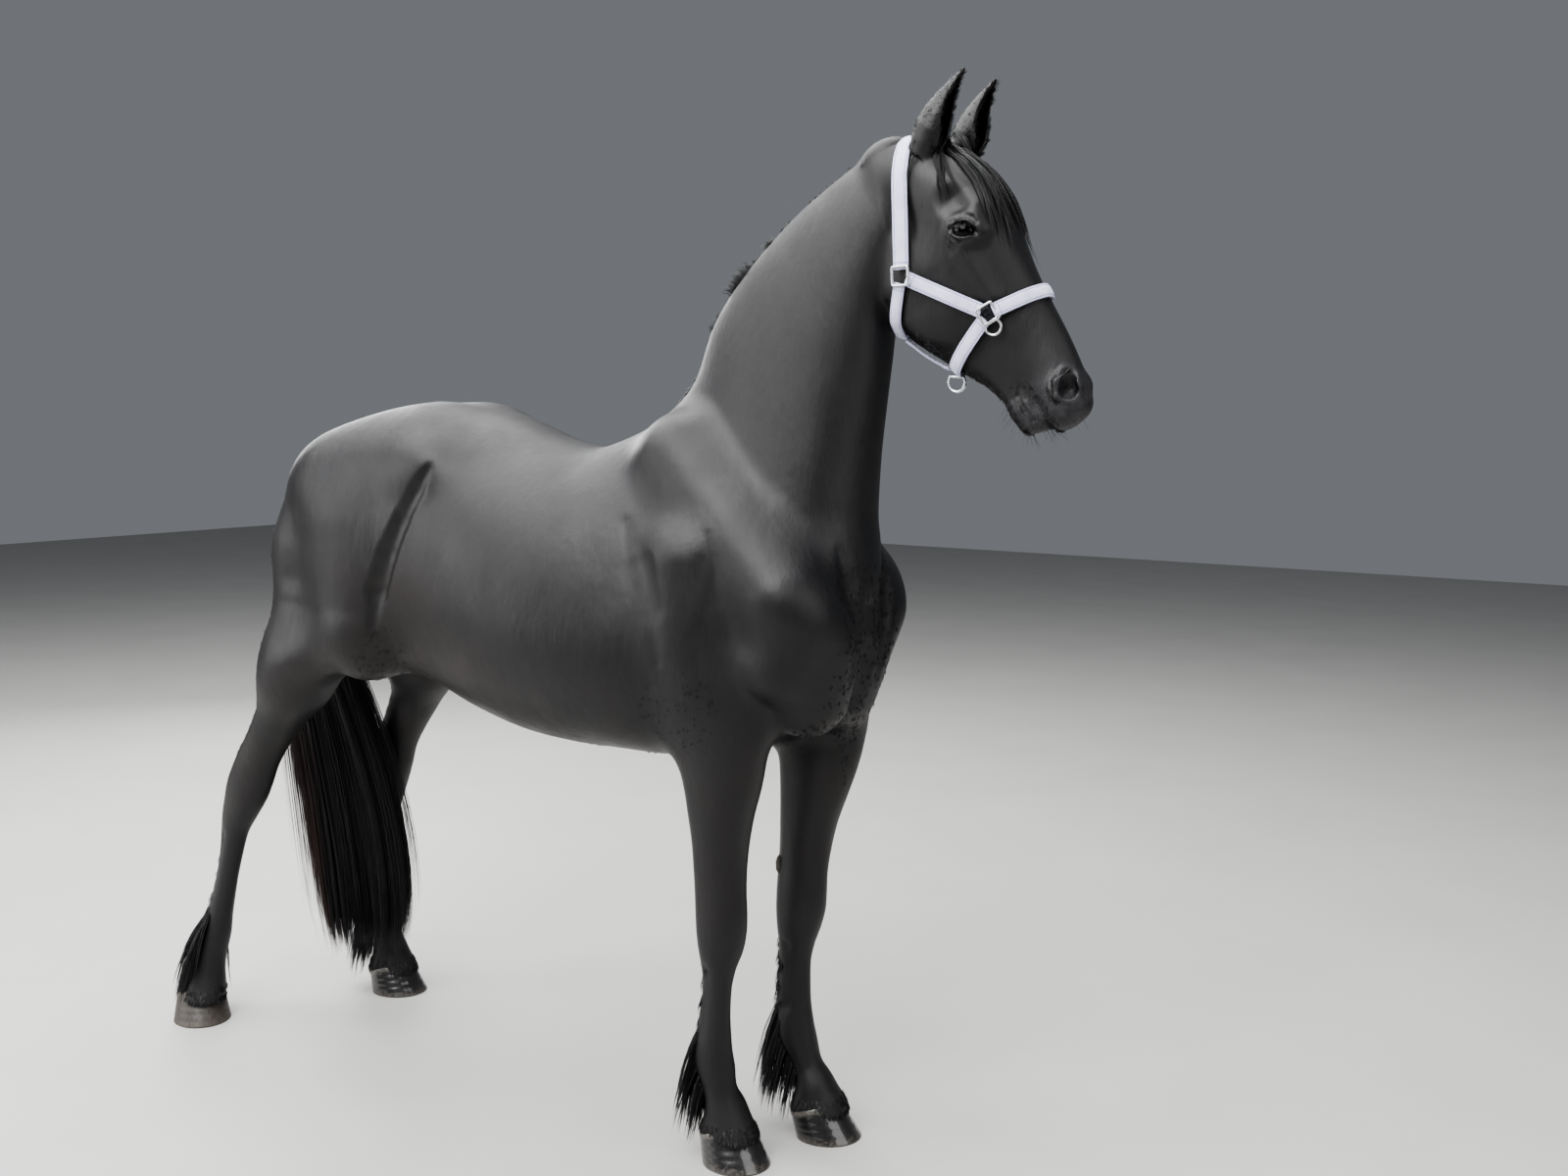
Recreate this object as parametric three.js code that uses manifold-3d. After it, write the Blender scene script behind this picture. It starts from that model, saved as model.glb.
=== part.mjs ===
// A friesian horse standing with its head raised, life size, as a museum shows a still model.
// Millimetres. +X points to the head, +Y to the horse's left, +Z up, and the hooves stand on z = 0.
// The flesh is one smooth solid, given as a field of distances: sections set along the trunk, neck, head and
// legs, with muscles laid over them and soft blends between. It is parted at flat cuts into its nodes. Mane,
// forelock, feather and tail are flat, tapered locks, fused to the nodes that they grow from.
import * as THREE from "three";
import { mergeVertices } from "three/addons/utils/BufferGeometryUtils.js";
import Module from "manifold-3d";

const wasm = await Module();
wasm.setup();

// Driving dimensions

const GAP = 0.3; // between neighbouring nodes
const RIGHT = -1;
const LEFT = 1;
const SIDES = [
  { name: "right", side: RIGHT },
  { name: "left", side: LEFT },
];

// Sections of the trunk from rump to breast: x, top, bottom, half width, and how much wider it is above.
const TRUNK = [
  [-1092, 1486, 1035, 182, 0.0],
  [-1000, 1558, 985, 236, 0.02],
  [-850, 1598, 962, 264, 0.02],
  [-710, 1604, 932, 272, -0.02],
  [-580, 1579, 890, 282, -0.06],
  [-440, 1530, 861, 300, -0.08],
  [-310, 1512, 851, 306, -0.1],
  [-190, 1532, 852, 292, -0.2],
  [-70, 1572, 853, 262, -0.32],
  [50, 1535, 868, 236, -0.22],
  [145, 1450, 900, 210, -0.14],
  [225, 1350, 965, 172, -0.05],
];
const TRUNK_ENDS = [88, 106]; // how far the rump and the breast round off past their last sections

// Sections of the neck from its base to the poll: upper x and z, lower x and z, half width, upper widening.
const NECK = [
  [-230, 1500, 300, 1080, 190, -0.2],
  [-130, 1578, 348, 1240, 160, -0.3],
  [-66, 1668, 352, 1380, 134, -0.34],
  [-18, 1775, 362, 1500, 116, -0.32],
  [62, 1880, 374, 1600, 103, -0.28],
  [171, 1988, 384, 1690, 94, -0.22],
  [280, 2068, 392, 1768, 87, -0.14],
  [360, 2116, 420, 1850, 82, -0.06],
];
const NECK_ENDS = [90, 40];

// The head hangs from the poll at HEAD_SLOPE under the horizon. Its places are given as a distance down the
// face from the poll, a distance towards the forehead from that line, and a distance to the left.
const POLL = { x: 400, z: 2120 };
const HEAD_SLOPE = THREE.MathUtils.degToRad(59);
const HEAD_TURN = THREE.MathUtils.degToRad(4.5); // the head looks a little to the horse's left
const TURN_AT = { x: 300, z: 1500 }; // the upright axis of that turn, and the height where it starts
const TURN_REACH = 330; // along the neck
const NECK_RISE = THREE.MathUtils.degToRad(59);

// Face from the poll to the upper lip: distance, forehead side, throat side, half width, upper widening.
const FACE = [
  [12, 22, -78, 66, 0.0],
  [55, 66, -80, 79, 0.04],
  [115, 112, -70, 91, 0.06],
  [180, 132, -58, 97, 0.06],
  [245, 131, -50, 95, 0.0],
  [310, 123, -48, 84, -0.08],
  [370, 117, -44, 72, -0.14],
  [430, 115, -34, 61, -0.18],
  [490, 114, -26, 52, -0.18],
  [545, 110, -16, 48, -0.12],
  [590, 103, -2, 49, -0.05],
  [618, 90, 4, 46, 0.0],
];
const FACE_ENDS = [34, 30];

// Lower jaw from the ear to the chin: distance, face side, jaw edge, half width, upper widening.
const JAW = [
  [120, 30, -98, 56, 0.1],
  [180, 30, -138, 68, 0.2],
  [240, 30, -170, 74, 0.24],
  [290, 30, -182, 72, 0.26],
  [345, 25, -164, 66, 0.24],
  [400, 20, -136, 58, 0.2],
  [460, 15, -102, 47, 0.16],
  [515, 10, -72, 40, 0.1],
  [570, 0, -58, 35, 0.0],
  [610, -6, -56, 34, 0.0],
];
const JAW_ENDS = [40, 22];

const EYE = { down: 242, fore: 55, side: 87, radius: 23 };
const MOUTH = [
  // from the corner of the mouth to the middle of the lips
  [560, -14, 47],
  [584, -11, 45],
  [608, -6, 40],
  [628, 0, 30],
  [640, 4, 14],
  [642, 5, 0],
];

// Leg sections: height, centre x, centre y, half depth, half width, turn outwards in degrees.
const FORELEG = {
  right: [
    [60, 104, -104, 57, 56, 14],
    [95, 94, -105, 50, 50, 14],
    [130, 82, -107, 41, 42, 14],
    [165, 70, -109, 39, 38, 14],
    [205, 60, -111, 47, 42, 14],
    [240, 56, -112, 46, 39, 14],
    [285, 59, -113, 41, 33, 14],
    [330, 62, -114, 38, 29, 14],
    [385, 67, -115, 37, 28, 13],
    [425, 71, -116, 41, 36, 11],
    [465, 76, -117, 51, 47, 8],
    [505, 78, -118, 57, 51, 5],
    [545, 78, -119, 59, 51, 3],
    [590, 77, -121, 59, 49, 0],
    [640, 77, -123, 60, 52, 0],
    [700, 80, -127, 64, 58, 0],
    [760, 84, -132, 73, 66, 0],
    [820, 90, -137, 86, 73, 0],
    [880, 90, -142, 100, 80, 0],
    [950, 86, -146, 116, 84, 0],
    [1020, 78, -148, 110, 74, 0],
    [1090, 70, -140, 84, 60, 0],
  ],
  left: [
    [60, 198, 120, 57, 56, 10],
    [95, 187, 119, 50, 50, 10],
    [130, 169, 117, 41, 42, 10],
    [165, 150, 115, 39, 38, 10],
    [205, 132, 113, 47, 42, 10],
    [240, 125, 112, 46, 39, 10],
    [285, 121, 113, 42, 33, 10],
    [330, 120, 114, 40, 30, 10],
    [385, 121, 115, 39, 29, 9],
    [425, 124, 117, 43, 37, 8],
    [465, 128, 119, 52, 47, 6],
    [505, 131, 121, 58, 51, 4],
    [545, 132, 122, 59, 51, 2],
    [590, 133, 124, 59, 49, 0],
    [640, 137, 127, 61, 52, 0],
    [700, 143, 130, 67, 59, 0],
    [760, 152, 134, 78, 66, 0],
    [820, 160, 138, 90, 73, 0],
    [880, 162, 142, 102, 80, 0],
    [950, 155, 146, 116, 84, 0],
    [1020, 134, 148, 110, 74, 0],
    [1090, 120, 140, 84, 60, 0],
  ],
};
const HINDLEG = {
  right: [
    [60, -1502, -161, 56, 55, 36],
    [95, -1499, -156, 49, 50, 36],
    [130, -1496, -151, 42, 43, 34],
    [165, -1492, -146, 40, 40, 30],
    [205, -1486, -142, 46, 42, 26],
    [235, -1478, -141, 48, 41, 22],
    [280, -1461, -142, 42, 34, 18],
    [330, -1443, -143, 37, 30, 16],
    [390, -1424, -144, 34, 28, 14],
    [450, -1406, -145, 35, 29, 12],
    [510, -1389, -146, 41, 33, 10],
    [560, -1366, -147, 53, 42, 8],
    [605, -1342, -149, 63, 48, 6],
    [650, -1322, -151, 70, 48, 4],
    [700, -1294, -155, 68, 47, 2],
    [750, -1256, -160, 66, 52, 0],
    [800, -1210, -167, 68, 60, 0],
    [860, -1158, -176, 74, 70, 0],
    [920, -1112, -184, 92, 82, 0],
    [990, -1060, -188, 132, 92, 0],
    [1060, -1015, -182, 148, 84, 0],
    [1130, -985, -170, 110, 64, 0],
  ],
  left: [
    [60, -1240, 270, 56, 55, 8],
    [95, -1250, 268, 49, 50, 8],
    [130, -1262, 265, 42, 43, 8],
    [165, -1272, 262, 40, 40, 8],
    [205, -1278, 259, 46, 42, 8],
    [235, -1276, 257, 48, 41, 8],
    [280, -1268, 254, 42, 34, 8],
    [330, -1262, 250, 37, 30, 8],
    [390, -1255, 246, 34, 28, 8],
    [450, -1248, 242, 35, 29, 7],
    [510, -1242, 238, 41, 33, 6],
    [560, -1234, 234, 53, 42, 4],
    [605, -1224, 230, 63, 48, 2],
    [650, -1211, 227, 70, 48, 0],
    [700, -1190, 223, 68, 47, 0],
    [750, -1156, 218, 66, 52, 0],
    [800, -1120, 212, 68, 60, 0],
    [860, -1080, 205, 76, 70, 0],
    [920, -1044, 198, 98, 82, 0],
    [990, -1012, 192, 138, 92, 0],
    [1060, -985, 184, 150, 84, 0],
    [1130, -960, 172, 110, 64, 0],
  ],
};

// Hooves: centre of the sole, turn outwards in degrees, and the slope of the front wall in degrees.
const HOOVES = {
  front_right: { x: 111, y: -103, side: RIGHT, turn: 14, wall: 50 },
  front_left: { x: 207, y: 121, side: LEFT, turn: 10, wall: 50 },
  hind_right: { x: -1508, y: -166, side: RIGHT, turn: 36, wall: 56 },
  hind_left: { x: -1234, y: 271, side: LEFT, turn: 8, wall: 54 },
};
const HOOF = { halfLength: 77, halfWidth: 71, toeHeight: 84, heelHeight: 52, flare: 0.8 };

// Bulbs of the heel, from the pastern down to the hoof: heights, how far behind the hoof's middle and to its
// sides they lie, and their radii.
const HEEL_BULB = { heights: [112, 64], behind: [28, 50], apart: [10, 23], radii: [24, 27] };

// Up an ear: height, radius, half angle of its leaf in degrees, and thickness.
const EAR_LEAF = [
  [0, 28, 172, 6],
  [0.14, 35, 164, 6],
  [0.3, 38, 146, 5.5],
  [0.46, 34, 124, 5],
  [0.64, 25, 110, 4.5],
  [0.83, 15, 100, 4],
  [1, 4, 92, 2],
];
const EAR_BOW = 10; // how far an ear bends back half way up

// Triangles that the surfaces are thinned out to.
const FINENESS = { trunk: 2530, head: 2230, shank: 280, thigh: 400 };

// The left ear is turned further to the front than the right.
const EARS = {
  [RIGHT]: { root: [56, 38, -58], tip: [-27, 197, -64], facing: [0.94, -0.1, 0.1] },
  [LEFT]: { root: [72, 74, 58], tip: [-19, 211, 64], facing: [0.9, -0.25, 0.1] },
};

// Halter of padded webbing: places on the head's side, down the face from the poll and towards the forehead.
const HALTER = {
  cheekRing: [247, -96], // square ring behind the cheek
  noseRing: [400, 16], // ring and plate in front of the cheek
  overPoll: [0, 40],
  overNose: [408, 130],
  underChin: [448, -120],
  underThroat: [330, -180],
  width: 28,
  crownWidth: 32,
  throatWidth: 24,
  thickness: 5,
  lift: 2.2, // clear of the coat
};

// Flat cuts between the nodes, each a point of the plane and its normal in X and Z.
const CUTS = {
  head: { at: [404, 1950], normal: [1, 0.05] },
  neck: { at: [120, 1440], normal: [0.55, 0.83] },
  foreleg: { at: [0, 842], normal: [0, -1] },
  hindleg: { at: [-800, 898], normal: [-0.217, -0.976] },
  foreknee: { at: [0, 596], normal: [0, -1] },
  hock: { at: [0, 716], normal: [0, -1] },
};

// Colours and finishes
const COAT = { color: 0x17161a, roughness: 0.42, metalness: 0 };
const HAIR = { color: 0x100f12, roughness: 0.55, metalness: 0 };
const HORN = { color: 0x211f20, roughness: 0.3, metalness: 0 };
const EYEBALL = { color: 0x0b0908, roughness: 0.06, metalness: 0 };
const WEBBING = { color: 0xc9cbe0, roughness: 0.85, metalness: 0 };
const STEEL = { color: 0xb9bcc0, roughness: 0.25, metalness: 1 };

// Curves and tables

/** Rows set evenly between those of a table, each column on one smooth curve. */
function smoothRows(rows, steps) {
  const row = (i) => {
    if (i < 0) return rows[0].map((v, c) => 2 * v - rows[1][c]);
    const last = rows.length - 1;
    if (i > last) return rows[last].map((v, c) => 2 * v - rows[last - 1][c]);
    return rows[i];
  };
  const out = [];
  for (let i = 0; i < rows.length - 1; i++) {
    const [a, b, c, d] = [row(i - 1), row(i), row(i + 1), row(i + 2)];
    for (let k = 0; k < steps; k++) {
      const t = k / steps;
      out.push(
        b.map(
          (v, j) =>
            v +
            0.5 * t * (c[j] - a[j]) +
            t * t * (a[j] - 2.5 * v + 2 * c[j] - 0.5 * d[j]) +
            0.5 * t * t * t * (3 * (v - c[j]) + d[j] - a[j]),
        ),
      );
    }
  }
  out.push(rows[rows.length - 1]);
  return out;
}

const mix = THREE.MathUtils.lerp;
const clamp = THREE.MathUtils.clamp;
const vector = (a, b) => b.map((v, i) => v - a[i]);
const unit = (a) => a.map((v) => v / Math.hypot(...a));

/** A point of the head, before it is turned, from its place down the face, towards the forehead, to the left. */
function inHead(down, fore, side = 0) {
  const [c, s] = [Math.cos(HEAD_SLOPE), Math.sin(HEAD_SLOPE)];
  return [POLL.x + c * down + s * fore, side, POLL.z - s * down + c * fore];
}

// Solids as fields of distances
// A shape has the box it fills and, for each x and z, a function that gives the distance at y: negative inside.

/** Sections across the XZ plane, from an upper to a lower point, rounded off at both ends. */
function loft(table, ends, blend, power = 2.2) {
  const rows = smoothRows(table, 6);
  const count = rows.length;
  const section = rows.map(([ax, az, bx, bz, half, egg]) => {
    const length = Math.hypot(bx - ax, bz - az);
    const [dx, dz] = [(ax - bx) / length, (az - bz) / length];
    return { x: (ax + bx) / 2, z: (az + bz) / 2, dx, dz, reach: length / 2, half, egg };
  });
  const [first, last] = [section[0], section[count - 1]];
  const onward = Math.sign((last.x - first.x) * first.dz - (last.z - first.z) * first.dx);
  const ahead = (s, x, z) => onward * ((x - s.x) * s.dz - (z - s.z) * s.dx);
  const xs = rows.flatMap((r) => [r[0], r[2]]);
  const zs = rows.flatMap((r) => [r[1], r[3]]);
  const wide = Math.max(...rows.map((r) => r[4])) * 1.2;
  const past = Math.max(...ends);
  const place = (t, x, z) => {
    const i = Math.min(Math.floor(t), count - 2);
    const [a, b, f] = [section[i], section[i + 1], t - i];
    const [dx, dz] = [mix(a.dx, b.dx, f), mix(a.dz, b.dz, f)];
    const unit = Math.hypot(dx, dz);
    const reach = mix(a.reach, b.reach, f);
    const up = ((x - mix(a.x, b.x, f)) * dx + (z - mix(a.z, b.z, f)) * dz) / (unit * reach);
    const half = mix(a.half, b.half, f) * clamp(1 + mix(a.egg, b.egg, f) * clamp(up, -1.2, 1.2), 0.3, 2);
    return { up: Math.abs(up), reach, half };
  };
  return {
    low: [Math.min(...xs) - past, -wide, Math.min(...zs) - past],
    high: [Math.max(...xs) + past, wide, Math.max(...zs) + past],
    blend,
    column(x, z) {
      let found = null;
      let before = ahead(section[0], x, z);
      const start = before;
      for (let i = 0; i < count - 1; i++) {
        const after = ahead(section[i + 1], x, z);
        if (before >= 0 && after < 0) {
          const p = place(i + before / (before - after), x, z);
          if (!found || p.up < found.up) found = p;
        }
        before = after;
      }
      let over = 0;
      let cap = ends[0];
      if (!found) {
        const atStart = Math.abs(start) <= Math.abs(before);
        cap = atStart ? ends[0] : ends[1];
        over = Math.max(atStart ? -start : before, 0) / cap;
        found = place(atStart ? 0 : count - 1.0001, x, z);
      }
      const { up, reach, half } = found;
      const flat = up ** power + over ** power;
      const steep = (up ** (power - 1) / reach) ** 2 + (over ** (power - 1) / cap) ** 2;
      return (y) => {
        const v = Math.abs(y) / half;
        const g = (flat + v ** power + 1e-9) ** (1 / power);
        const rise = Math.sqrt(steep + (v ** (power - 1) / half) ** 2) * g ** (1 - power);
        return (g - 1) / (rise + 1e-4);
      };
    },
  };
}

/** Level sections up a leg, each an oval turned about the upright. */
function limb(table, side, blend, power = 2.1) {
  const rows = smoothRows(table, 5);
  const [foot, top] = [rows[0][0], rows[rows.length - 1][0]];
  const xs = rows.flatMap((r) => [r[1] - r[3], r[1] + r[3]]);
  const ys = rows.flatMap((r) => [r[2] - r[4], r[2] + r[4]]);
  const END = 30;
  return {
    low: [Math.min(...xs), Math.min(...ys), foot - END],
    high: [Math.max(...xs), Math.max(...ys), top + END],
    blend,
    column(x, z) {
      const h = clamp(z, foot, top);
      let i = 0;
      while (i < rows.length - 2 && rows[i + 1][0] < h) i++;
      const [a, b] = [rows[i], rows[i + 1]];
      const f = (h - a[0]) / (b[0] - a[0]);
      const [, cx, cy, deep, wide, turn] = a.map((v, c) => mix(v, b[c], f));
      const lean = (b[1] - a[1]) / (b[0] - a[0]);
      const angle = THREE.MathUtils.degToRad(turn) * side;
      const [c, s] = [Math.cos(angle), Math.sin(angle)];
      const over = Math.abs(z - h) / END;
      return (y) => {
        const u = Math.abs((x - cx) * c + (y - cy) * s) / deep;
        const v = Math.abs((y - cy) * c - (x - cx) * s) / wide;
        const g = (u ** power + v ** power + over ** power + 1e-9) ** (1 / power);
        const steep =
          (u ** (power - 1) / deep) ** 2 * (1 + lean * lean) +
          (v ** (power - 1) / wide) ** 2 +
          (over ** (power - 1) / END) ** 2;
        return (g - 1) / (Math.sqrt(steep) * g ** (1 - power) + 1e-4);
      };
    },
  };
}

/** A muscle or bone from one round end to the other, squashed sideways, added or carved out. */
function muscle(a, b, ra, rb, { blend = 30, flat = 1, carve = false } = {}) {
  const span = [b[0] - a[0], b[1] - a[1], b[2] - a[2]];
  const square = span[0] ** 2 + span[1] ** 2 + span[2] ** 2 + 1e-6;
  return {
    low: [0, 1, 2].map((i) => Math.min(a[i] - ra, b[i] - rb)),
    high: [0, 1, 2].map((i) => Math.max(a[i] + ra, b[i] + rb)),
    blend,
    carve,
    column(x, z) {
      const along = (x - a[0]) * span[0] + (z - a[2]) * span[2];
      return (y) => {
        const h = clamp((along + (y - a[1]) * span[1]) / square, 0, 1);
        const dx = x - a[0] - h * span[0];
        const dy = (y - a[1] - h * span[1]) / flat;
        const dz = z - a[2] - h * span[2];
        const m = Math.sqrt(dx * dx + dy * dy + dz * dz) + 1e-6;
        const rise = Math.sqrt(dx * dx + dz * dz + (dy / flat) ** 2) / m;
        return (m - mix(ra, rb, h)) / Math.max(rise, 0.3);
      };
    },
  };
}

/** The same muscle on both sides. */
function pair(a, b, ra, rb, options) {
  return [RIGHT, LEFT].map((s) => muscle([a[0], s * a[1], a[2]], [b[0], s * b[1], b[2]], ra, rb, options));
}

/** A pair of muscles placed in the head. */
function headPair(a, b, ra, rb, options) {
  return pair(inHead(...a), inHead(...b), ra, rb, options);
}

/** Loft rows of the head from distances down the face. */
function headRows(table) {
  return table.map(([down, fore, back, half, egg]) => {
    const [a, b] = [inHead(down, fore), inHead(down, back)];
    return [a[0], a[2], b[0], b[2], half, egg];
  });
}

const REACH = 130; // how far round its box a shape is worked out, so that it can blend
const FAR = 1000;

/** Distances on a grid of points in a box. */
function fieldOver(shapes, low, high, step) {
  const n = low.map((v, i) => Math.ceil((high[i] - v) / step) + 1);
  const d = new Float32Array(n[0] * n[1] * n[2]).fill(FAR);
  for (const shape of shapes) {
    const from = low.map((v, i) => Math.max(0, Math.floor((shape.low[i] - REACH - v) / step)));
    const to = low.map((v, i) => Math.min(n[i] - 1, Math.ceil((shape.high[i] + REACH - v) / step)));
    if (from.some((v, i) => v > to[i])) continue;
    const k = shape.blend;
    for (let ix = from[0]; ix <= to[0]; ix++) {
      for (let iz = from[2]; iz <= to[2]; iz++) {
        const across = shape.column(low[0] + ix * step, low[2] + iz * step);
        const base = (ix * n[2] + iz) * n[1];
        for (let iy = from[1]; iy <= to[1]; iy++) {
          const old = d[base + iy];
          const now = across(low[1] + iy * step);
          const h = Math.max(k - Math.abs(shape.carve ? old + now : old - now), 0) / k;
          const round = 0.25 * h * h * k;
          d[base + iy] = shape.carve ? Math.max(old, -now) + round : Math.min(old, now) - round;
        }
      }
    }
  }
  closeAtWalls(d, n, step);
  return { low, step, n, d };
}

/** Sets the outermost points of a grid outside, so that what runs out of its box is closed there. */
function closeAtWalls(d, [nx, ny, nz], step) {
  for (let x = 0; x < nx; x++)
    for (let z = 0; z < nz; z++)
      for (let y = 0; y < ny; y++) {
        const wall = x === 0 || y === 0 || z === 0 || x === nx - 1 || y === ny - 1 || z === nz - 1;
        const i = (x * nz + z) * ny + y;
        if (wall && d[i] < step / 2) d[i] = step / 2;
      }
}

const corners = [0, 1, 2, 3, 4, 5, 6, 7].map((c) => [c & 1, (c >> 1) & 1, (c >> 2) & 1]);

/** Whether the surface through a grid cell would touch itself, for a pattern of its corners' sides. */
function touchesItself(pattern) {
  const inside = (c) => (pattern >> c) & 1;
  for (const [u, v] of [
    [1, 2],
    [2, 4],
    [1, 4],
  ])
    for (let c = 0; c < 8; c++) {
      if (c & (u | v)) continue;
      const crossed = inside(c) === inside(c | u | v) && inside(c | u) === inside(c | v);
      if (crossed && inside(c) !== inside(c | u)) return true;
    }
  for (const kind of [0, 1]) {
    const all = corners.map((_, c) => c).filter((c) => inside(c) === kind);
    const met = new Set(all.slice(0, 1));
    for (const c of met) for (const bit of [1, 2, 4]) if (inside(c ^ bit) === kind) met.add(c ^ bit);
    if (met.size !== all.length) return true;
  }
  return false;
}
const SELF_TOUCHING = Array.from({ length: 256 }, (_, pattern) => touchesItself(pattern));

/** Opens the cells in which the surface would touch itself, at their corner nearest to the outside. */
function partTouching({ step, n: [nx, ny, nz], d }) {
  const MOST_PASSES = 12;
  const offset = corners.map(([i, j, k]) => (i * nz + k) * ny + j);
  for (let pass = 0, found = 1; found && pass < MOST_PASSES; pass++) {
    found = 0;
    for (let x = 0; x < nx - 1; x++)
      for (let z = 0; z < nz - 1; z++)
        for (let y = 0; y < ny - 1; y++) {
          const i = (x * nz + z) * ny + y;
          let pattern = 0;
          for (let c = 0; c < 8; c++) if (d[i + offset[c]] < 0) pattern |= 1 << c;
          if (!SELF_TOUCHING[pattern]) continue;
          found++;
          const within = offset.filter((o) => d[i + o] < 0);
          const nearest = within.reduce((a, b) => (d[i + b] > d[i + a] ? b : a));
          d[i + nearest] = step / 20;
        }
  }
}

/** The closed surface at distance zero: one point in each grid cell that it crosses. */
function surfaceOf(field) {
  partTouching(field);
  const { low, step, n, d } = field;
  const [nx, ny, nz] = n;
  const at = (x, y, z) => (x * nz + z) * ny + y;
  const cell = new Int32Array(nx * ny * nz).fill(-1);
  const points = [];
  const edges = [];
  for (let a = 0; a < 8; a++) for (let b = 1; b < 8; b <<= 1) if (!(a & b)) edges.push([a, a | b]);
  for (let x = 0; x < nx - 1; x++)
    for (let z = 0; z < nz - 1; z++)
      for (let y = 0; y < ny - 1; y++) {
        const v = corners.map(([i, j, k]) => d[at(x + i, y + j, z + k)]);
        const inside = v.filter((q) => q < 0).length;
        if (inside === 0 || inside === 8) continue;
        const sum = [0, 0, 0];
        let crossed = 0;
        for (const [a, b] of edges) {
          if (v[a] < 0 === v[b] < 0) continue;
          const t = v[a] / (v[a] - v[b]);
          crossed++;
          for (let i = 0; i < 3; i++) sum[i] += mix(corners[a][i], corners[b][i], t);
        }
        cell[at(x, y, z)] = points.length;
        points.push([x, y, z].map((q, i) => low[i] + step * (q + sum[i] / crossed)));
      }
  const faces = [];
  const quad = (a, b, c, e) => {
    const far = (p, q) => Math.hypot(...points[p].map((s, i) => s - points[q][i]));
    if (far(a, c) < far(b, e)) faces.push([a, b, c], [a, c, e]);
    else faces.push([a, b, e], [b, c, e]);
  };
  for (let x = 0; x < nx - 1; x++)
    for (let z = 0; z < nz - 1; z++)
      for (let y = 0; y < ny - 1; y++) {
        const here = d[at(x, y, z)] < 0;
        if (y && z && here !== d[at(x + 1, y, z)] < 0) {
          const q = [cell[at(x, y - 1, z - 1)], cell[at(x, y, z - 1)], cell[at(x, y, z)], cell[at(x, y - 1, z)]];
          quad(...(here ? q : q.reverse()));
        }
        if (x && z && here !== d[at(x, y + 1, z)] < 0) {
          const q = [cell[at(x - 1, y, z - 1)], cell[at(x - 1, y, z)], cell[at(x, y, z)], cell[at(x, y, z - 1)]];
          quad(...(here ? q : q.reverse()));
        }
        if (x && y && here !== d[at(x, y, z + 1)] < 0) {
          const q = [cell[at(x - 1, y - 1, z)], cell[at(x, y - 1, z)], cell[at(x, y, z)], cell[at(x - 1, y, z)]];
          quad(...(here ? q : q.reverse()));
        }
      }
  return { points, faces };
}

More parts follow.
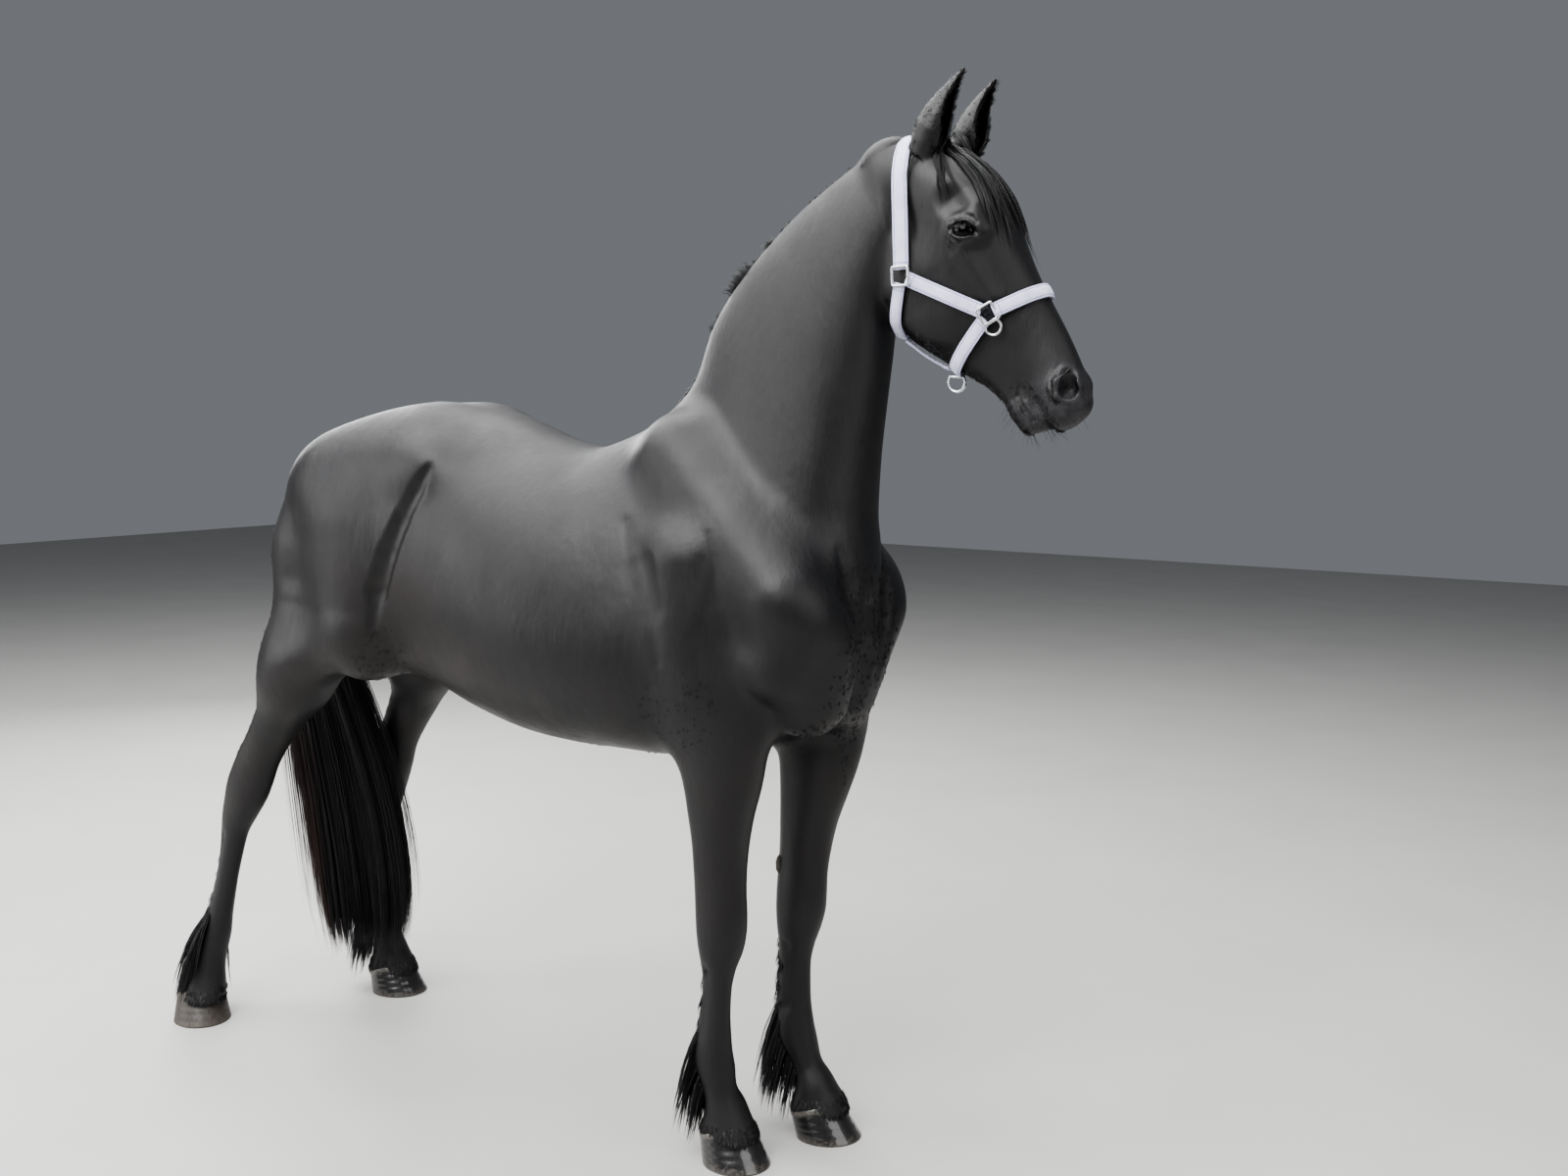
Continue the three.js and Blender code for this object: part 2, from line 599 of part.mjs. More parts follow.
/** Merges edges of a closed surface, those that change its shape least first, down to a number of faces. */
function coarser({ points, faces }, goal) {
  const p = points.map((q) => [...q]);
  const f = faces.map((t) => [...t]);
  const around = p.map(() => new Set());
  const error = p.map(() => new Float64Array(10));
  const cross = (a, b, c) => {
    const [ux, uy, uz] = [b[0] - a[0], b[1] - a[1], b[2] - a[2]];
    const [vx, vy, vz] = [c[0] - a[0], c[1] - a[1], c[2] - a[2]];
    return [uy * vz - uz * vy, uz * vx - ux * vz, ux * vy - uy * vx];
  };
  f.forEach((t, i) => {
    const n = cross(...t.map((v) => p[v]));
    const size = Math.hypot(...n) + 1e-12;
    const [a, b, c] = n.map((v) => v / size);
    const e = -(a * p[t[0]][0] + b * p[t[0]][1] + c * p[t[0]][2]);
    const q = [a * a, a * b, a * c, a * e, b * b, b * c, b * e, c * c, c * e, e * e];
    for (const v of t) {
      around[v].add(i);
      for (let k = 0; k < 10; k++) error[v][k] += q[k] * size;
    }
  });
  const off = (q, [x, y, z]) =>
    q[0] * x * x + q[4] * y * y + q[7] * z * z + q[9] +
    2 * (q[1] * x * y + q[2] * x * z + q[5] * y * z + q[3] * x + q[6] * y + q[8] * z);
  const best = (q, a, b) => {
    const [m00, m01, m02, m11, m12, m22] = [q[0], q[1], q[2], q[4], q[5], q[7]];
    const det =
      m00 * (m11 * m22 - m12 * m12) - m01 * (m01 * m22 - m12 * m02) + m02 * (m01 * m12 - m11 * m02);
    const middle = a.map((v, i) => (v + b[i]) / 2);
    if (Math.abs(det) > 1e-4 * (m00 + m11 + m22) ** 3) {
      const r = [-q[3], -q[6], -q[8]];
      const solved = [
        (r[0] * (m11 * m22 - m12 * m12) - m01 * (r[1] * m22 - m12 * r[2]) + m02 * (r[1] * m12 - m11 * r[2])) / det,
        (m00 * (r[1] * m22 - r[2] * m12) - r[0] * (m01 * m22 - m12 * m02) + m02 * (m01 * r[2] - r[1] * m02)) / det,
        (m00 * (m11 * r[2] - m12 * r[1]) - m01 * (m01 * r[2] - r[1] * m02) + r[0] * (m01 * m12 - m11 * m02)) / det,
      ];
      const length = Math.hypot(...a.map((v, i) => v - b[i]));
      if (Math.hypot(...solved.map((v, i) => v - middle[i])) < length) return solved;
    }
    return middle;
  };
  const stamp = new Int32Array(p.length);
  const heap = [];
  const push = (item) => {
    let i = heap.push(item) - 1;
    while (i > 0) {
      const up = (i - 1) >> 1;
      if (heap[up].cost <= item.cost) break;
      heap[i] = heap[up];
      i = up;
    }
    heap[i] = item;
  };
  const pop = () => {
    const top = heap[0];
    const item = heap.pop();
    let i = 0;
    while (heap.length) {
      let down = 2 * i + 1;
      if (down >= heap.length) break;
      if (down + 1 < heap.length && heap[down + 1].cost < heap[down].cost) down++;
      if (heap[down].cost >= item.cost) break;
      heap[i] = heap[down];
      i = down;
    }
    if (heap.length) heap[i] = item;
    return top;
  };
  const EVEN = 0.003; // keeps the faces alike in size
  const offer = (a, b) => {
    const q = error[a].map((v, k) => v + error[b][k]);
    const to = best(q, p[a], p[b]);
    const long = (p[a][0] - p[b][0]) ** 2 + (p[a][1] - p[b][1]) ** 2 + (p[a][2] - p[b][2]) ** 2;
    push({ a, b, to, cost: Math.abs(off(q, to)) + EVEN * long * long, mark: stamp[a] + stamp[b] });
  };
  const beside = (v) => {
    const out = new Set();
    for (const i of around[v]) for (const w of f[i]) if (w !== v) out.add(w);
    return out;
  };
  const folds = (v, other, to) => {
    for (const i of around[v]) {
      if (f[i].includes(other)) continue;
      const old = cross(...f[i].map((w) => p[w]));
      const now = cross(...f[i].map((w) => (w === v ? to : p[w])));
      const [lo, ln] = [Math.hypot(...old), Math.hypot(...now)];
      if (old[0] * now[0] + old[1] * now[1] + old[2] * now[2] < 0.3 * lo * ln) return true;
      const t = f[i].map((w) => (w === v ? to : p[w]));
      const side = Math.max(...t.map((q, k) => Math.hypot(...q.map((s, j) => s - t[(k + 1) % 3][j]))));
      if (ln < 0.12 * side * side) return true;
    }
    return false;
  };
  for (let v = 0; v < p.length; v++) for (const w of beside(v)) if (v < w) offer(v, w);
  let count = f.length;
  while (count > goal && heap.length) {
    const { a, b, to, mark } = pop();
    if (!around[a] || !around[b] || stamp[a] + stamp[b] !== mark) continue;
    const [na, nb] = [beside(a), beside(b)];
    if (!na.has(b)) continue;
    let shared = 0;
    for (const v of na) if (nb.has(v)) shared++;
    if (shared !== 2 || folds(a, b, to) || folds(b, a, to)) continue;
    p[a] = to;
    for (let k = 0; k < 10; k++) error[a][k] += error[b][k];
    for (const i of around[b]) {
      if (f[i].includes(a)) {
        for (const v of f[i]) if (v !== b) around[v].delete(i);
        f[i] = null;
        count--;
      } else {
        f[i] = f[i].map((v) => (v === b ? a : v));
        around[a].add(i);
      }
    }
    around[b] = null;
    const near = beside(a);
    stamp[a]++;
    for (const v of near) offer(a, v);
  }
  const kept = new Map();
  const left = f.filter(Boolean).map((t) => t.map((v) => kept.get(v) ?? kept.set(v, kept.size).get(v)));
  return { points: [...kept.keys()].map((v) => p[v]), faces: left };
}

// Closed meshes and solids

/** A solid for joining and cutting from points and faces that close. */
function solidOf({ points, faces }) {
  const made = new wasm.Manifold(
    new wasm.Mesh({
      numProp: 3,
      vertProperties: new Float32Array(points.flat()),
      triVerts: new Uint32Array(faces.flat()),
    }),
  );
  return made;
}

/** Points and faces of a solid. */
function meshOf(solid) {
  const { vertProperties, triVerts, numProp } = solid.getMesh();
  const points = [];
  for (let i = 0; i < vertProperties.length; i += numProp) points.push([...vertProperties.slice(i, i + 3)]);
  const faces = [];
  for (let i = 0; i < triVerts.length; i += 3) faces.push([...triVerts.slice(i, i + 3)]);
  return { points, faces };
}

/** Points and faces of a three.js geometry, with its seams merged. */
function meshOfGeometry(geometry, matrix = new THREE.Matrix4()) {
  const bare = geometry.clone().applyMatrix4(matrix);
  bare.deleteAttribute("normal");
  bare.deleteAttribute("uv");
  const merged = mergeVertices(bare, 1e-4);
  const at = merged.attributes.position;
  const points = [];
  for (let i = 0; i < at.count; i++) points.push([at.getX(i), at.getY(i), at.getZ(i)]);
  const faces = [];
  for (let i = 0; i < merged.index.count; i += 3) faces.push([0, 1, 2].map((k) => merged.index.getX(i + k)));
  const whole = faces.filter(([a, b, c]) => a !== b && b !== c && c !== a);
  return { points, faces: whole };
}

/** The largest closed surface of a solid. */
function largest(solid) {
  const bodies = solid.decompose();
  return bodies.reduce((a, b) => (b.volume() > a.volume() ? b : a));
}

/** Several solids fused into one. */
function fused(solids) {
  return largest(solids.reduce((a, b) => a.add(b)));
}

/** The part of a solid on the far side of a cut in X and Z, or on the near side, half a gap clear of it. */
function parted(solid, { at, normal }, beyond) {
  const n = Math.hypot(...normal);
  const [a, c] = normal.map((v) => (beyond ? v : -v) / n);
  return solid.trimByPlane([a, 0, c], a * at[0] + c * at[1] + GAP / 2);
}

/** A solid whose surface is moved outwards a little, to cut room for it in its neighbours. */
function swollen(solid, by = GAP) {
  const { points, faces } = meshOf(solid);
  const push = points.map(() => new THREE.Vector3());
  for (const t of faces) {
    const [a, b, c] = t.map((v) => new THREE.Vector3(...points[v]));
    const n = b.clone().sub(a).cross(c.clone().sub(a)).normalize();
    t.forEach((v, k) => {
      const [p, q, r] = [a, b, c, a, b].slice(k, k + 3);
      const angle = q.clone().sub(p).angleTo(r.clone().sub(p));
      push[v].addScaledVector(n, angle);
    });
  }
  return solidOf({ points: points.map((q, i) => push[i].setLength(by).toArray().map((s, k) => s + q[k])), faces });
}

/** The head's turn to the left: it grows along the neck and is the same all over the head. */
function turned([x, y, z]) {
  const along = (x - TURN_AT.x + 200) * Math.cos(NECK_RISE) + (z - TURN_AT.z) * Math.sin(NECK_RISE);
  const angle = HEAD_TURN * THREE.MathUtils.smoothstep(along, 0, TURN_REACH);
  const [c, s] = [Math.cos(angle), Math.sin(angle)];
  return [TURN_AT.x + (x - TURN_AT.x) * c - y * s, (x - TURN_AT.x) * s + y * c, z];
}

const group = new THREE.Group();

/** Adds a node of the given name and finish. */
function addNode(name, solid, finish) {
  const { points, faces } = meshOf(largest(solid));
  const geometry = new THREE.BufferGeometry();
  geometry.setAttribute("position", new THREE.Float32BufferAttribute(points.map(turned).flat(), 3));
  geometry.setIndex(faces.flat());
  geometry.computeVertexNormals();
  const mesh = new THREE.Mesh(geometry, new THREE.MeshStandardMaterial(finish));
  mesh.name = name;
  group.add(mesh);
}

// Flesh

const trunkRows = TRUNK.map(([x, top, bottom, half, egg]) => [x, top, x, bottom, half, egg]);

const BODY = [
  loft(trunkRows, TRUNK_ENDS, 40, 2.3),
  loft(NECK, NECK_ENDS, 90, 2.05),
  // hip bones, croup and the muscles down to the thighs
  ...pair([-655, 196, 1466], [-690, 190, 1450], 48, 48, { blend: 80 }),
  ...pair([-730, 105, 1470], [-985, 122, 1414], 122, 126, { blend: 60 }),
  ...pair([-1050, 96, 1388], [-1078, 110, 1262], 112, 108, { blend: 60 }),
  muscle([-1086, -122, 1250], [-1116, -172, 940], 100, 78, { blend: 70 }),
  muscle([-1086, 122, 1250], [-1056, 182, 950], 100, 82, { blend: 70 }),
  ...pair([-900, 132, 1300], [-884, 176, 1100], 136, 110, { blend: 80 }),
  ...pair([-868, 192, 1040], [-868, 192, 1040], 70, 70, { blend: 80 }),
  // shoulder blade, upper arm, the point of the shoulder and the breast
  ...pair([-40, 105, 1500], [240, 158, 1230], 88, 92, { blend: 60 }),
  ...pair([30, 172, 1290], [60, 168, 1060], 92, 92, { blend: 50 }),
  ...pair([276, 142, 1176], [232, 156, 1090], 76, 76, { blend: 55 }),
  ...pair([276, 70, 1130], [250, 66, 1010], 84, 78, { blend: 50 }),
];

/** The two bulbs of the heel over a hoof. */
function heelBulbs({ x, y, side, turn }) {
  const angle = THREE.MathUtils.degToRad(turn) * side;
  const [c, s] = [Math.cos(angle), Math.sin(angle)];
  const [upper, lower] = [0, 1].map((i) => (out) => {
    const [u, v] = [-HEEL_BULB.behind[i], out * HEEL_BULB.apart[i]];
    return [x + u * c - v * s, y + u * s + v * c, HEEL_BULB.heights[i]];
  });
  return [RIGHT, LEFT].map((out) => muscle(upper(out), lower(out), ...HEEL_BULB.radii, { blend: 30 }));
}

const FORELEGS = SIDES.flatMap(({ name, side }) => [
  limb(FORELEG[name], side, 60),
  ...heelBulbs(HOOVES[`front_${name}`]),
]);
const HINDLEGS = SIDES.flatMap(({ name, side }) => [
  limb(HINDLEG[name], side, 60),
  ...heelBulbs(HOOVES[`hind_${name}`]),
]);

const eyeAt = (side) => inHead(EYE.down, EYE.fore, side * EYE.side);

/** Shapes of the lips: a thin groove between the lips and the mouth's corners. */
function mouthGroove() {
  const line = [...MOUTH.map(([a, b, c]) => inHead(a, b, c))];
  const left = line.slice(1).map((p, i) => [line[i], p]);
  return left.flatMap(([a, b]) =>
    [RIGHT, LEFT].map((s) =>
      muscle([a[0], s * a[1], a[2]], [b[0], s * b[1], b[2]], 4.5, 4.5, { blend: 5, carve: true }),
    ),
  );
}

const SKULL = [
  loft(headRows(FACE), FACE_ENDS, 36, 2.4),
  loft(headRows(JAW), JAW_ENDS, 30, 2.2),
  // cheeks
  ...headPair([262, -62, 50], [318, -66, 48], 92, 84, { blend: 26, flat: 0.36 }),
  // ridge of the cheek bone
  ...headPair([275, 34, 82], [372, 36, 66], 15, 12, { blend: 22 }),
  // brow, the hollow above it, and the ball of the lids
  ...headPair([216, 80, 80], [252, 83, 78], 26, 22, { blend: 26 }),
  ...headPair([180, 66, 106], [196, 70, 104], 20, 14, { blend: 26, carve: true }),
  ...headPair([EYE.down, EYE.fore, EYE.side - 3], [EYE.down, EYE.fore, EYE.side - 3], 29, 29, { blend: 22 }),
  // lips, nostril flare and chin
  ...headPair([590, 70, 32], [616, 50, 22], 31, 33, { blend: 20 }),
  muscle(inHead(620, 28, 0), inHead(612, 50, 0), 36, 34, { blend: 24 }),
  ...headPair([602, -22, 12], [582, -28, 14], 23, 25, { blend: 20 }),
  ...headPair([582, 56, 46], [602, 62, 44], 15, 14, { blend: 14 }),
];
const HEAD_HOLLOWS = [
  // opening between the lids
  ...headPair([EYE.down - 9, EYE.fore - 8, EYE.side + 25], [EYE.down + 10, EYE.fore + 9, EYE.side + 24], 14, 12.5, {
    blend: 4,
    carve: true,
  }),
  // nostrils
  ...headPair([570, 84, 52], [600, 66, 52], 8, 14, { blend: 8, carve: true }),
  ...headPair([574, 86, 42], [596, 74, 40], 8, 13, { blend: 8, carve: true }),
  ...mouthGroove(),
];

/** The mesh of part of the flesh in a box, worked out on a grid of the given step. */
function flesh(shapes, low, high, step, goal) {
  return solidOf(coarser(surfaceOf(fieldOver(shapes, low, high, step)), goal));
}

/** The distance of one point from the surface of some shapes. */
function distanceAt(shapes, [x, y, z]) {
  let d = FAR;
  for (const shape of shapes) {
    const out = [x, y, z].some((v, i) => v < shape.low[i] - REACH || v > shape.high[i] + REACH);
    if (out) continue;
    const now = shape.column(x, z)(y);
    const k = shape.blend;
    const h = Math.max(k - Math.abs(shape.carve ? d + now : d - now), 0) / k;
    d = shape.carve ? Math.max(d, -now) + 0.25 * h * h * k : Math.min(d, now) - 0.25 * h * h * k;
  }
  return d;
}

/** How far from an inner point, along a direction, the outermost surface lies. */
function reachOut(shapes, from, way, most) {
  const at = (t) => distanceAt(shapes, from.map((v, i) => v + t * way[i]));
  const STRIDE = 5;
  let t = most;
  while (t > 0 && at(t) > 0) t -= STRIDE;
  let [inner, outer] = [Math.max(t, 0), t + STRIDE];
  for (let i = 0; i < 8; i++) {
    const middle = (inner + outer) / 2;
    if (at(middle) > 0) outer = middle;
    else inner = middle;
  }
  return outer;
}

// Hair: flat, tapered locks, fused to the node that they grow from

/** A run of numbers between 0 and 1 that is the same each time. */
function draws(seed) {
  let state = seed;
  return (low = 0, high = 1) => {
    state = (state + 0x6d2b79f5) | 0;
    let t = Math.imul(state ^ (state >>> 15), 1 | state);
    t = (t + Math.imul(t ^ (t >>> 7), 61 | t)) ^ t;
    return mix(low, high, ((t ^ (t >>> 14)) >>> 0) / 4294967296);
  };
}

const LOCK_TAPER = 0.55; // where along a lock it starts to narrow

/** A lock along a line of points, flat inside and ridged outwards, from its cut root to its pointed tip. */
function lock(line, outwards, half, deep) {
  const last = line.length - 1;
  const points = [];
  const faces = [];
  for (let i = 0; i < last; i++) {
    const along = new THREE.Vector3(...vector(line[Math.max(i - 1, 0)], line[i + 1])).normalize();
    const out = new THREE.Vector3(...(typeof outwards[0] === "number" ? outwards : outwards[i]));
    out.addScaledVector(along, -out.dot(along)).normalize();
    const across = along.clone().cross(out);
    const t = i / last;
    const full = i === 0 ? 0.7 : 1 - 0.7 * clamp((t - LOCK_TAPER) / (1 - LOCK_TAPER), 0, 1);
    const middle = new THREE.Vector3(...line[i]);
    for (const [u, v] of [
      [1, 0],
      [0, 1],
      [-1, 0],
    ])
      points.push(middle.clone().addScaledVector(across, u * half * full).addScaledVector(out, v * deep * full).toArray());
  }
  points.push(line[last]);
  for (let i = 0; i < last; i++)
    for (let k = 0; k < 3; k++) {
      const [a, b] = [3 * i + k, 3 * i + ((k + 1) % 3)];
      if (i < last - 1) faces.push([a, b, b + 3], [a, b + 3, a + 3]);
      else faces.push([a, b, 3 * last]);
    }
  faces.push([0, 2, 1]);
  return solidOf(outward({ points, faces }));
}

const FUSED_SLACK = 0.6; // how far a fused surface may move where its slivers are merged

/** A node's solid with its locks fused on. */
function withLocks(solid, locks) {
  return largest(wasm.Manifold.union([solid, ...locks])).simplify(FUSED_SLACK);
}

const crestAt = (t) => {
  const rows = smoothRows(NECK, 8);
  const f = t * (rows.length - 1);
  const i = Math.min(Math.floor(f), rows.length - 2);
  return [mix(rows[i][0], rows[i + 1][0], f - i), 0, mix(rows[i][1], rows[i + 1][1], f - i)];
};

// The mane falls on the left; short wisps stand along the crest and lean back over its right side.
const MANE = { from: 0.2, to: 0.92, locks: 14, length: 285, half: 33, deep: 10, lift: 5, layer: 14 };
const SHORT_NEAR_WITHERS = 0.5; // share of the mane's length there
const WISPS = { from: 0.32, to: 0.93, locks: 8, reach: 0.1, half: 15, deep: 8 };

function maneLocks() {
  const draw = draws(11);
  const out = [];
  for (let k = 0; k < MANE.locks; k++) {
    const t = mix(MANE.from, MANE.to, k / (MANE.locks - 1));
    const [x, , z] = crestAt(t);
    const grown = mix(SHORT_NEAR_WITHERS, 1, THREE.MathUtils.smoothstep(t, MANE.from, 0.5));
    const length = MANE.length * grown * draw(0.85, 1.12);
    const drift = draw(10, 40);
    const lift = MANE.lift + (k % 2) * MANE.layer;
    const line = [
      [x - 4, 0, z - 18],
      [x - 2, 24, z - 3 + (k % 2) * 7],
    ];
    for (const s of [0.2, 0.45, 0.72, 1]) {
      const at = [x + s * drift, 0, z - s * length];
      const side = reachOut(BODY, at, [0, 1, 0], 260);
      line.push([at[0], side + lift * (s === 1 ? 0.6 : 1), at[2]]);
    }
    const ways = [[0, 0.2, 1], [0, 0.6, 1], ...Array(4).fill([0, 1, 0.2])];
    out.push(lock(line, ways, MANE.half * draw(0.85, 1.1), MANE.deep));
  }
  for (let k = 0; k < WISPS.locks; k++) {
    const t = mix(WISPS.from, WISPS.to, k / (WISPS.locks - 1));
    const line = [
      [0, 2, -8],
      [0.25, -8, -draw(2, 4)],
      [0.62, -13, draw(-1, 4)],
      [1, -draw(18, 28), -draw(2, 9)],
    ].map(([back, side, above]) => {
      const [x, , z] = crestAt(t - back * WISPS.reach);
      return [x, side, z + above];
    });
    out.push(lock(line, [-0.4, -0.3, 1], WISPS.half, WISPS.deep));
  }
  return out;
}

// The forelock comes out between the ears and falls down the forehead, fanning out a little.
const FORELOCK = { locks: 8, root: 58, rootHalf: 20, spread: 42, length: [180, 280], half: 15, deep: 7 };
const foreWay = [Math.sin(HEAD_SLOPE), 0, Math.cos(HEAD_SLOPE)];

function forelockLocks() {
  const draw = draws(5);
  const out = [];
  for (let k = 0; k < FORELOCK.locks; k++) {
    const across = mix(-1, 1, k / (FORELOCK.locks - 1));
    const length = mix(FORELOCK.length[1], FORELOCK.length[0], Math.abs(across)) * draw(0.85, 1.05);
    const lift = 6 + (k % 2) * 8;
    const line = [0, 0.12, 0.36, 0.62, 0.84, 1].map((s, i) => {
      const down = FORELOCK.root + s * length;
      const side = mix(across * FORELOCK.rootHalf, across * FORELOCK.spread - 4, s) + (i > 1 ? draw(-3, 3) : 0);
      const fore = reachOut(SKULL, inHead(down, 0, side), foreWay, 220);
      return inHead(down, fore + [-14, 5, lift, lift, lift, lift * 0.7][i], side);
    });
    out.push(lock(line, [foreWay[0], across * 0.5, foreWay[2]], FORELOCK.half * draw(0.85, 1.15), FORELOCK.deep));
  }
  return out;
}

// The feather: tiers of locks round the back of each fetlock, hanging over the heel.
const FEATHER = {
  fore: { tiers: [276, 212], each: 3, length: 126, reach: 46, half: 22, deep: 9 },
  hind: { tiers: [296, 224], each: 3, length: 142, reach: 70, half: 23, deep: 10 },
};
const FEATHER_LIE = { right_hind: 0.6 }; // how far round a tuft lies from straight back, in radians
const FEATHER_SPREAD = THREE.MathUtils.degToRad(58); // to each side of straight back
const TIP_HEIGHT = 52; // the lowest a tip hangs above the floor

function featherLocks(rows, side, { tiers, each, length, reach, half, deep }, lie, seed) {
  const draw = draws(seed);
  const table = smoothRows(rows, 5);
  const at = (z) => table.reduce((a, b) => (Math.abs(b[0] - z) < Math.abs(a[0] - z) ? b : a));
  const out = [];
  tiers.forEach((top, tier) => {
    const count = each + (tier % 2);
    for (let k = 0; k < count; k++) {
      const angle = FEATHER_SPREAD * (count > 1 ? mix(-1, 1, k / (count - 1)) : 0) + draw(-0.1, 0.1) + lie;
      const z = top + draw(-8, 8);
      const [, cx, cy, halfDeep, halfWide, turn] = at(z);
      const turnAngle = THREE.MathUtils.degToRad(turn) * side + Math.PI + angle;
      const way = [Math.cos(turnAngle), Math.sin(turnAngle)];
      const skin = 1 / Math.hypot(Math.cos(angle) / halfDeep, Math.sin(angle) / halfWide);
      const long = Math.min(length * draw(0.85, 1.15), z - TIP_HEIGHT);
      const far = reach * draw(0.75, 1.1) * (1 - 0.25 * Math.abs(angle - lie));
      const line = [
        [-12, 8],
        [12, -0.22 * long],
        [0.72 * far, -0.6 * long],
        [far, -long],
      ].map(([more, drop]) => [cx + way[0] * (skin + more), cy + way[1] * (skin + more), z + drop]);
      out.push(lock(line, [way[0], way[1], 0.4], half * draw(0.85, 1.1), deep));
    }
  });
  return out;
}

const TAIL = [
  // centre x, y, z and half width of the tail, from the dock to the tips
  [-1150, 0, 1440, 34],
  [-1222, 0, 1432, 36],
  [-1272, 2, 1385, 42],
  [-1296, 6, 1300, 52],
  [-1302, 14, 1180, 62],
  [-1296, 34, 1020, 78],
  [-1272, 64, 850, 100],
  [-1244, 98, 650, 122],
  [-1224, 124, 450, 132],
  [-1216, 134, 290, 128],
  [-1214, 138, 186, 108],
];
const TAIL_WAY = [0.855, 0.518]; // the tail is broadest along this way
const TAIL_FLATNESS = 0.44;

/** The tail's sections on the way down: middle, ways across and deep, and half width and depth. */
const tailSections = smoothRows(TAIL, 2).map(([x, y, z, half], i, rows) => {
  const flat = mix(0.9, TAIL_FLATNESS, clamp(i / 8, 0, 1));
  const [bx, by, bz] = rows[Math.min(i + 1, rows.length - 1)];
  const [ax, ay, az] = rows[Math.max(i - 1, 0)];
  const down = new THREE.Vector3(bx - ax, by - ay, bz - az).normalize();
  const turnIn = clamp(i / 6, 0, 1);
  const wide = new THREE.Vector3(TAIL_WAY[0] * turnIn, mix(1, TAIL_WAY[1], turnIn), 0).normalize();
  const deep = down.clone().cross(wide).normalize();
  return { middle: new THREE.Vector3(x, y, z), across: deep.clone().cross(down), deep, half, flat: half * flat };
});

/** A point of the tail at a place down its sections, an angle round it and a share of its half width. */
function inTail(place, angle, share) {
  const i = Math.min(Math.floor(place), tailSections.length - 2);
  const point = (s) =>
    s.middle
      .clone()
      .addScaledVector(s.across, s.half * share * Math.cos(angle))
      .addScaledVector(s.deep, s.flat * share * Math.sin(angle));
  return point(tailSections[i]).lerp(point(tailSections[i + 1]), place - i);
}

// Shares of the tail's half width that its core fills, down to where only loose hair goes on.
const TAIL_CORE = [1, 1, 1, 1, 1, 0.96, 0.9, 0.84, 0.8, 0.76, 0.72, 0.66, 0.5, 0.2];

/** The core of the tail as a closed tube of ovals. */
function tailCore() {
  const AROUND = 10;
  const points = [];
  const faces = [];
  TAIL_CORE.forEach((share, i) => {
    for (let k = 0; k < AROUND; k++) points.push(inTail(i, (2 * Math.PI * k) / AROUND, share).toArray());
  });
  const last = TAIL_CORE.length - 1;
  const ring = (i, k) => i * AROUND + (k % AROUND);
  for (let i = 0; i < last; i++)
    for (let k = 0; k < AROUND; k++)
      faces.push([ring(i, k), ring(i + 1, k), ring(i, k + 1)], [ring(i, k + 1), ring(i + 1, k), ring(i + 1, k + 1)]);
  for (let k = 1; k < AROUND - 1; k++) {
    faces.push([0, k, k + 1]);
    faces.push([ring(last, 0), ring(last, k + 1), ring(last, k)]);
  }
  return solidOf(outward({ points, faces }));
}

const TAIL_HAIR = { outer: 13, inner: 4, fringe: 4, half: 34, deep: 14 };

/** Long locks from the core down to the tips, and a loose fringe at the rear edge. */
function tailLocks() {
  const draw = draws(23);
  const end = tailSections.length - 1;
  const out = [];
  const add = (start, stop, angle, shares, half) => {
    const count = shares.length - 1;
    const line = shares.map((share, i) => inTail(mix(start, stop, i / count), angle, share));
    const places = shares.map((_, i) => mix(start, stop, i / count));
    const ways = places.map((place, i) => line[i].clone().sub(inTail(place, angle, share0(shares[i]))).toArray());
    const drop = draw(0, 34);
    const ends = line.map((p) => p.toArray());
    ends[count][2] -= drop;
    out.push(lock(ends, ways, half, TAIL_HAIR.deep));
  };
  const share0 = (share) => share * 0.3;
  for (let k = 0; k < TAIL_HAIR.outer; k++) {
    const angle = (2 * Math.PI * (k + draw(-0.2, 0.2))) / TAIL_HAIR.outer;
    const over = 1 + (k % 2) * 0.1;
    add(4 + draw(0, 4), end - draw(0, 1.4), angle, [0.6, over, over, over, 0.99, 0.9], TAIL_HAIR.half * draw(0.85, 1.1));
  }
  for (let k = 0; k < TAIL_HAIR.inner; k++) {
    const angle = (2 * Math.PI * k) / TAIL_HAIR.inner;
    add(10.5, end - draw(0, 1.2), angle, [0.3, 0.42, 0.5, 0.52, 0.5], TAIL_HAIR.half * draw(0.9, 1.15));
  }
  for (let k = 0; k < TAIL_HAIR.fringe; k++) {
    const angle = Math.PI + draw(-0.7, 0.7);
    const wide = draw(1.12, 1.3);
    add(6 + k * 0.6, end - draw(0, 3), angle, [0.6, 1.02, 1.08, wide, wide * 0.98], 12);
  }
  return out;
}

/** A closed mesh with its faces turned outwards. */
function outward(mesh) {
  const volume = mesh.faces.reduce((sum, t) => {
    const [a, b, c] = t.map((v) => new THREE.Vector3(...mesh.points[v]));
    return sum + a.dot(b.cross(c));
  }, 0);
  if (volume > 0) return mesh;
  return { points: mesh.points, faces: mesh.faces.map(([a, b, c]) => [a, c, b]) };
}

// Body nodes

const ALL_FLESH = [...BODY, ...FORELEGS, ...HINDLEGS, ...SKULL, ...HEAD_HOLLOWS];

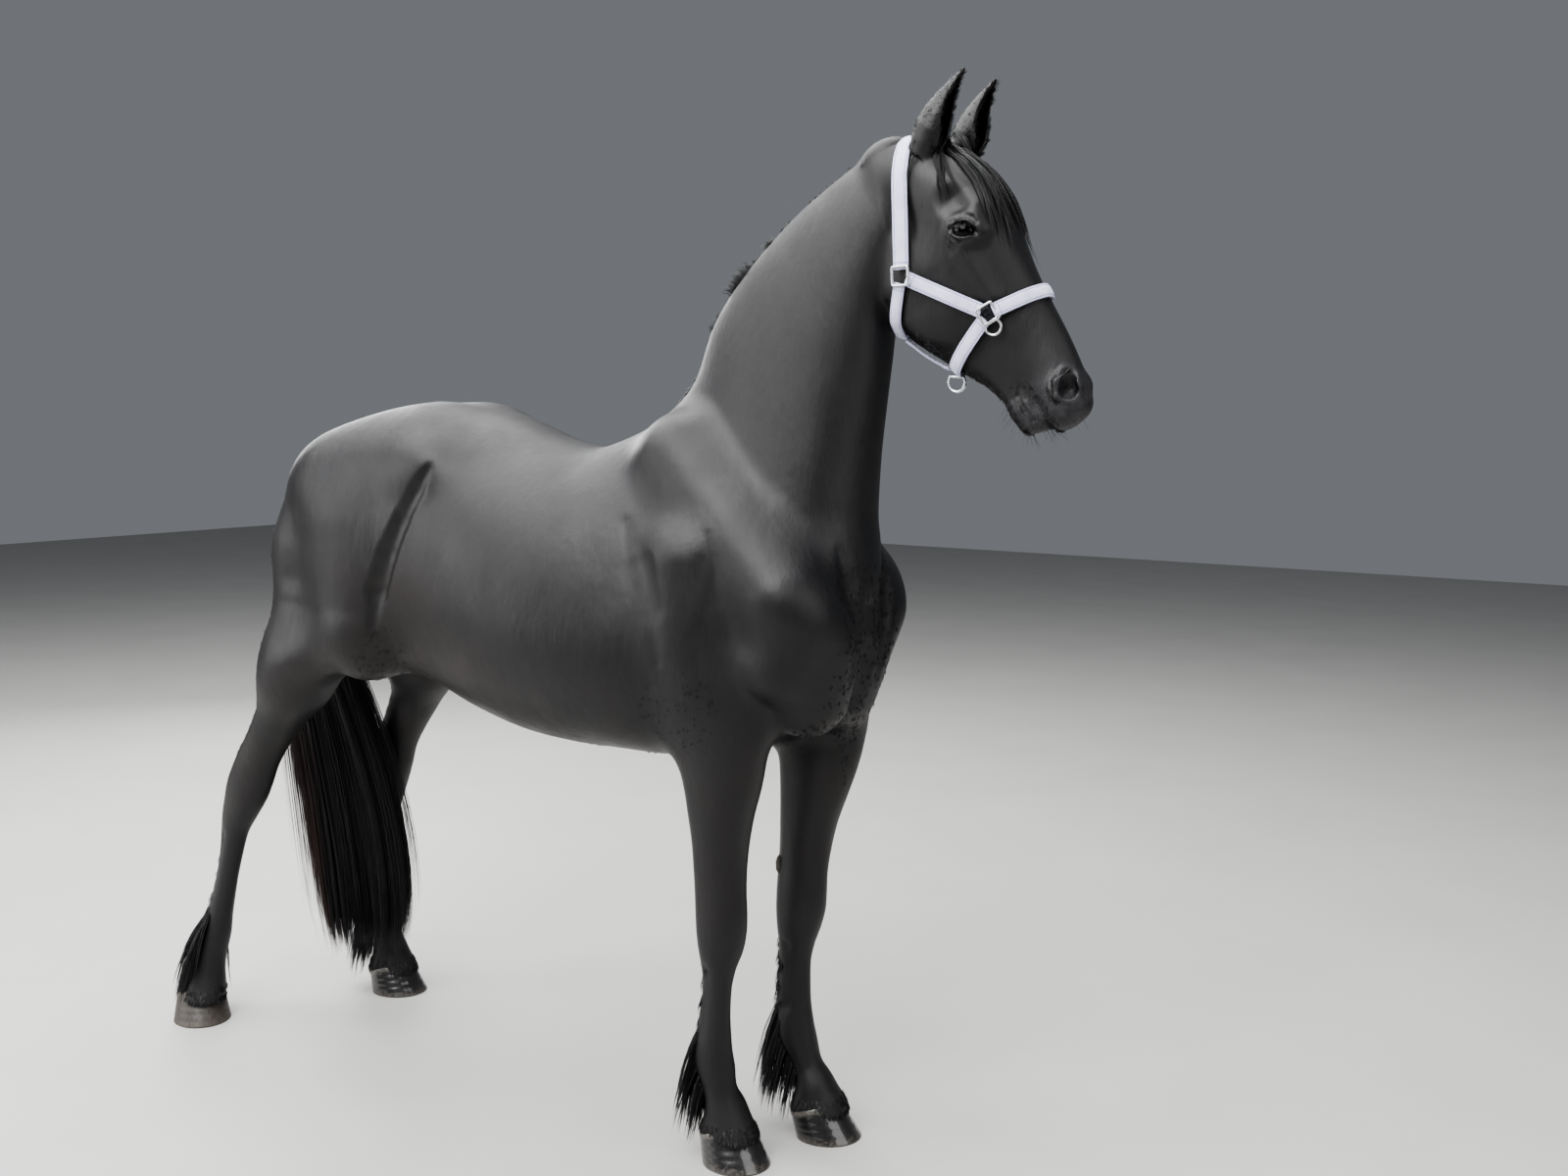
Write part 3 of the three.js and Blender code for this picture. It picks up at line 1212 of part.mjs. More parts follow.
const trunkFlesh = flesh(ALL_FLESH, [-1300, -380, 780], [520, 380, 2200], 13, FINENESS.trunk);
const torso = largest(
  parted(parted(parted(trunkFlesh, CUTS.neck, false), CUTS.foreleg, false), CUTS.hindleg, false),
);
const neck = largest(parted(parted(trunkFlesh, CUTS.neck, true), CUTS.head, false));
const eyes = SIDES.map(({ name, side }) => {
  const place = new THREE.Matrix4().makeTranslation(...eyeAt(side));
  return { name, solid: solidOf(meshOfGeometry(new THREE.IcosahedronGeometry(EYE.radius, 2), place)) };
});
const headBare = parted(flesh(ALL_FLESH, [350, -150, 1520], [860, 150, 2200], 4.5, FINENESS.head), CUTS.head, true);
const head = largest(eyes.reduce((solid, eye) => solid.subtract(swollen(eye.solid)), headBare));
const torsoRoom = swollen(torso);
addNode("torso", torso, COAT);
addNode("neck", withLocks(neck, maneLocks()).subtract(torsoRoom), COAT);
for (const { name, solid } of eyes) addNode(`eye_${name}`, solid, EYEBALL);

/** A cupped ear: a leaf of skin rolled round, open to the front, with its root in the head. */
function ear(side) {
  const COLUMNS = 7;
  const { root: low, tip: high, facing } = EARS[side];
  const root = new THREE.Vector3(...inHead(...low));
  const tip = new THREE.Vector3(...inHead(...high));
  const up = tip.clone().sub(root).normalize();
  const open = new THREE.Vector3(...facing);
  open.addScaledVector(up, -open.dot(up)).normalize();
  const across = up.clone().cross(open);
  const length = tip.distanceTo(root);
  const ROWS = EAR_LEAF.length;
  const points = [];
  for (const inner of [false, true])
    for (const [h, radius, half, thick] of EAR_LEAF)
      for (let k = 0; k < COLUMNS; k++) {
        const a = THREE.MathUtils.degToRad(mix(-half, half, k / (COLUMNS - 1)));
        const r = radius - (inner ? thick : 0);
        const bow = EAR_BOW * Math.sin(Math.PI * h);
        points.push(
          root
            .clone()
            .addScaledVector(up, h * length)
            .addScaledVector(open, -r * Math.cos(a) - bow + radius * 0.3)
            .addScaledVector(across, r * 0.92 * Math.sin(a))
            .toArray(),
        );
      }
  const at = (inner, i, k) => (inner ? ROWS * COLUMNS : 0) + i * COLUMNS + k;
  const faces = [];
  const quad = (a, b, c, d) => faces.push([a, b, c], [a, c, d]);
  for (let i = 0; i < ROWS - 1; i++) {
    for (let k = 0; k < COLUMNS - 1; k++) {
      quad(at(false, i, k), at(false, i, k + 1), at(false, i + 1, k + 1), at(false, i + 1, k));
      quad(at(true, i, k), at(true, i + 1, k), at(true, i + 1, k + 1), at(true, i, k + 1));
    }
    quad(at(false, i, 0), at(false, i + 1, 0), at(true, i + 1, 0), at(true, i, 0));
    const e = COLUMNS - 1;
    quad(at(false, i, e), at(true, i, e), at(true, i + 1, e), at(false, i + 1, e));
  }
  for (let k = 0; k < COLUMNS - 1; k++) {
    quad(at(false, 0, k), at(true, 0, k), at(true, 0, k + 1), at(false, 0, k + 1));
    const t = ROWS - 1;
    quad(at(false, t, k), at(false, t, k + 1), at(true, t, k + 1), at(true, t, k));
  }
  return solidOf(outward({ points, faces }));
}
const headRoom = swollen(head);
const neckRoom = swollen(neck);
const ears = SIDES.map(({ name, side }) => ({ name, solid: largest(ear(side).subtract(headRoom)) }));
const hairyHead = ears.reduce((solid, e) => solid.subtract(swollen(e.solid)), withLocks(head, forelockLocks()));
addNode("head", hairyHead, COAT);

// Legs

/** A hoof: a slanted cone of horn on its flat sole, cut off at the coronet. */
function hoof({ x, y, side, turn, wall }) {
  const SIDES_ROUND = 20;
  const RINGS = 3;
  const slope = 1 / Math.tan(THREE.MathUtils.degToRad(wall));
  const angle = THREE.MathUtils.degToRad(turn) * side;
  const points = [];
  const faces = [];
  for (let i = 0; i <= RINGS; i++)
    for (let k = 0; k < SIDES_ROUND; k++) {
      const a = (2 * Math.PI * k) / SIDES_ROUND;
      const front = 0.5 + 0.5 * Math.cos(a);
      const height = mix(HOOF.heelHeight, HOOF.toeHeight, front) * (i / RINGS);
      const shrink = mix(1, HOOF.flare, (i / RINGS) * 0.9);
      const heel = clamp(-Math.cos(a) - 0.55, 0, 1);
      const along = HOOF.halfLength * Math.cos(a) * shrink * (1 - 0.3 * heel);
      const u = along - slope * height * 0.62;
      const v = HOOF.halfWidth * Math.sin(a) * shrink;
      points.push([
        x + u * Math.cos(angle) - v * Math.sin(angle),
        y + u * Math.sin(angle) + v * Math.cos(angle),
        height,
      ]);
    }
  for (let i = 0; i < RINGS; i++)
    for (let k = 0; k < SIDES_ROUND; k++) {
      const next = (k + 1) % SIDES_ROUND;
      const [a, b] = [i * SIDES_ROUND + k, i * SIDES_ROUND + next];
      faces.push([a, b, b + SIDES_ROUND], [a, b + SIDES_ROUND, a + SIDES_ROUND]);
    }
  const top = RINGS * SIDES_ROUND;
  for (let k = 1; k < SIDES_ROUND - 1; k++) {
    faces.push([0, k + 1, k]);
    faces.push([top, top + k, top + k + 1]);
  }
  return solidOf(outward({ points, faces }));
}

const tailRooms = [torsoRoom]; // what the tail lies clear of
for (const [place, rows, legs, cut] of [
  ["fore", FORELEG, FORELEGS, CUTS.foreknee],
  ["hind", HINDLEG, HINDLEGS, CUTS.hock],
]) {
  const root = place === "fore" ? CUTS.foreleg : CUTS.hindleg;
  SIDES.forEach(({ name, side }, i) => {
    const table = rows[name];
    const xs = table.map((r) => r[1]);
    const middle = side * (place === "fore" ? 125 : 195);
    const low = [Math.min(...xs.slice(0, 18)) - 150, middle - 190, 25];
    const high = [Math.max(...xs.slice(0, 18)) + 170, middle + 190, cut.at[1]];
    const shapes = [...BODY, ...legs];
    const horn = hoof(HOOVES[`${place === "fore" ? "front" : "hind"}_${name}`]);
    const shank = flesh(shapes, [low[0], low[1], low[2]], [high[0], high[1], high[2] + 30], 7, FINENESS.shank);
    const thigh = flesh(shapes, [low[0], low[1], cut.at[1] - 30], [high[0] + 160, high[1], 1010], 10, FINENESS.thigh);
    const hairs = featherLocks(table, side, FEATHER[place], FEATHER_LIE[`${name}_${place}`] ?? 0, 31 + side * 3);
    const lower = withLocks(parted(shank, cut, true), hairs).subtract(swollen(horn));
    const upper = parted(parted(thigh, cut, false), root, true);
    const keep = side < 0 ? [0, -1, 0] : [0, 1, 0];
    const halves = [largest(upper.trimByPlane(keep, GAP / 2)), largest(lower)];
    if (place === "hind") tailRooms.push(...halves.map((half) => swollen(half)));
    addNode(`${place}leg_${name}_upper`, halves[0], COAT);
    addNode(`${place}leg_${name}_lower`, halves[1], COAT);
    addNode(`hoof_${place === "fore" ? "front" : "hind"}_${name}`, horn, HORN);
  });
}

// Halter

const HEAD_FLESH = [...SKULL, ...BODY];

/**
 * A strap's line round the head in the plane that holds the sideways direction and the line through two places
 * on the side of the head: points and outward directions from the first angle to the last, stretched straight
 * over hollows. Angle 0 points along the line, and 90 degrees to the left.
 */
function wrapped(shapes, centre, towards, angles, width, count) {
  const from = inHead(...centre, 0);
  const along = unit(vector(from, inHead(...towards, 0)));
  const left = [0, 1, 0];
  const square = [along[2], 0, -along[0]];
  const way = (a) => along.map((v, i) => v * Math.cos(a) + left[i] * Math.sin(a));
  const spread = angles[1] - angles[0];
  const step = spread / count;
  const radius = [];
  const EXTRA = 4; // more lines past both ends, so that the ends are stretched too
  for (let k = -EXTRA; k <= count + EXTRA; k++) {
    const a = angles[0] + step * k;
    const most = [-0.5, 0, 0.5].map((f) =>
      reachOut(shapes, from.map((v, i) => v + square[i] * width * f), way(a), 260),
    );
    radius.push(Math.max(...most) + HALTER.lift);
  }
  const flat = radius.map((r, k) => {
    const a = angles[0] + step * (k - EXTRA);
    return [r * Math.cos(a), r * Math.sin(a)];
  });
  const turnsIn = (p, q, r) => (q[0] - p[0]) * (r[1] - p[1]) - (q[1] - p[1]) * (r[0] - p[0]) < 0 === spread > 0;
  const hull = [];
  for (const p of flat) {
    while (hull.length > 1 && turnsIn(hull[hull.length - 2], hull[hull.length - 1], p)) hull.pop();
    hull.push(p);
  }
  const line = [];
  for (let k = 0; k <= count; k++) {
    const a = angles[0] + step * k;
    const [c, s] = [Math.cos(a), Math.sin(a)];
    let best = 0;
    for (let i = 1; i < hull.length; i++) {
      const [p, q] = [hull[i - 1], hull[i]];
      const cross = p[0] * q[1] - p[1] * q[0];
      const r = cross / (c * (q[1] - p[1]) - s * (q[0] - p[0]));
      const where = [r * c, r * s];
      const t = ((where[0] - p[0]) * (q[0] - p[0]) + (where[1] - p[1]) * (q[1] - p[1])) /
        ((q[0] - p[0]) ** 2 + (q[1] - p[1]) ** 2);
      if (r > 0 && t >= -1e-6 && t <= 1 + 1e-6) best = Math.max(best, r);
    }
    line.push(from.map((v, i) => v + best * (along[i] * c + left[i] * s)));
  }
  return { line, square };
}

/** A flat strap along a line of points, with its width along the given way and its thickness outwards. */
function strap(line, square, width, thickness) {
  const points = [];
  const faces = [];
  const last = line.length - 1;
  line.forEach((p, i) => {
    const along = new THREE.Vector3(...vector(line[Math.max(i - 1, 0)], line[Math.min(i + 1, last)])).normalize();
    const across = new THREE.Vector3(...(typeof square[0] === "number" ? square : square[i]));
    across.addScaledVector(along, -across.dot(along)).normalize();
    const out = across.clone().cross(along).normalize();
    if (out.dot(new THREE.Vector3(...vector(HEAD_CORE, p))) < 0) out.negate();
    const base = new THREE.Vector3(...p);
    for (const [u, v] of [
      [-0.5, 0],
      [0.5, 0],
      [0.5, 0.75],
      [0.36, 1],
      [-0.36, 1],
      [-0.5, 0.75],
    ])
      points.push(base.clone().addScaledVector(across, u * width).addScaledVector(out, v * thickness).toArray());
  });
  const n = 6;
  for (let i = 0; i < last; i++)
    for (let k = 0; k < n; k++) {
      const [a, b] = [i * n + k, i * n + ((k + 1) % n)];
      faces.push([a, b, b + n], [a, b + n, a + n]);
    }
  for (let k = 1; k < n - 1; k++) {
    faces.push([0, k + 1, k]);
    faces.push([last * n, last * n + k, last * n + k + 1]);
  }
  return solidOf(outward({ points, faces }));
}
const HEAD_CORE = inHead(280, -10, 0);

/** A point on the side of the head, and the way straight out from it. */
function onCheek([down, fore], side, lift) {
  const from = inHead(down, fore, 0);
  const far = reachOut(HEAD_FLESH, from, [0, side, 0], 200) + lift;
  return [from[0], side * far, from[2]];
}

/** A strap over the side of the head between two places. */
function cheekStrap(a, b, side, width) {
  const COUNT = 6;
  const square = unit(vector(inHead(0, 0), inHead(b[1] - a[1], a[0] - b[0])));
  const offset = (f) => [mix(a[0], b[0], f), mix(a[1], b[1], f)];
  const line = [];
  for (let k = 0; k <= COUNT; k++) {
    const place = offset(k / COUNT);
    const most = [-0.5, 0, 0.5].map((f) => {
      const p = inHead(...place, 0).map((v, i) => v + square[i] * width * f);
      return reachOut(HEAD_FLESH, p, [0, side, 0], 200);
    });
    const from = inHead(...place, 0);
    line.push([from[0], side * (Math.max(...most) + HALTER.lift), from[2]]);
  }
  return strap(line, square, width, HALTER.thickness);
}

/** A place between two, a distance in millimetres from the first. */
function stepFrom(a, b, distance) {
  const f = distance / Math.hypot(b[0] - a[0], b[1] - a[1]);
  return [mix(a[0], b[0], f), mix(a[1], b[1], f)];
}

/** The frame of a fitting that lies flat on the cheek: its middle, and its axes down the face and outwards. */
function fittingFrame(place, side, lift) {
  const REACH_ROUND = 14;
  const at = (dx, dy) => new THREE.Vector3(...onCheek([place[0] + dx, place[1] + dy], side, lift));
  const middle = at(0, 0);
  const along = at(REACH_ROUND, 0).sub(at(-REACH_ROUND, 0)).normalize();
  const fore = at(0, REACH_ROUND).sub(at(0, -REACH_ROUND)).normalize();
  const out = along.clone().cross(fore).normalize();
  if (out.y * side < 0) out.negate();
  fore.crossVectors(out, along).normalize();
  return new THREE.Matrix4().makeBasis(along, fore, out).setPosition(middle);
}

/** A bar bent to a closed outline. */
function ringOf(outline, bar, matrix) {
  const SIDES_ROUND = 4;
  const points = [];
  const faces = [];
  const n = outline.length;
  outline.forEach(([x, y], i) => {
    const [ax, ay] = outline[(i + n - 1) % n];
    const [bx, by] = outline[(i + 1) % n];
    const away = unit([by - ay, ax - bx]);
    for (let k = 0; k < SIDES_ROUND; k++) {
      const a = (2 * Math.PI * k) / SIDES_ROUND;
      const r = bar / 2;
      const p = new THREE.Vector3(x + away[0] * r * Math.cos(a), y + away[1] * r * Math.cos(a), r * Math.sin(a));
      points.push(p.applyMatrix4(matrix).toArray());
    }
  });
  for (let i = 0; i < n; i++)
    for (let k = 0; k < SIDES_ROUND; k++) {
      const [i2, k2] = [(i + 1) % n, (k + 1) % SIDES_ROUND];
      const [a, b] = [i * SIDES_ROUND + k, i * SIDES_ROUND + k2];
      const [c, d] = [i2 * SIDES_ROUND + k2, i2 * SIDES_ROUND + k];
      faces.push([a, b, c], [a, c, d]);
    }
  return solidOf(outward({ points, faces }));
}

/** Outline of a round-cornered square. */
function squareOutline(half, corner) {
  const out = [];
  for (let q = 0; q < 4; q++)
    for (const f of [0, 1]) {
      const a = (Math.PI / 2) * (q + f);
      const [cx, cy] = [Math.cos((Math.PI / 2) * (q + 0.5)), Math.sin((Math.PI / 2) * (q + 0.5))].map(
        (v) => Math.sign(v) * (half - corner),
      );
      out.push([cx + corner * Math.cos(a), cy + corner * Math.sin(a)]);
    }
  return out;
}

/** Outline of a D: a straight bar and a round bow. */
function bowOutline(radius) {
  const out = [
    [-radius * 0.35, -radius * 0.5],
    [-radius * 0.35, radius * 0.5],
  ];
  const COUNT = 7;
  for (let k = 0; k <= COUNT; k++) {
    const a = mix(2, -2, k / COUNT);
    out.push([radius * 0.35 + radius * Math.cos(a), radius * Math.sin(a)]);
  }
  return out;
}

const { cheekRing, noseRing, thickness } = HALTER;
const sideAngle = (centre, towards, place) => {
  const from = inHead(...centre, 0);
  const along = unit(vector(from, inHead(...towards, 0)));
  const p = vector(from, onCheek(place, LEFT, HALTER.lift));
  return Math.atan2(p[1], p[0] * along[0] + p[2] * along[2]);
};
const CHIN_RING = { radius: 17, bar: 4.5 };
const SQUARE_RING = { half: 18, corner: 3, bar: 4.5 };
const NOSE_FITTING = { half: 17, corner: 3, bar: 4.5, plate: [33, 14, 3], bow: 15, bowBar: 4, bowAt: [20, -4] };
const NEAR_RING = 14; // how far a strap's end stays from the middle of its ring

/** The line of a strap from the right side to the left over the top or the underside of the head. */
function bandLine(ring, peak, width, count, shapes = HEAD_FLESH) {
  const centre = stepFrom(ring, peak, 0.42 * Math.hypot(peak[0] - ring[0], peak[1] - ring[1]));
  const end = sideAngle(centre, peak, stepFrom(ring, peak, NEAR_RING));
  return wrapped(shapes, centre, peak, [-end, end], width, count);
}

/** A strap along such a line. */
const bandStrap = ({ line, square }, width) => strap(line, square, width, thickness);

// Sections of the straps
const CROWN_SECTIONS = 14;
const BAND_SECTIONS = 12;
const chinBand = bandLine(noseRing, HALTER.underChin, HALTER.width, BAND_SECTIONS);
const throatBand = bandLine(cheekRing, HALTER.underThroat, HALTER.throatWidth, BAND_SECTIONS, SKULL);
const straps = [];

/** Adds a piece of webbing, cut clear of those before it. */
function addStrap(name, solid) {
  const clear = [headRoom, neckRoom, ...straps].reduce((left, other) => left.subtract(other), solid);
  straps.push(swollen(solid));
  addNode(name, clear, WEBBING);
}

const crownBand = bandLine(cheekRing, HALTER.overPoll, HALTER.crownWidth, CROWN_SECTIONS);
const noseBand = bandLine(noseRing, HALTER.overNose, HALTER.width, BAND_SECTIONS);
addStrap("halter_crown", bandStrap(crownBand, HALTER.crownWidth));
addStrap("halter_noseband", bandStrap(noseBand, HALTER.width));
addStrap("halter_chin", bandStrap(chinBand, HALTER.width));
addStrap("halter_throat", bandStrap(throatBand, HALTER.throatWidth));
for (const { name, side } of SIDES) {
  const ends = [stepFrom(cheekRing, noseRing, NEAR_RING), stepFrom(noseRing, cheekRing, NEAR_RING)];
  addStrap(`halter_cheek_${name}`, cheekStrap(...ends, side, HALTER.width));
}

/** Adds a fitting of steel, cut clear of the webbing under it. */
function addFitting(name, solid) {
  addNode(name, straps.reduce((left, other) => left.subtract(other), solid), STEEL);
}

const FITTING_CLEAR = 5.4; // from the webbing to the middle of a fitting's bars
const FITTING_LIFT = HALTER.lift + thickness + FITTING_CLEAR;
for (const { name, side } of SIDES) {
  const { half, corner, bar } = SQUARE_RING;
  const square = ringOf(squareOutline(half, corner), bar, fittingFrame(cheekRing, side, FITTING_LIFT));
  addFitting(`halter_square_ring_${name}`, square);
  const { plate, bow, bowBar, bowAt } = NOSE_FITTING;
  const frame = fittingFrame(noseRing, side, FITTING_LIFT);
  const bowPlace = noseRing.map((v, i) => v + bowAt[i]);
  const parts = [
    ringOf(squareOutline(NOSE_FITTING.half, NOSE_FITTING.corner), NOSE_FITTING.bar, frame),
    solidOf(meshOfGeometry(new THREE.BoxGeometry(...plate), frame)),
    ringOf(bowOutline(bow), bowBar, fittingFrame(bowPlace, side, FITTING_LIFT)),
  ];
  addFitting(`halter_nose_fitting_${name}`, fused(parts).simplify(FUSED_SLACK));
}

/** The strap on the midline under the jaw, from the throat to the chin. */
function jawStrap() {
  const COUNT = 5;
  const SAG = 5;
  const CLEAR = 3;
  const [back, front] = [throatBand.line[BAND_SECTIONS / 2], chinBand.line[BAND_SECTIONS / 2]];
  const way = unit(vector(back, front));
  const margin = HALTER.throatWidth / 2 + 1;
  const reach = Math.hypot(...vector(back, front)) - 2 * margin - CLEAR;
  const line = [];
  for (let k = 0; k <= COUNT; k++) {
    const t = margin + (reach * k) / COUNT;
    const sag = SAG * Math.sin((Math.PI * k) / COUNT);
    line.push([back[0] + way[0] * t, 0, back[2] + way[2] * t - sag]);
  }
  return strap(line, [0, 1, 0], HALTER.throatWidth, thickness);
}
addStrap("halter_jaw_strap", jawStrap());

/** The ring that hangs from the chin strap on the midline. */
function chinRing() {
  const [x, , z] = chinBand.line[BAND_SECTIONS / 2];
  const [down, along] = [unit(vector(HEAD_CORE, [x, 0, z])), unit(vector(inHead(0, 0), inHead(1, 0.5)))];
  const out = new THREE.Vector3(...down);
  const wide = new THREE.Vector3(...along);
  wide.addScaledVector(out, -wide.dot(out)).normalize();
  const drop = thickness + CHIN_RING.bar;
  const frame = new THREE.Matrix4()
    .makeBasis(out, wide, out.clone().cross(wide))
    .setPosition(x + out.x * (drop + CHIN_RING.radius * 0.35), 0, z + out.z * (drop + CHIN_RING.radius * 0.35));
  return ringOf(bowOutline(CHIN_RING.radius), CHIN_RING.bar, frame);
}
addFitting("halter_chin_ring", chinRing());
for (const { name, solid } of ears)
  addNode(`ear_${name}`, straps.reduce((left, other) => left.subtract(other), solid), COAT);

// Tail

const tail = withLocks(tailCore(), tailLocks());
addNode("tail", largest(tailRooms.reduce((left, room) => left.subtract(room), tail)), HAIR);

// The model stands with the middle of its box over the origin.
const box = new THREE.Box3().setFromObject(group);
group.position.set(-(box.min.x + box.max.x) / 2, -(box.min.y + box.max.y) / 2, 0);

export default group;
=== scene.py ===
"""A friesian horse, life size, as a museum shows a still model: its looks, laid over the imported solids.

Metres. +X points to the head, +Y to the horse's left and +Z up, and the hooves stand on z = 0. The skin is
the zero surface of a field of distances, given by sections along the trunk, neck, head and legs with muscles
laid over them. The head's turn to the left and the frame's own origin come last, in `settle`.
"""

import logging
import math
from collections.abc import Sequence
from dataclasses import dataclass, field
from enum import Enum
from typing import Protocol

import bpy
import numpy as np
from mathutils import Matrix, Vector


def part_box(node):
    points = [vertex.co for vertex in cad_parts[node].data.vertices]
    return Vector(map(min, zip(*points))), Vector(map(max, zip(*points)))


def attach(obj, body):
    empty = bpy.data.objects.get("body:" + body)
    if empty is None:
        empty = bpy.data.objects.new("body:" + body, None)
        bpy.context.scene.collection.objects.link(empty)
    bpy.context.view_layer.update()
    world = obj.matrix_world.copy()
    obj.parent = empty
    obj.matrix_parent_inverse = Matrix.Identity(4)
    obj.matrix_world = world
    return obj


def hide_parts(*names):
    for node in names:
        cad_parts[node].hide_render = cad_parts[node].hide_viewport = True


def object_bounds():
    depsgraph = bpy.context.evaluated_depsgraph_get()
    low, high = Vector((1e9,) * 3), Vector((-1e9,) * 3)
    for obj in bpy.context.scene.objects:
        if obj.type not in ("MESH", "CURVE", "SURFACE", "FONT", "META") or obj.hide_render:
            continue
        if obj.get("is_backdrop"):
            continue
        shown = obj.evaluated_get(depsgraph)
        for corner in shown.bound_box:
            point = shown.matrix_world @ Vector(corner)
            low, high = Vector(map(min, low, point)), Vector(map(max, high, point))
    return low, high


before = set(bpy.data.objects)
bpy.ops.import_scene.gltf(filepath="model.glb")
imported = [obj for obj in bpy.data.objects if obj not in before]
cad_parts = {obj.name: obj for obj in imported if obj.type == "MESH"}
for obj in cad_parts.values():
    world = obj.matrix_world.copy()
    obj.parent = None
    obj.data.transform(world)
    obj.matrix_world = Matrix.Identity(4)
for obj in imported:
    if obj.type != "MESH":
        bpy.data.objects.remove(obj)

log = logging.getLogger("horse")
Array = np.ndarray
Row = Sequence[float]
Piece = bpy.types.Object
Material = bpy.types.Material

RIGHT = -1
LEFT = 1
SIDES = {"right": RIGHT, "left": LEFT}
COAT_DEPTH = 0.002
AHEAD = np.array([1.0, 0.0, 0.0])
LEFTWARDS = np.array([0.0, 1.0, 0.0])

# Sections of the trunk from rump to breast: x, top, bottom, half width, and how much wider it is above.
TRUNK = (
    (-1.092, 1.486, 1.035, 0.182, 0),
    (-1.0, 1.558, 0.985, 0.236, 0.02),
    (-0.85, 1.598, 0.962, 0.264, 0.02),
    (-0.71, 1.604, 0.932, 0.272, -0.02),
    (-0.58, 1.579, 0.89, 0.282, -0.06),
    (-0.44, 1.53, 0.861, 0.3, -0.08),
    (-0.31, 1.512, 0.851, 0.306, -0.1),
    (-0.19, 1.532, 0.852, 0.292, -0.2),
    (-0.07, 1.572, 0.853, 0.262, -0.32),
    (0.05, 1.535, 0.868, 0.236, -0.22),
    (0.145, 1.45, 0.9, 0.21, -0.14),
    (0.225, 1.35, 0.965, 0.172, -0.05),
)
TRUNK_ENDS = (0.088, 0.106)

# Sections of the neck from its base to the poll: upper x and z, lower x and z, half width, upper widening.
NECK = (
    (-0.23, 1.5, 0.3, 1.08, 0.19, -0.2),
    (-0.13, 1.578, 0.348, 1.24, 0.16, -0.3),
    (-0.066, 1.668, 0.352, 1.38, 0.134, -0.34),
    (-0.018, 1.775, 0.362, 1.5, 0.116, -0.32),
    (0.062, 1.88, 0.374, 1.6, 0.103, -0.28),
    (0.171, 1.988, 0.384, 1.69, 0.094, -0.22),
    (0.28, 2.068, 0.392, 1.768, 0.087, -0.14),
    (0.36, 2.116, 0.42, 1.85, 0.082, -0.06),
)
NECK_ENDS = (0.09, 0.04)

# The head hangs from the poll. Its places are given down the face, towards the forehead and to the left.
POLL = (0.400, 2.120)
HEAD_SLOPE = math.radians(59)
HEAD_TURN = math.radians(4.5)
TURN_AT = (0.300, 1.500)
TURN_REACH = 0.330
TURN_BEFORE = 0.200
NECK_RISE = math.radians(59)

# Face from the poll to the upper lip: distance, forehead side, throat side, half width, upper widening.
FACE = (
    (0.012, 0.022, -0.078, 0.066, 0),
    (0.055, 0.066, -0.08, 0.079, 0.04),
    (0.115, 0.112, -0.07, 0.091, 0.06),
    (0.18, 0.132, -0.058, 0.097, 0.06),
    (0.245, 0.131, -0.05, 0.095, 0),
    (0.31, 0.123, -0.048, 0.084, -0.08),
    (0.37, 0.117, -0.044, 0.072, -0.14),
    (0.43, 0.115, -0.034, 0.061, -0.18),
    (0.49, 0.114, -0.026, 0.052, -0.18),
    (0.545, 0.11, -0.016, 0.048, -0.12),
    (0.59, 0.103, -0.002, 0.049, -0.05),
    (0.618, 0.09, 0.004, 0.046, 0),
)
FACE_ENDS = (0.034, 0.03)

# Lower jaw from the ear to the chin: distance, face side, jaw edge, half width, upper widening.
JAW = (
    (0.12, 0.03, -0.098, 0.056, 0.1),
    (0.18, 0.03, -0.138, 0.068, 0.2),
    (0.24, 0.03, -0.17, 0.074, 0.24),
    (0.29, 0.03, -0.182, 0.072, 0.26),
    (0.345, 0.025, -0.164, 0.066, 0.24),
    (0.4, 0.02, -0.136, 0.058, 0.2),
    (0.46, 0.015, -0.102, 0.047, 0.16),
    (0.515, 0.01, -0.072, 0.04, 0.1),
    (0.57, 0.0, -0.058, 0.035, 0),
    (0.61, -0.006, -0.056, 0.034, 0),
)
JAW_ENDS = (0.04, 0.022)

EYE_DOWN = 0.242
EYE_FORE = 0.055
EYE_SIDE = 0.087
EYE_RADIUS = 0.023
SLIT = (0.596, 0.803)  # the long way of the opening between the lids, down the face and towards the forehead

# The front of the groove between the lips, to its middle.
LIPS = (
    (0.628, 0.0, 0.03),
    (0.64, 0.004, 0.014),
    (0.642, 0.005, 0.0),
)

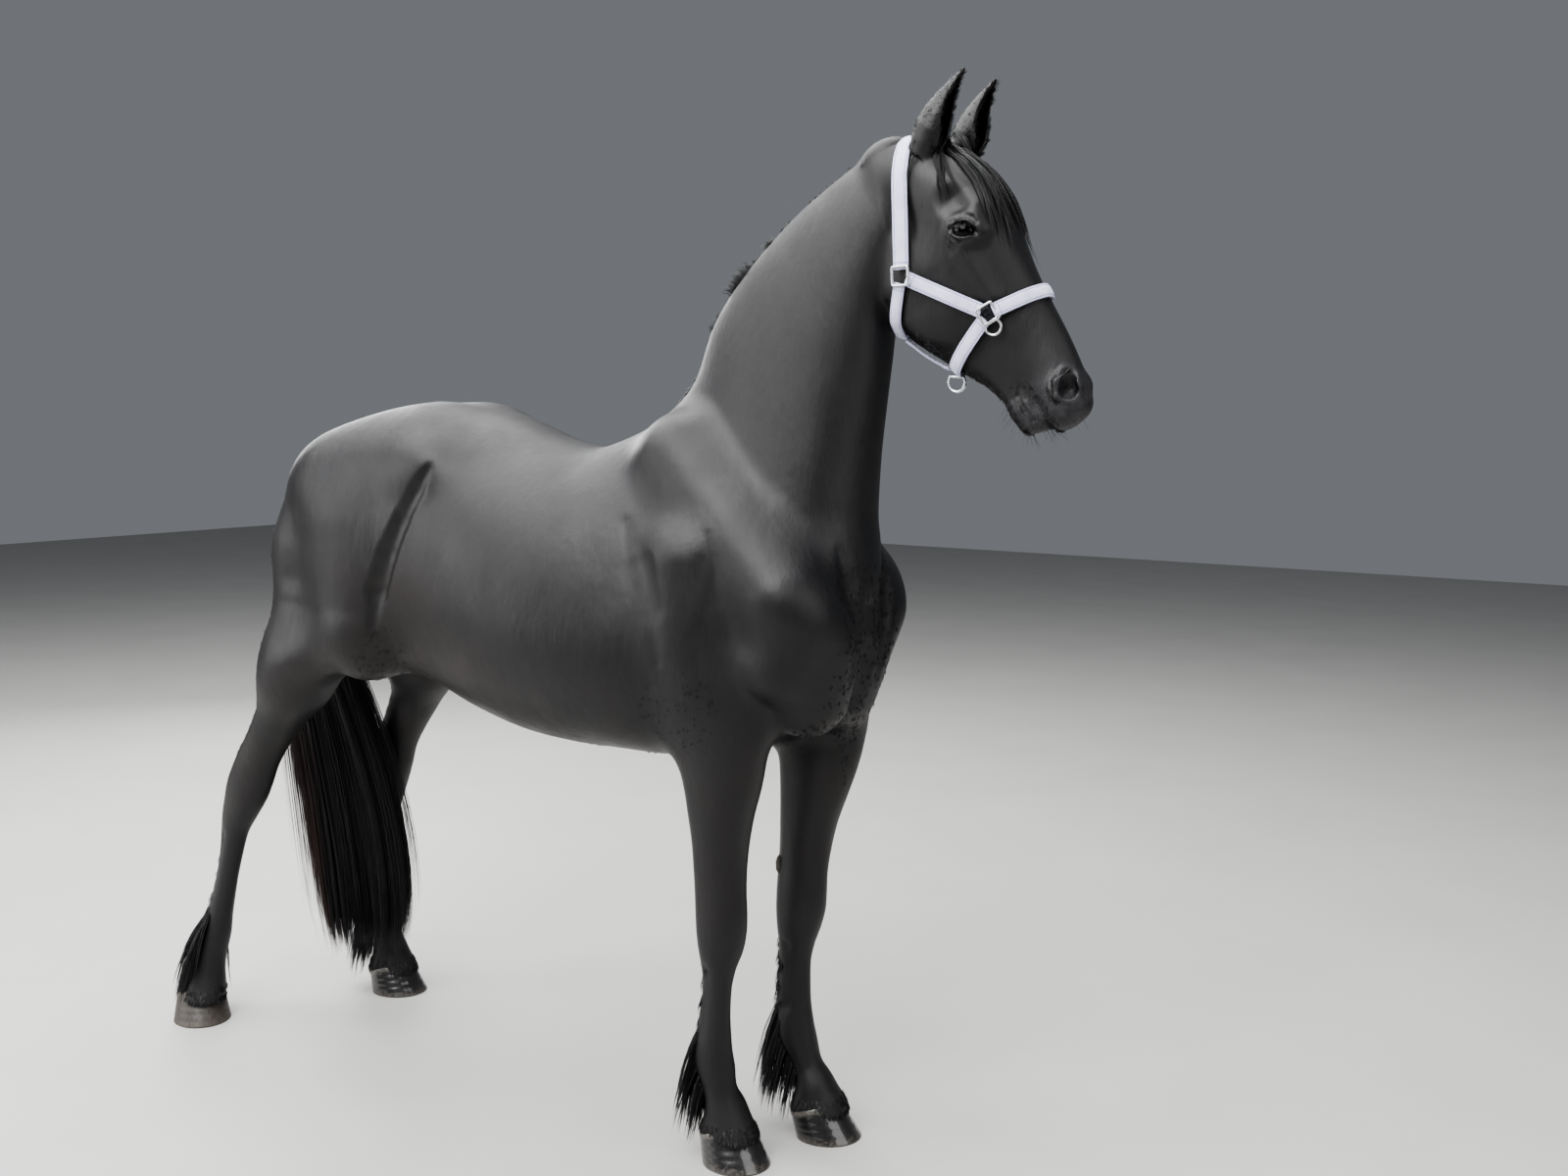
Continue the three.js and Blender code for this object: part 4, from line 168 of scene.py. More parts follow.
# Leg sections: height, centre x, centre y, half depth, half width, turn outwards in degrees.
FORELEG = {
    "right": (
        (0.06, 0.104, -0.104, 0.057, 0.056, 14),
        (0.095, 0.094, -0.105, 0.05, 0.05, 14),
        (0.13, 0.082, -0.107, 0.041, 0.042, 14),
        (0.165, 0.07, -0.109, 0.039, 0.038, 14),
        (0.205, 0.06, -0.111, 0.047, 0.042, 14),
        (0.24, 0.056, -0.112, 0.046, 0.039, 14),
        (0.285, 0.059, -0.113, 0.041, 0.033, 14),
        (0.33, 0.062, -0.114, 0.038, 0.029, 14),
        (0.385, 0.067, -0.115, 0.037, 0.028, 13),
        (0.425, 0.071, -0.116, 0.041, 0.036, 11),
        (0.465, 0.076, -0.117, 0.051, 0.047, 8),
        (0.505, 0.078, -0.118, 0.057, 0.051, 5),
        (0.545, 0.078, -0.119, 0.059, 0.051, 3),
        (0.59, 0.077, -0.121, 0.059, 0.049, 0),
        (0.64, 0.077, -0.123, 0.06, 0.052, 0),
        (0.7, 0.08, -0.127, 0.064, 0.058, 0),
        (0.76, 0.084, -0.132, 0.073, 0.066, 0),
        (0.82, 0.09, -0.137, 0.086, 0.073, 0),
        (0.88, 0.09, -0.142, 0.1, 0.08, 0),
        (0.95, 0.086, -0.146, 0.116, 0.084, 0),
        (1.02, 0.078, -0.148, 0.11, 0.074, 0),
        (1.09, 0.07, -0.14, 0.084, 0.06, 0),
    ),
    "left": (
        (0.06, 0.198, 0.12, 0.057, 0.056, 10),
        (0.095, 0.187, 0.119, 0.05, 0.05, 10),
        (0.13, 0.169, 0.117, 0.041, 0.042, 10),
        (0.165, 0.15, 0.115, 0.039, 0.038, 10),
        (0.205, 0.132, 0.113, 0.047, 0.042, 10),
        (0.24, 0.125, 0.112, 0.046, 0.039, 10),
        (0.285, 0.121, 0.113, 0.042, 0.033, 10),
        (0.33, 0.12, 0.114, 0.04, 0.03, 10),
        (0.385, 0.121, 0.115, 0.039, 0.029, 9),
        (0.425, 0.124, 0.117, 0.043, 0.037, 8),
        (0.465, 0.128, 0.119, 0.052, 0.047, 6),
        (0.505, 0.131, 0.121, 0.058, 0.051, 4),
        (0.545, 0.132, 0.122, 0.059, 0.051, 2),
        (0.59, 0.133, 0.124, 0.059, 0.049, 0),
        (0.64, 0.137, 0.127, 0.061, 0.052, 0),
        (0.7, 0.143, 0.13, 0.067, 0.059, 0),
        (0.76, 0.152, 0.134, 0.078, 0.066, 0),
        (0.82, 0.16, 0.138, 0.09, 0.073, 0),
        (0.88, 0.162, 0.142, 0.102, 0.08, 0),
        (0.95, 0.155, 0.146, 0.116, 0.084, 0),
        (1.02, 0.134, 0.148, 0.11, 0.074, 0),
        (1.09, 0.12, 0.14, 0.084, 0.06, 0),
    ),
}
HINDLEG = {
    "right": (
        (0.06, -1.502, -0.161, 0.056, 0.055, 36),
        (0.095, -1.499, -0.156, 0.049, 0.05, 36),
        (0.13, -1.496, -0.151, 0.042, 0.043, 34),
        (0.165, -1.492, -0.146, 0.04, 0.04, 30),
        (0.205, -1.486, -0.142, 0.046, 0.042, 26),
        (0.235, -1.478, -0.141, 0.048, 0.041, 22),
        (0.28, -1.461, -0.142, 0.042, 0.034, 18),
        (0.33, -1.443, -0.143, 0.037, 0.03, 16),
        (0.39, -1.424, -0.144, 0.034, 0.028, 14),
        (0.45, -1.406, -0.145, 0.035, 0.029, 12),
        (0.51, -1.389, -0.146, 0.041, 0.033, 10),
        (0.56, -1.366, -0.147, 0.053, 0.042, 8),
        (0.605, -1.342, -0.149, 0.063, 0.048, 6),
        (0.65, -1.322, -0.151, 0.07, 0.048, 4),
        (0.7, -1.294, -0.155, 0.068, 0.047, 2),
        (0.75, -1.256, -0.16, 0.066, 0.052, 0),
        (0.8, -1.21, -0.167, 0.068, 0.06, 0),
        (0.86, -1.158, -0.176, 0.074, 0.07, 0),
        (0.92, -1.112, -0.184, 0.092, 0.082, 0),
        (0.99, -1.06, -0.188, 0.132, 0.092, 0),
        (1.06, -1.015, -0.182, 0.148, 0.084, 0),
        (1.13, -0.985, -0.17, 0.11, 0.064, 0),
    ),
    "left": (
        (0.06, -1.24, 0.27, 0.056, 0.055, 8),
        (0.095, -1.25, 0.268, 0.049, 0.05, 8),
        (0.13, -1.262, 0.265, 0.042, 0.043, 8),
        (0.165, -1.272, 0.262, 0.04, 0.04, 8),
        (0.205, -1.278, 0.259, 0.046, 0.042, 8),
        (0.235, -1.276, 0.257, 0.048, 0.041, 8),
        (0.28, -1.268, 0.254, 0.042, 0.034, 8),
        (0.33, -1.262, 0.25, 0.037, 0.03, 8),
        (0.39, -1.255, 0.246, 0.034, 0.028, 8),
        (0.45, -1.248, 0.242, 0.035, 0.029, 7),
        (0.51, -1.242, 0.238, 0.041, 0.033, 6),
        (0.56, -1.234, 0.234, 0.053, 0.042, 4),
        (0.605, -1.224, 0.23, 0.063, 0.048, 2),
        (0.65, -1.211, 0.227, 0.07, 0.048, 0),
        (0.7, -1.19, 0.223, 0.068, 0.047, 0),
        (0.75, -1.156, 0.218, 0.066, 0.052, 0),
        (0.8, -1.12, 0.212, 0.068, 0.06, 0),
        (0.86, -1.08, 0.205, 0.076, 0.07, 0),
        (0.92, -1.044, 0.198, 0.098, 0.082, 0),
        (0.99, -1.012, 0.192, 0.138, 0.092, 0),
        (1.06, -0.985, 0.184, 0.15, 0.084, 0),
        (1.13, -0.96, 0.172, 0.11, 0.064, 0),
    ),
}

# Height along an ear, its radius, half angle of its leaf in degrees, and its thickness.
EAR_LEAF = (
    (0.0, 0.028, 172, 0.0100),
    (0.14, 0.035, 164, 0.0100),
    (0.3, 0.038, 146, 0.0095),
    (0.46, 0.034, 124, 0.0090),
    (0.64, 0.025, 110, 0.0085),
    (0.83, 0.015, 100, 0.0080),
    (1.0, 0.0055, 92, 0.0070),
)

# Tail from the dock to the tips: centre x, y, z and half width.
TAIL = (
    (-1.15, 0.0, 1.44, 0.034),
    (-1.222, 0.0, 1.432, 0.036),
    (-1.272, 0.002, 1.385, 0.042),
    (-1.296, 0.006, 1.3, 0.052),
    (-1.302, 0.014, 1.18, 0.062),
    (-1.296, 0.034, 1.02, 0.078),
    (-1.272, 0.064, 0.85, 0.1),
    (-1.244, 0.098, 0.65, 0.122),
    (-1.224, 0.124, 0.45, 0.132),
    (-1.216, 0.134, 0.29, 0.128),
    (-1.214, 0.138, 0.186, 0.108),
)
TAIL_WAY = (0.855, 0.518)
TAIL_FLATNESS = 0.44


def smooth_rows(rows: Sequence[Row], steps: int) -> Array:
    """Sets rows evenly between those of a table, each column on one smooth curve.

    Args:
        rows: The table's rows.
        steps: How many rows take the place of each one.

    Returns:
        The rows of the finer table.
    """
    table = np.asarray(rows, float)
    padded = np.vstack([2 * table[0] - table[1], table, 2 * table[-1] - table[-2]])
    before, here, after, beyond = padded[:-3], padded[1:-2], padded[2:-1], padded[3:]
    t = (np.arange(steps) / steps)[None, :, None]
    a, b, c, d = (v[:, None, :] for v in (before, here, after, beyond))
    curve = (
        b
        + 0.5 * t * (c - a)
        + t**2 * (a - 2.5 * b + 2 * c - 0.5 * d)
        + 0.5 * t**3 * (3 * (b - c) + d - a)
    )
    return np.vstack([curve.reshape(-1, table.shape[1]), table[-1]])


def unit(vectors: Array) -> Array:
    """Scales vectors in the last axis to a length of one."""
    vectors = np.asarray(vectors, float)
    return vectors / (np.linalg.norm(vectors, axis=-1, keepdims=True) + 1e-12)


def mix(a: float | Array, b: float | Array, t: float | Array) -> float | Array:
    """Goes from a to b as t goes from 0 to 1."""
    return a + (b - a) * t


def smooth_step(x: float | Array, low: float, high: float) -> Array:
    """Rises smoothly from 0 at low to 1 at high."""
    t = np.clip((np.asarray(x, float) - low) / (high - low), 0, 1)
    return t * t * (3 - 2 * t)


def in_head(down: float | Array, fore: float | Array, side: float | Array = 0.0) -> Array:
    """Finds a place of the head before it is turned.

    Args:
        down: Distance down the face from the poll.
        fore: Distance towards the forehead.
        side: Distance to the left.

    Returns:
        The point, or the points in the last axis.
    """
    c, s = math.cos(HEAD_SLOPE), math.sin(HEAD_SLOPE)
    down, fore, side = np.broadcast_arrays(np.asarray(down, float), fore, side)
    return np.stack([POLL[0] + c * down + s * fore, side, POLL[1] - s * down + c * fore], -1)


DOWN_FACE = in_head(1, 0) - in_head(0, 0)
FORE_FACE = in_head(0, 1) - in_head(0, 0)


def turn_angle(points: Array) -> Array:
    """Gives how far each point is turned with the head, in radians."""
    along = (points[..., 0] - TURN_AT[0] + TURN_BEFORE) * math.cos(NECK_RISE)
    along = along + (points[..., 2] - TURN_AT[1]) * math.sin(NECK_RISE)
    return HEAD_TURN * smooth_step(along, 0, TURN_REACH)


def turned(points: Array) -> Array:
    """Turns points with the head: the turn grows along the neck."""
    angle = turn_angle(points)
    c, s = np.cos(angle), np.sin(angle)
    x, y = points[..., 0] - TURN_AT[0], points[..., 1]
    return np.stack([TURN_AT[0] + x * c - y * s, x * s + y * c, points[..., 2]], -1)


def frame_offset() -> Array:
    """Gives the way from the tables' origin to the frame's, by the left eye."""
    low, high = (np.array(corner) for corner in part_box("eye_left"))
    return (low + high) / 2 - turned(in_head(EYE_DOWN, EYE_FORE, EYE_SIDE))


OFFSET = frame_offset()


def settle(points: Array) -> Array:
    """Brings points of the tables into the frame, turned with the head."""
    return turned(points) + OFFSET


# Fields of distances


class Shape(Protocol):
    """A solid as a field of distances, negative inside, within a box."""

    low: Array
    high: Array
    blend: float
    carve: bool

    def distance(self, x: Array, y: Array, z: Array) -> Array:
        """Gives the distance at points whose coordinates fit together."""


@dataclass
class Loft:
    """Sections across the XZ plane from an upper to a lower point, rounded off at both ends."""

    rows: Sequence[Row]
    ends: tuple[float, float]
    blend: float
    power: float = 2.2
    carve: bool = False

    def __post_init__(self) -> None:
        rows = smooth_rows(self.rows, 6)
        upper, lower = rows[:, 0:2], rows[:, 2:4]
        length = np.linalg.norm(upper - lower, axis=1)
        self.way = (upper - lower) / length[:, None]
        self.middle = (upper + lower) / 2
        self.reach, self.half, self.egg = length / 2, rows[:, 4], rows[:, 5]
        travel = self.middle[-1] - self.middle[0]
        self.onward = np.sign(travel[0] * self.way[0, 1] - travel[1] * self.way[0, 0])
        wide, past = self.half.max() * 1.2, max(self.ends)
        both = np.vstack([upper, lower])
        self.low = np.array([both[:, 0].min() - past, -wide, both[:, 1].min() - past])
        self.high = np.array([both[:, 0].max() + past, wide, both[:, 1].max() + past])

    def section(self, place: Array, x: Array, z: Array) -> tuple[Array, Array, Array]:
        """Gives how far up its section each point lies, and that section's reach and half width."""
        i = np.clip(place.astype(int), 0, len(self.half) - 2)
        f = place - i
        way = unit(mix(self.way[i], self.way[i + 1], f[:, None]))
        middle = mix(self.middle[i], self.middle[i + 1], f[:, None])
        reach = mix(self.reach[i], self.reach[i + 1], f)
        up = ((x - middle[:, 0]) * way[:, 0] + (z - middle[:, 1]) * way[:, 1]) / reach
        egg = mix(self.egg[i], self.egg[i + 1], f)
        half = mix(self.half[i], self.half[i + 1], f)
        return np.abs(up), reach, half * np.clip(1 + egg * np.clip(up, -1.2, 1.2), 0.3, 2)

    def distance(self, x: Array, y: Array, z: Array) -> Array:
        """Gives the distance at points whose coordinates fit together."""
        x, z = np.broadcast_arrays(x, z)
        shape = x.shape
        x, z = x.ravel(), z.ravel()
        across = (x - self.middle[:, :1]) * self.way[:, 1:] - (z - self.middle[:, 1:]) * self.way[:, :1]
        ahead = self.onward * across
        before, column = np.nonzero((ahead[:-1] >= 0) & (ahead[1:] < 0))
        start, stop = ahead[before, column], ahead[before + 1, column]
        places = before + start / (start - stop)
        order = np.argsort(-self.section(places, x[column], z[column])[0])
        at_start = np.abs(ahead[0]) <= np.abs(ahead[-1])
        place = np.where(at_start, 0, len(self.half) - 1.0001)
        over = np.maximum(np.where(at_start, -ahead[0], ahead[-1]), 0)
        cap = np.where(at_start, *self.ends)
        place[column[order]] = places[order]
        over[column] = 0
        up, reach, half = self.section(place, x, z)
        n = self.power
        over = over / cap
        flat = (up**n + over**n).reshape(shape).astype(np.float32)
        steep = (up ** (n - 1) / reach) ** 2 + (over ** (n - 1) / cap) ** 2
        half = half.reshape(shape).astype(np.float32)
        v = np.abs(y) / half
        g = (flat + v**n + 1e-9) ** (1 / n)
        rise = np.sqrt(steep.reshape(shape).astype(np.float32) + (v ** (n - 1) / half) ** 2) * g ** (1 - n)
        return (g - 1) / (rise + 0.1)


@dataclass
class Limb:
    """Level sections up a leg, each an oval turned about the upright."""

    rows: Sequence[Row]
    side: int
    blend: float
    power: float = 2.1
    end: float = 0.030
    carve: bool = False

    def __post_init__(self) -> None:
        rows = smooth_rows(self.rows, 5)
        self.table = rows
        deep, wide = rows[:, 3], rows[:, 4]
        self.lean = np.gradient(rows[:, 1], rows[:, 0])
        self.low = np.array([(rows[:, 1] - deep).min(), (rows[:, 2] - wide).min(), rows[0, 0] - self.end])
        self.high = np.array([(rows[:, 1] + deep).max(), (rows[:, 2] + wide).max(), rows[-1, 0] + self.end])

    def at(self, z: Array) -> tuple[Array, ...]:
        """Gives centre x, centre y, half depth, half width, turn and lean at heights."""
        columns = [np.interp(z, self.table[:, 0], self.table[:, c]) for c in range(1, 6)]
        turn = np.radians(columns[4]) * self.side
        return (*columns[:4], turn, np.interp(z, self.table[:, 0], self.lean))

    def distance(self, x: Array, y: Array, z: Array) -> Array:
        """Gives the distance at points whose coordinates fit together."""
        h = np.clip(z, self.table[0, 0], self.table[-1, 0])
        cx, cy, deep, wide, turn, lean = (v.astype(np.float32) for v in self.at(h))
        c, s = np.cos(turn), np.sin(turn)
        over = np.abs(z - h) / self.end
        u = np.abs((x - cx) * c + (y - cy) * s) / deep
        v = np.abs((y - cy) * c - (x - cx) * s) / wide
        n = self.power
        g = (u**n + v**n + over**n + 1e-9) ** (1 / n)
        steep = (u ** (n - 1) / deep) ** 2 * (1 + lean**2) + (v ** (n - 1) / wide) ** 2
        steep = steep + (over ** (n - 1) / self.end) ** 2
        return (g - 1) / (np.sqrt(steep) * g ** (1 - n) + 0.1)


@dataclass
class Muscle:
    """A muscle or bone from one round end to the other, squashed sideways, added or carved out."""

    a: Row
    b: Row
    ra: float
    rb: float
    blend: float = 0.030
    flat: float = 1.0
    carve: bool = False

    def __post_init__(self) -> None:
        a, b = np.array(self.a, float), np.array(self.b, float)
        self.low = np.minimum(a - self.ra, b - self.rb)
        self.high = np.maximum(a + self.ra, b + self.rb)

    def distance(self, x: Array, y: Array, z: Array) -> Array:
        """Gives the distance at points whose coordinates fit together."""
        a, span = self.a, np.subtract(self.b, self.a)
        along = (x - a[0]) * span[0] + (y - a[1]) * span[1] + (z - a[2]) * span[2]
        h = np.clip(along / (span @ span + 1e-12), 0, 1)
        dx = x - a[0] - h * span[0]
        dy = (y - a[1] - h * span[1]) / self.flat
        dz = z - a[2] - h * span[2]
        m = np.sqrt(dx * dx + dy * dy + dz * dz) + 1e-9
        rise = np.sqrt(dx * dx + dz * dz + (dy / self.flat) ** 2) / m
        return (m - mix(self.ra, self.rb, h)) / np.maximum(rise, 0.3)


@dataclass
class Ear:
    """A cupped ear: a leaf of skin rolled round an upright that bows back, open to one side."""

    root: Row
    tip: Row
    facing: Row
    blend: float = 0.016
    carve: bool = False
    bow: float = 0.010

    def __post_init__(self) -> None:
        self.base = in_head(*self.root)
        tip = in_head(*self.tip)
        self.length = float(np.linalg.norm(tip - self.base))
        self.up = unit(tip - self.base)
        facing = np.array(self.facing)
        self.open = unit(facing - self.up * (facing @ self.up))
        self.across = np.cross(self.up, self.open)
        self.low = np.minimum(self.base, tip) - 0.05
        self.high = np.maximum(self.base, tip) + 0.05

    def local(self, x: Array, y: Array, z: Array) -> tuple[Array, Array, Array]:
        """Gives points as height along the ear, and distances towards its opening and across it."""
        dx, dy, dz = x - self.base[0], y - self.base[1], z - self.base[2]
        up, out, across = (dx * w[0] + dy * w[1] + dz * w[2] for w in (self.up, self.open, self.across))
        return up / self.length, out, across

    def distance(self, x: Array, y: Array, z: Array) -> Array:
        """Gives the distance at points whose coordinates fit together."""
        h, out, across = self.local(x, y, z)
        level = np.clip(h, 0, 1)
        leaf = np.array(EAR_LEAF)
        radius, half, thick = (np.interp(level, leaf[:, 0], leaf[:, c]) for c in (1, 2, 3))
        half = np.radians(half)
        u = out + self.bow * np.sin(math.pi * level) - 0.3 * radius
        v = across / 0.92
        middle = radius - thick / 2
        angle = np.abs(np.arctan2(v, -u))
        on_leaf = np.abs(np.hypot(u, v) - middle)
        at_edge = np.hypot(u + middle * np.cos(half), np.abs(v) - middle * np.sin(half))
        d = np.where(angle <= half, on_leaf, at_edge) - thick / 2
        over = np.abs(h - level) * self.length
        return np.where(over > 0, np.hypot(np.maximum(d, 0), over), d)


FAR = 1.0
BLEND_ROOM = 0.13


def merged(old: Array, new: Array, shape: Shape) -> Array:
    """Adds a shape to a field, or carves it out, with a soft blend."""
    k = shape.blend
    h = np.maximum(k - np.abs(old + new if shape.carve else old - new), 0) / k
    soft = 0.25 * h * h * k
    return np.maximum(old, -new) + soft if shape.carve else np.minimum(old, new) - soft


def distance_at(shapes: Sequence[Shape], points: Array) -> Array:
    """Gives the distance of points from the surface of some shapes.

    Args:
        shapes: The shapes in the order of their blends.
        points: Points in the last axis.

    Returns:
        One distance for each point.
    """
    flat = points.reshape(-1, 3)
    out = np.full(len(flat), FAR)
    for shape in shapes:
        near = np.all((flat > shape.low - BLEND_ROOM) & (flat < shape.high + BLEND_ROOM), axis=1)
        if near.any():
            x, y, z = flat[near].T
            out[near] = merged(out[near], shape.distance(x, y, z), shape)
    return out.reshape(points.shape[:-1])


@dataclass
class Field:
    """Distances on a grid of points in a box."""

    low: Array
    step: float
    values: Array

    @classmethod
    def of(cls, shapes: Sequence[Shape], low: Row, high: Row, step: float) -> "Field":
        """Works out the shapes' distances on a grid of the given step."""
        low_corner = np.array(low, float)
        count = np.ceil((np.array(high) - low_corner) / step).astype(int) + 1
        axes = [(low_corner[i] + step * np.arange(count[i])).astype(np.float32) for i in range(3)]
        values = np.full(count, FAR, np.float32)
        for shape in shapes:
            first = np.clip(((shape.low - BLEND_ROOM - low_corner) / step).astype(int), 0, count)
            last = np.clip(((shape.high + BLEND_ROOM - low_corner) / step).astype(int) + 2, 0, count)
            if np.any(first >= last):
                continue
            part = tuple(slice(a, b) for a, b in zip(first, last))
            x, y, z = (axis[s] for axis, s in zip(axes, part))
            new = shape.distance(x[:, None, None], y[None, :, None], z[None, None, :])
            values[part] = merged(values[part], new.astype(np.float32), shape)
        return cls(low_corner, step, values)

    def holds(self, points: Array) -> Array:
        """Tells which points lie well inside the grid."""
        place = (points - self.low) / self.step
        return np.all((place > 2) & (place < np.array(self.values.shape) - 3), axis=-1)

    def sample(self, points: Array) -> Array:
        """Reads the distances at points between those of the grid."""
        place = (points - self.low) / self.step
        i = np.clip(place.astype(int), 0, np.array(self.values.shape) - 2)
        f = np.clip(place - i, 0, 1)
        out = np.zeros(points.shape[:-1])
        for corner in range(8):
            bits = np.array([corner & 1, corner >> 1 & 1, corner >> 2 & 1])
            share = np.prod(np.where(bits, f, 1 - f), axis=-1)
            at = i + bits
            out += share * self.values[at[..., 0], at[..., 1], at[..., 2]]
        return out


@dataclass
class Flesh:
    """The horse's whole surface: a coarse field of the body and a fine one of the head."""

    body: Field
    head: Field

    def distance(self, points: Array) -> Array:
        """Gives the distance of points from the skin."""
        out = self.body.sample(points)
        fine = self.head.holds(points)
        if fine.any():
            out[fine] = self.head.sample(points[fine])
        return out

    def gradient(self, points: Array) -> Array:
        """Gives the way straight out of the skin at points."""
        reach = np.where(self.head.holds(points), self.head.step, self.body.step)[..., None]
        out = np.zeros(points.shape)
        for axis in range(3):
            shift = np.zeros(3)
            shift[axis] = 1
            out[..., axis] = self.distance(points + shift * reach) - self.distance(points - shift * reach)
        return unit(out)

    def on_surface(self, points: Array, lift: float | Array = 0.0, rounds: int = 3) -> Array:
        """Moves points straight out or in to the given height over the skin."""
        for _ in range(rounds):
            points = points + (np.asarray(lift) - self.distance(points))[..., None] * self.gradient(points)
        return points


def surface_net(grid: Field) -> tuple[Array, Array]:
    """Finds the surface at distance zero, with one point in each cell that it crosses.

    Args:
        grid: The field.

    Returns:
        The points, and the corners of the four-sided faces.
    """
    d = grid.values
    inside = d < 0
    corners = [(i, j, k) for i in (0, 1) for j in (0, 1) for k in (0, 1)]
    size = np.array(d.shape) - 1
    shifted = [inside[i : i + size[0], j : j + size[1], k : k + size[2]] for i, j, k in corners]
    count = sum(part.astype(np.int8) for part in shifted)
    active = (count > 0) & (count < 8)
    cells = np.argwhere(active)
    number = np.full(active.shape, -1, np.int64)
    number[tuple(cells.T)] = np.arange(len(cells))
    value = {c: d[tuple((cells + c).T)] for c in corners}
    total = np.zeros((len(cells), 3))
    crossings = np.zeros(len(cells))
    for start in corners:
        for axis in range(3):
            if start[axis]:
                continue
            stop = tuple(1 if i == axis else v for i, v in enumerate(start))
            va, vb = value[start], value[stop]
            cut = (va < 0) != (vb < 0)
            t = np.where(cut, va / np.where(cut, va - vb, 1), 0)
            point = np.array(start, float) + t[:, None] * (np.array(stop) - start)
            total += point * cut[:, None]
            crossings += cut
    points = grid.low + (total / crossings[:, None] + cells) * grid.step
    faces = []
    for axis in range(3):
        a = inside[tuple(slice(0, -1) if i == axis else slice(1, -1) for i in range(3))]
        b = inside[tuple(slice(1, None) if i == axis else slice(1, -1) for i in range(3))]
        edge = np.argwhere(a != b) + np.array([0 if i == axis else 1 for i in range(3)])
        first, second = ((1, 2), (2, 0), (0, 1))[axis]
        u, v = np.eye(3, dtype=int)[first], np.eye(3, dtype=int)[second]
        ring = np.stack([number[tuple((edge - w).T)] for w in (u + v, v, 0 * u, u)], 1)
        outside = ~inside[tuple(edge.T)]
        ring[outside] = ring[outside][:, ::-1]
        faces.append(ring)
    return points, np.vstack(faces)


# Meshes


def new_object(name: str, points: Array, faces: Array) -> Piece:
    """Makes a smooth mesh object from points and from faces that all have as many corners.

    Args:
        name: The object's name.
        points: Its points.
        faces: The numbers of each face's corners, outwards by the right hand.

    Returns:
        The object, linked to the scene.
    """
    mesh = bpy.data.meshes.new(name)
    mesh.vertices.add(len(points))
    mesh.vertices.foreach_set("co", np.asarray(points, np.float32).ravel())
    mesh.loops.add(faces.size)
    mesh.loops.foreach_set("vertex_index", faces.astype(np.int32).ravel())
    mesh.polygons.add(len(faces))
    mesh.polygons.foreach_set("loop_start", np.arange(len(faces), dtype=np.int32) * faces.shape[1])
    mesh.polygons.foreach_set("use_smooth", np.ones(len(faces), bool))
    mesh.update(calc_edges=True)
    made = bpy.data.objects.new(name, mesh)
    bpy.context.scene.collection.objects.link(made)
    return made


def points_of(piece: Piece) -> Array:
    """Reads the points of a mesh object."""
    flat = np.zeros(3 * len(piece.data.vertices), np.float32)
    piece.data.vertices.foreach_get("co", flat)
    return flat.reshape(-1, 3).astype(float)


def set_points(piece: Piece, points: Array) -> None:
    """Moves the points of a mesh object."""
    piece.data.vertices.foreach_set("co", np.asarray(points, np.float32).ravel())
    piece.data.update()


def set_mask(piece: Piece, name: str, values: Array) -> None:
    """Stores one number for each point of a mesh object, for its material to read."""
    found = piece.data.attributes.get(name) or piece.data.attributes.new(name, "FLOAT", "POINT")
    found.data.foreach_set("value", np.asarray(values, np.float32))


def set_uv(piece: Piece, name: str, places: Array) -> None:
    """Stores a UV map that gives each point of a mesh object one place."""
    layer = piece.data.uv_layers.get(name) or piece.data.uv_layers.new(name=name)
    corners = np.zeros(len(piece.data.loops), np.int32)
    piece.data.loops.foreach_get("vertex_index", corners)
    layer.data.foreach_set("uv", np.asarray(places, np.float32)[corners].ravel())


def pick(piece: Piece) -> None:
    """Makes one object the only selected and the active one."""
    bpy.ops.object.select_all(action="DESELECT")
    piece.select_set(True)
    bpy.context.view_layer.objects.active = piece


def apply_modifier(piece: Piece, kind: str, **settings: object) -> None:
    """Adds a modifier with these settings and applies it."""
    modifier = piece.modifiers.new(kind.lower(), kind)
    for key, value in settings.items():
        setattr(modifier, key, value)
    pick(piece)
    bpy.ops.object.modifier_apply(modifier=modifier.name)


def joined(pieces: Sequence[Piece], name: str) -> Piece:
    """Joins objects into the first of them and names it."""
    pick(pieces[0])
    for piece in pieces[1:]:
        piece.select_set(True)
    bpy.ops.object.join()
    pieces[0].name = pieces[0].data.name = name
    return pieces[0]


def face_outwards(piece: Piece) -> None:
    """Turns all the faces of a mesh object outwards."""
    pick(piece)
    bpy.ops.object.mode_set(mode="EDIT")
    bpy.ops.mesh.select_all(action="SELECT")
    bpy.ops.mesh.normals_make_consistent(inside=False)
    bpy.ops.object.mode_set(mode="OBJECT")


def unit_ball(name: str, segments: int, rings: int) -> Piece:
    """Adds a smooth ball with a radius of one."""
    bpy.ops.object.select_all(action="DESELECT")
    bpy.ops.mesh.primitive_uv_sphere_add(segments=segments, ring_count=rings, radius=1.0)
    piece = bpy.context.object
    piece.name = piece.data.name = name
    bpy.ops.object.shade_smooth()
    return piece


def stacked(parts: Sequence[tuple[Array, Array]]) -> tuple[Array, Array]:
    """Puts the points and the faces of several meshes together."""
    starts = np.cumsum([0, *(len(points) for points, _ in parts)])
    faces = [quads + start for (_, quads), start in zip(parts, starts)]
    return np.vstack([points for points, _ in parts]), np.vstack(faces)


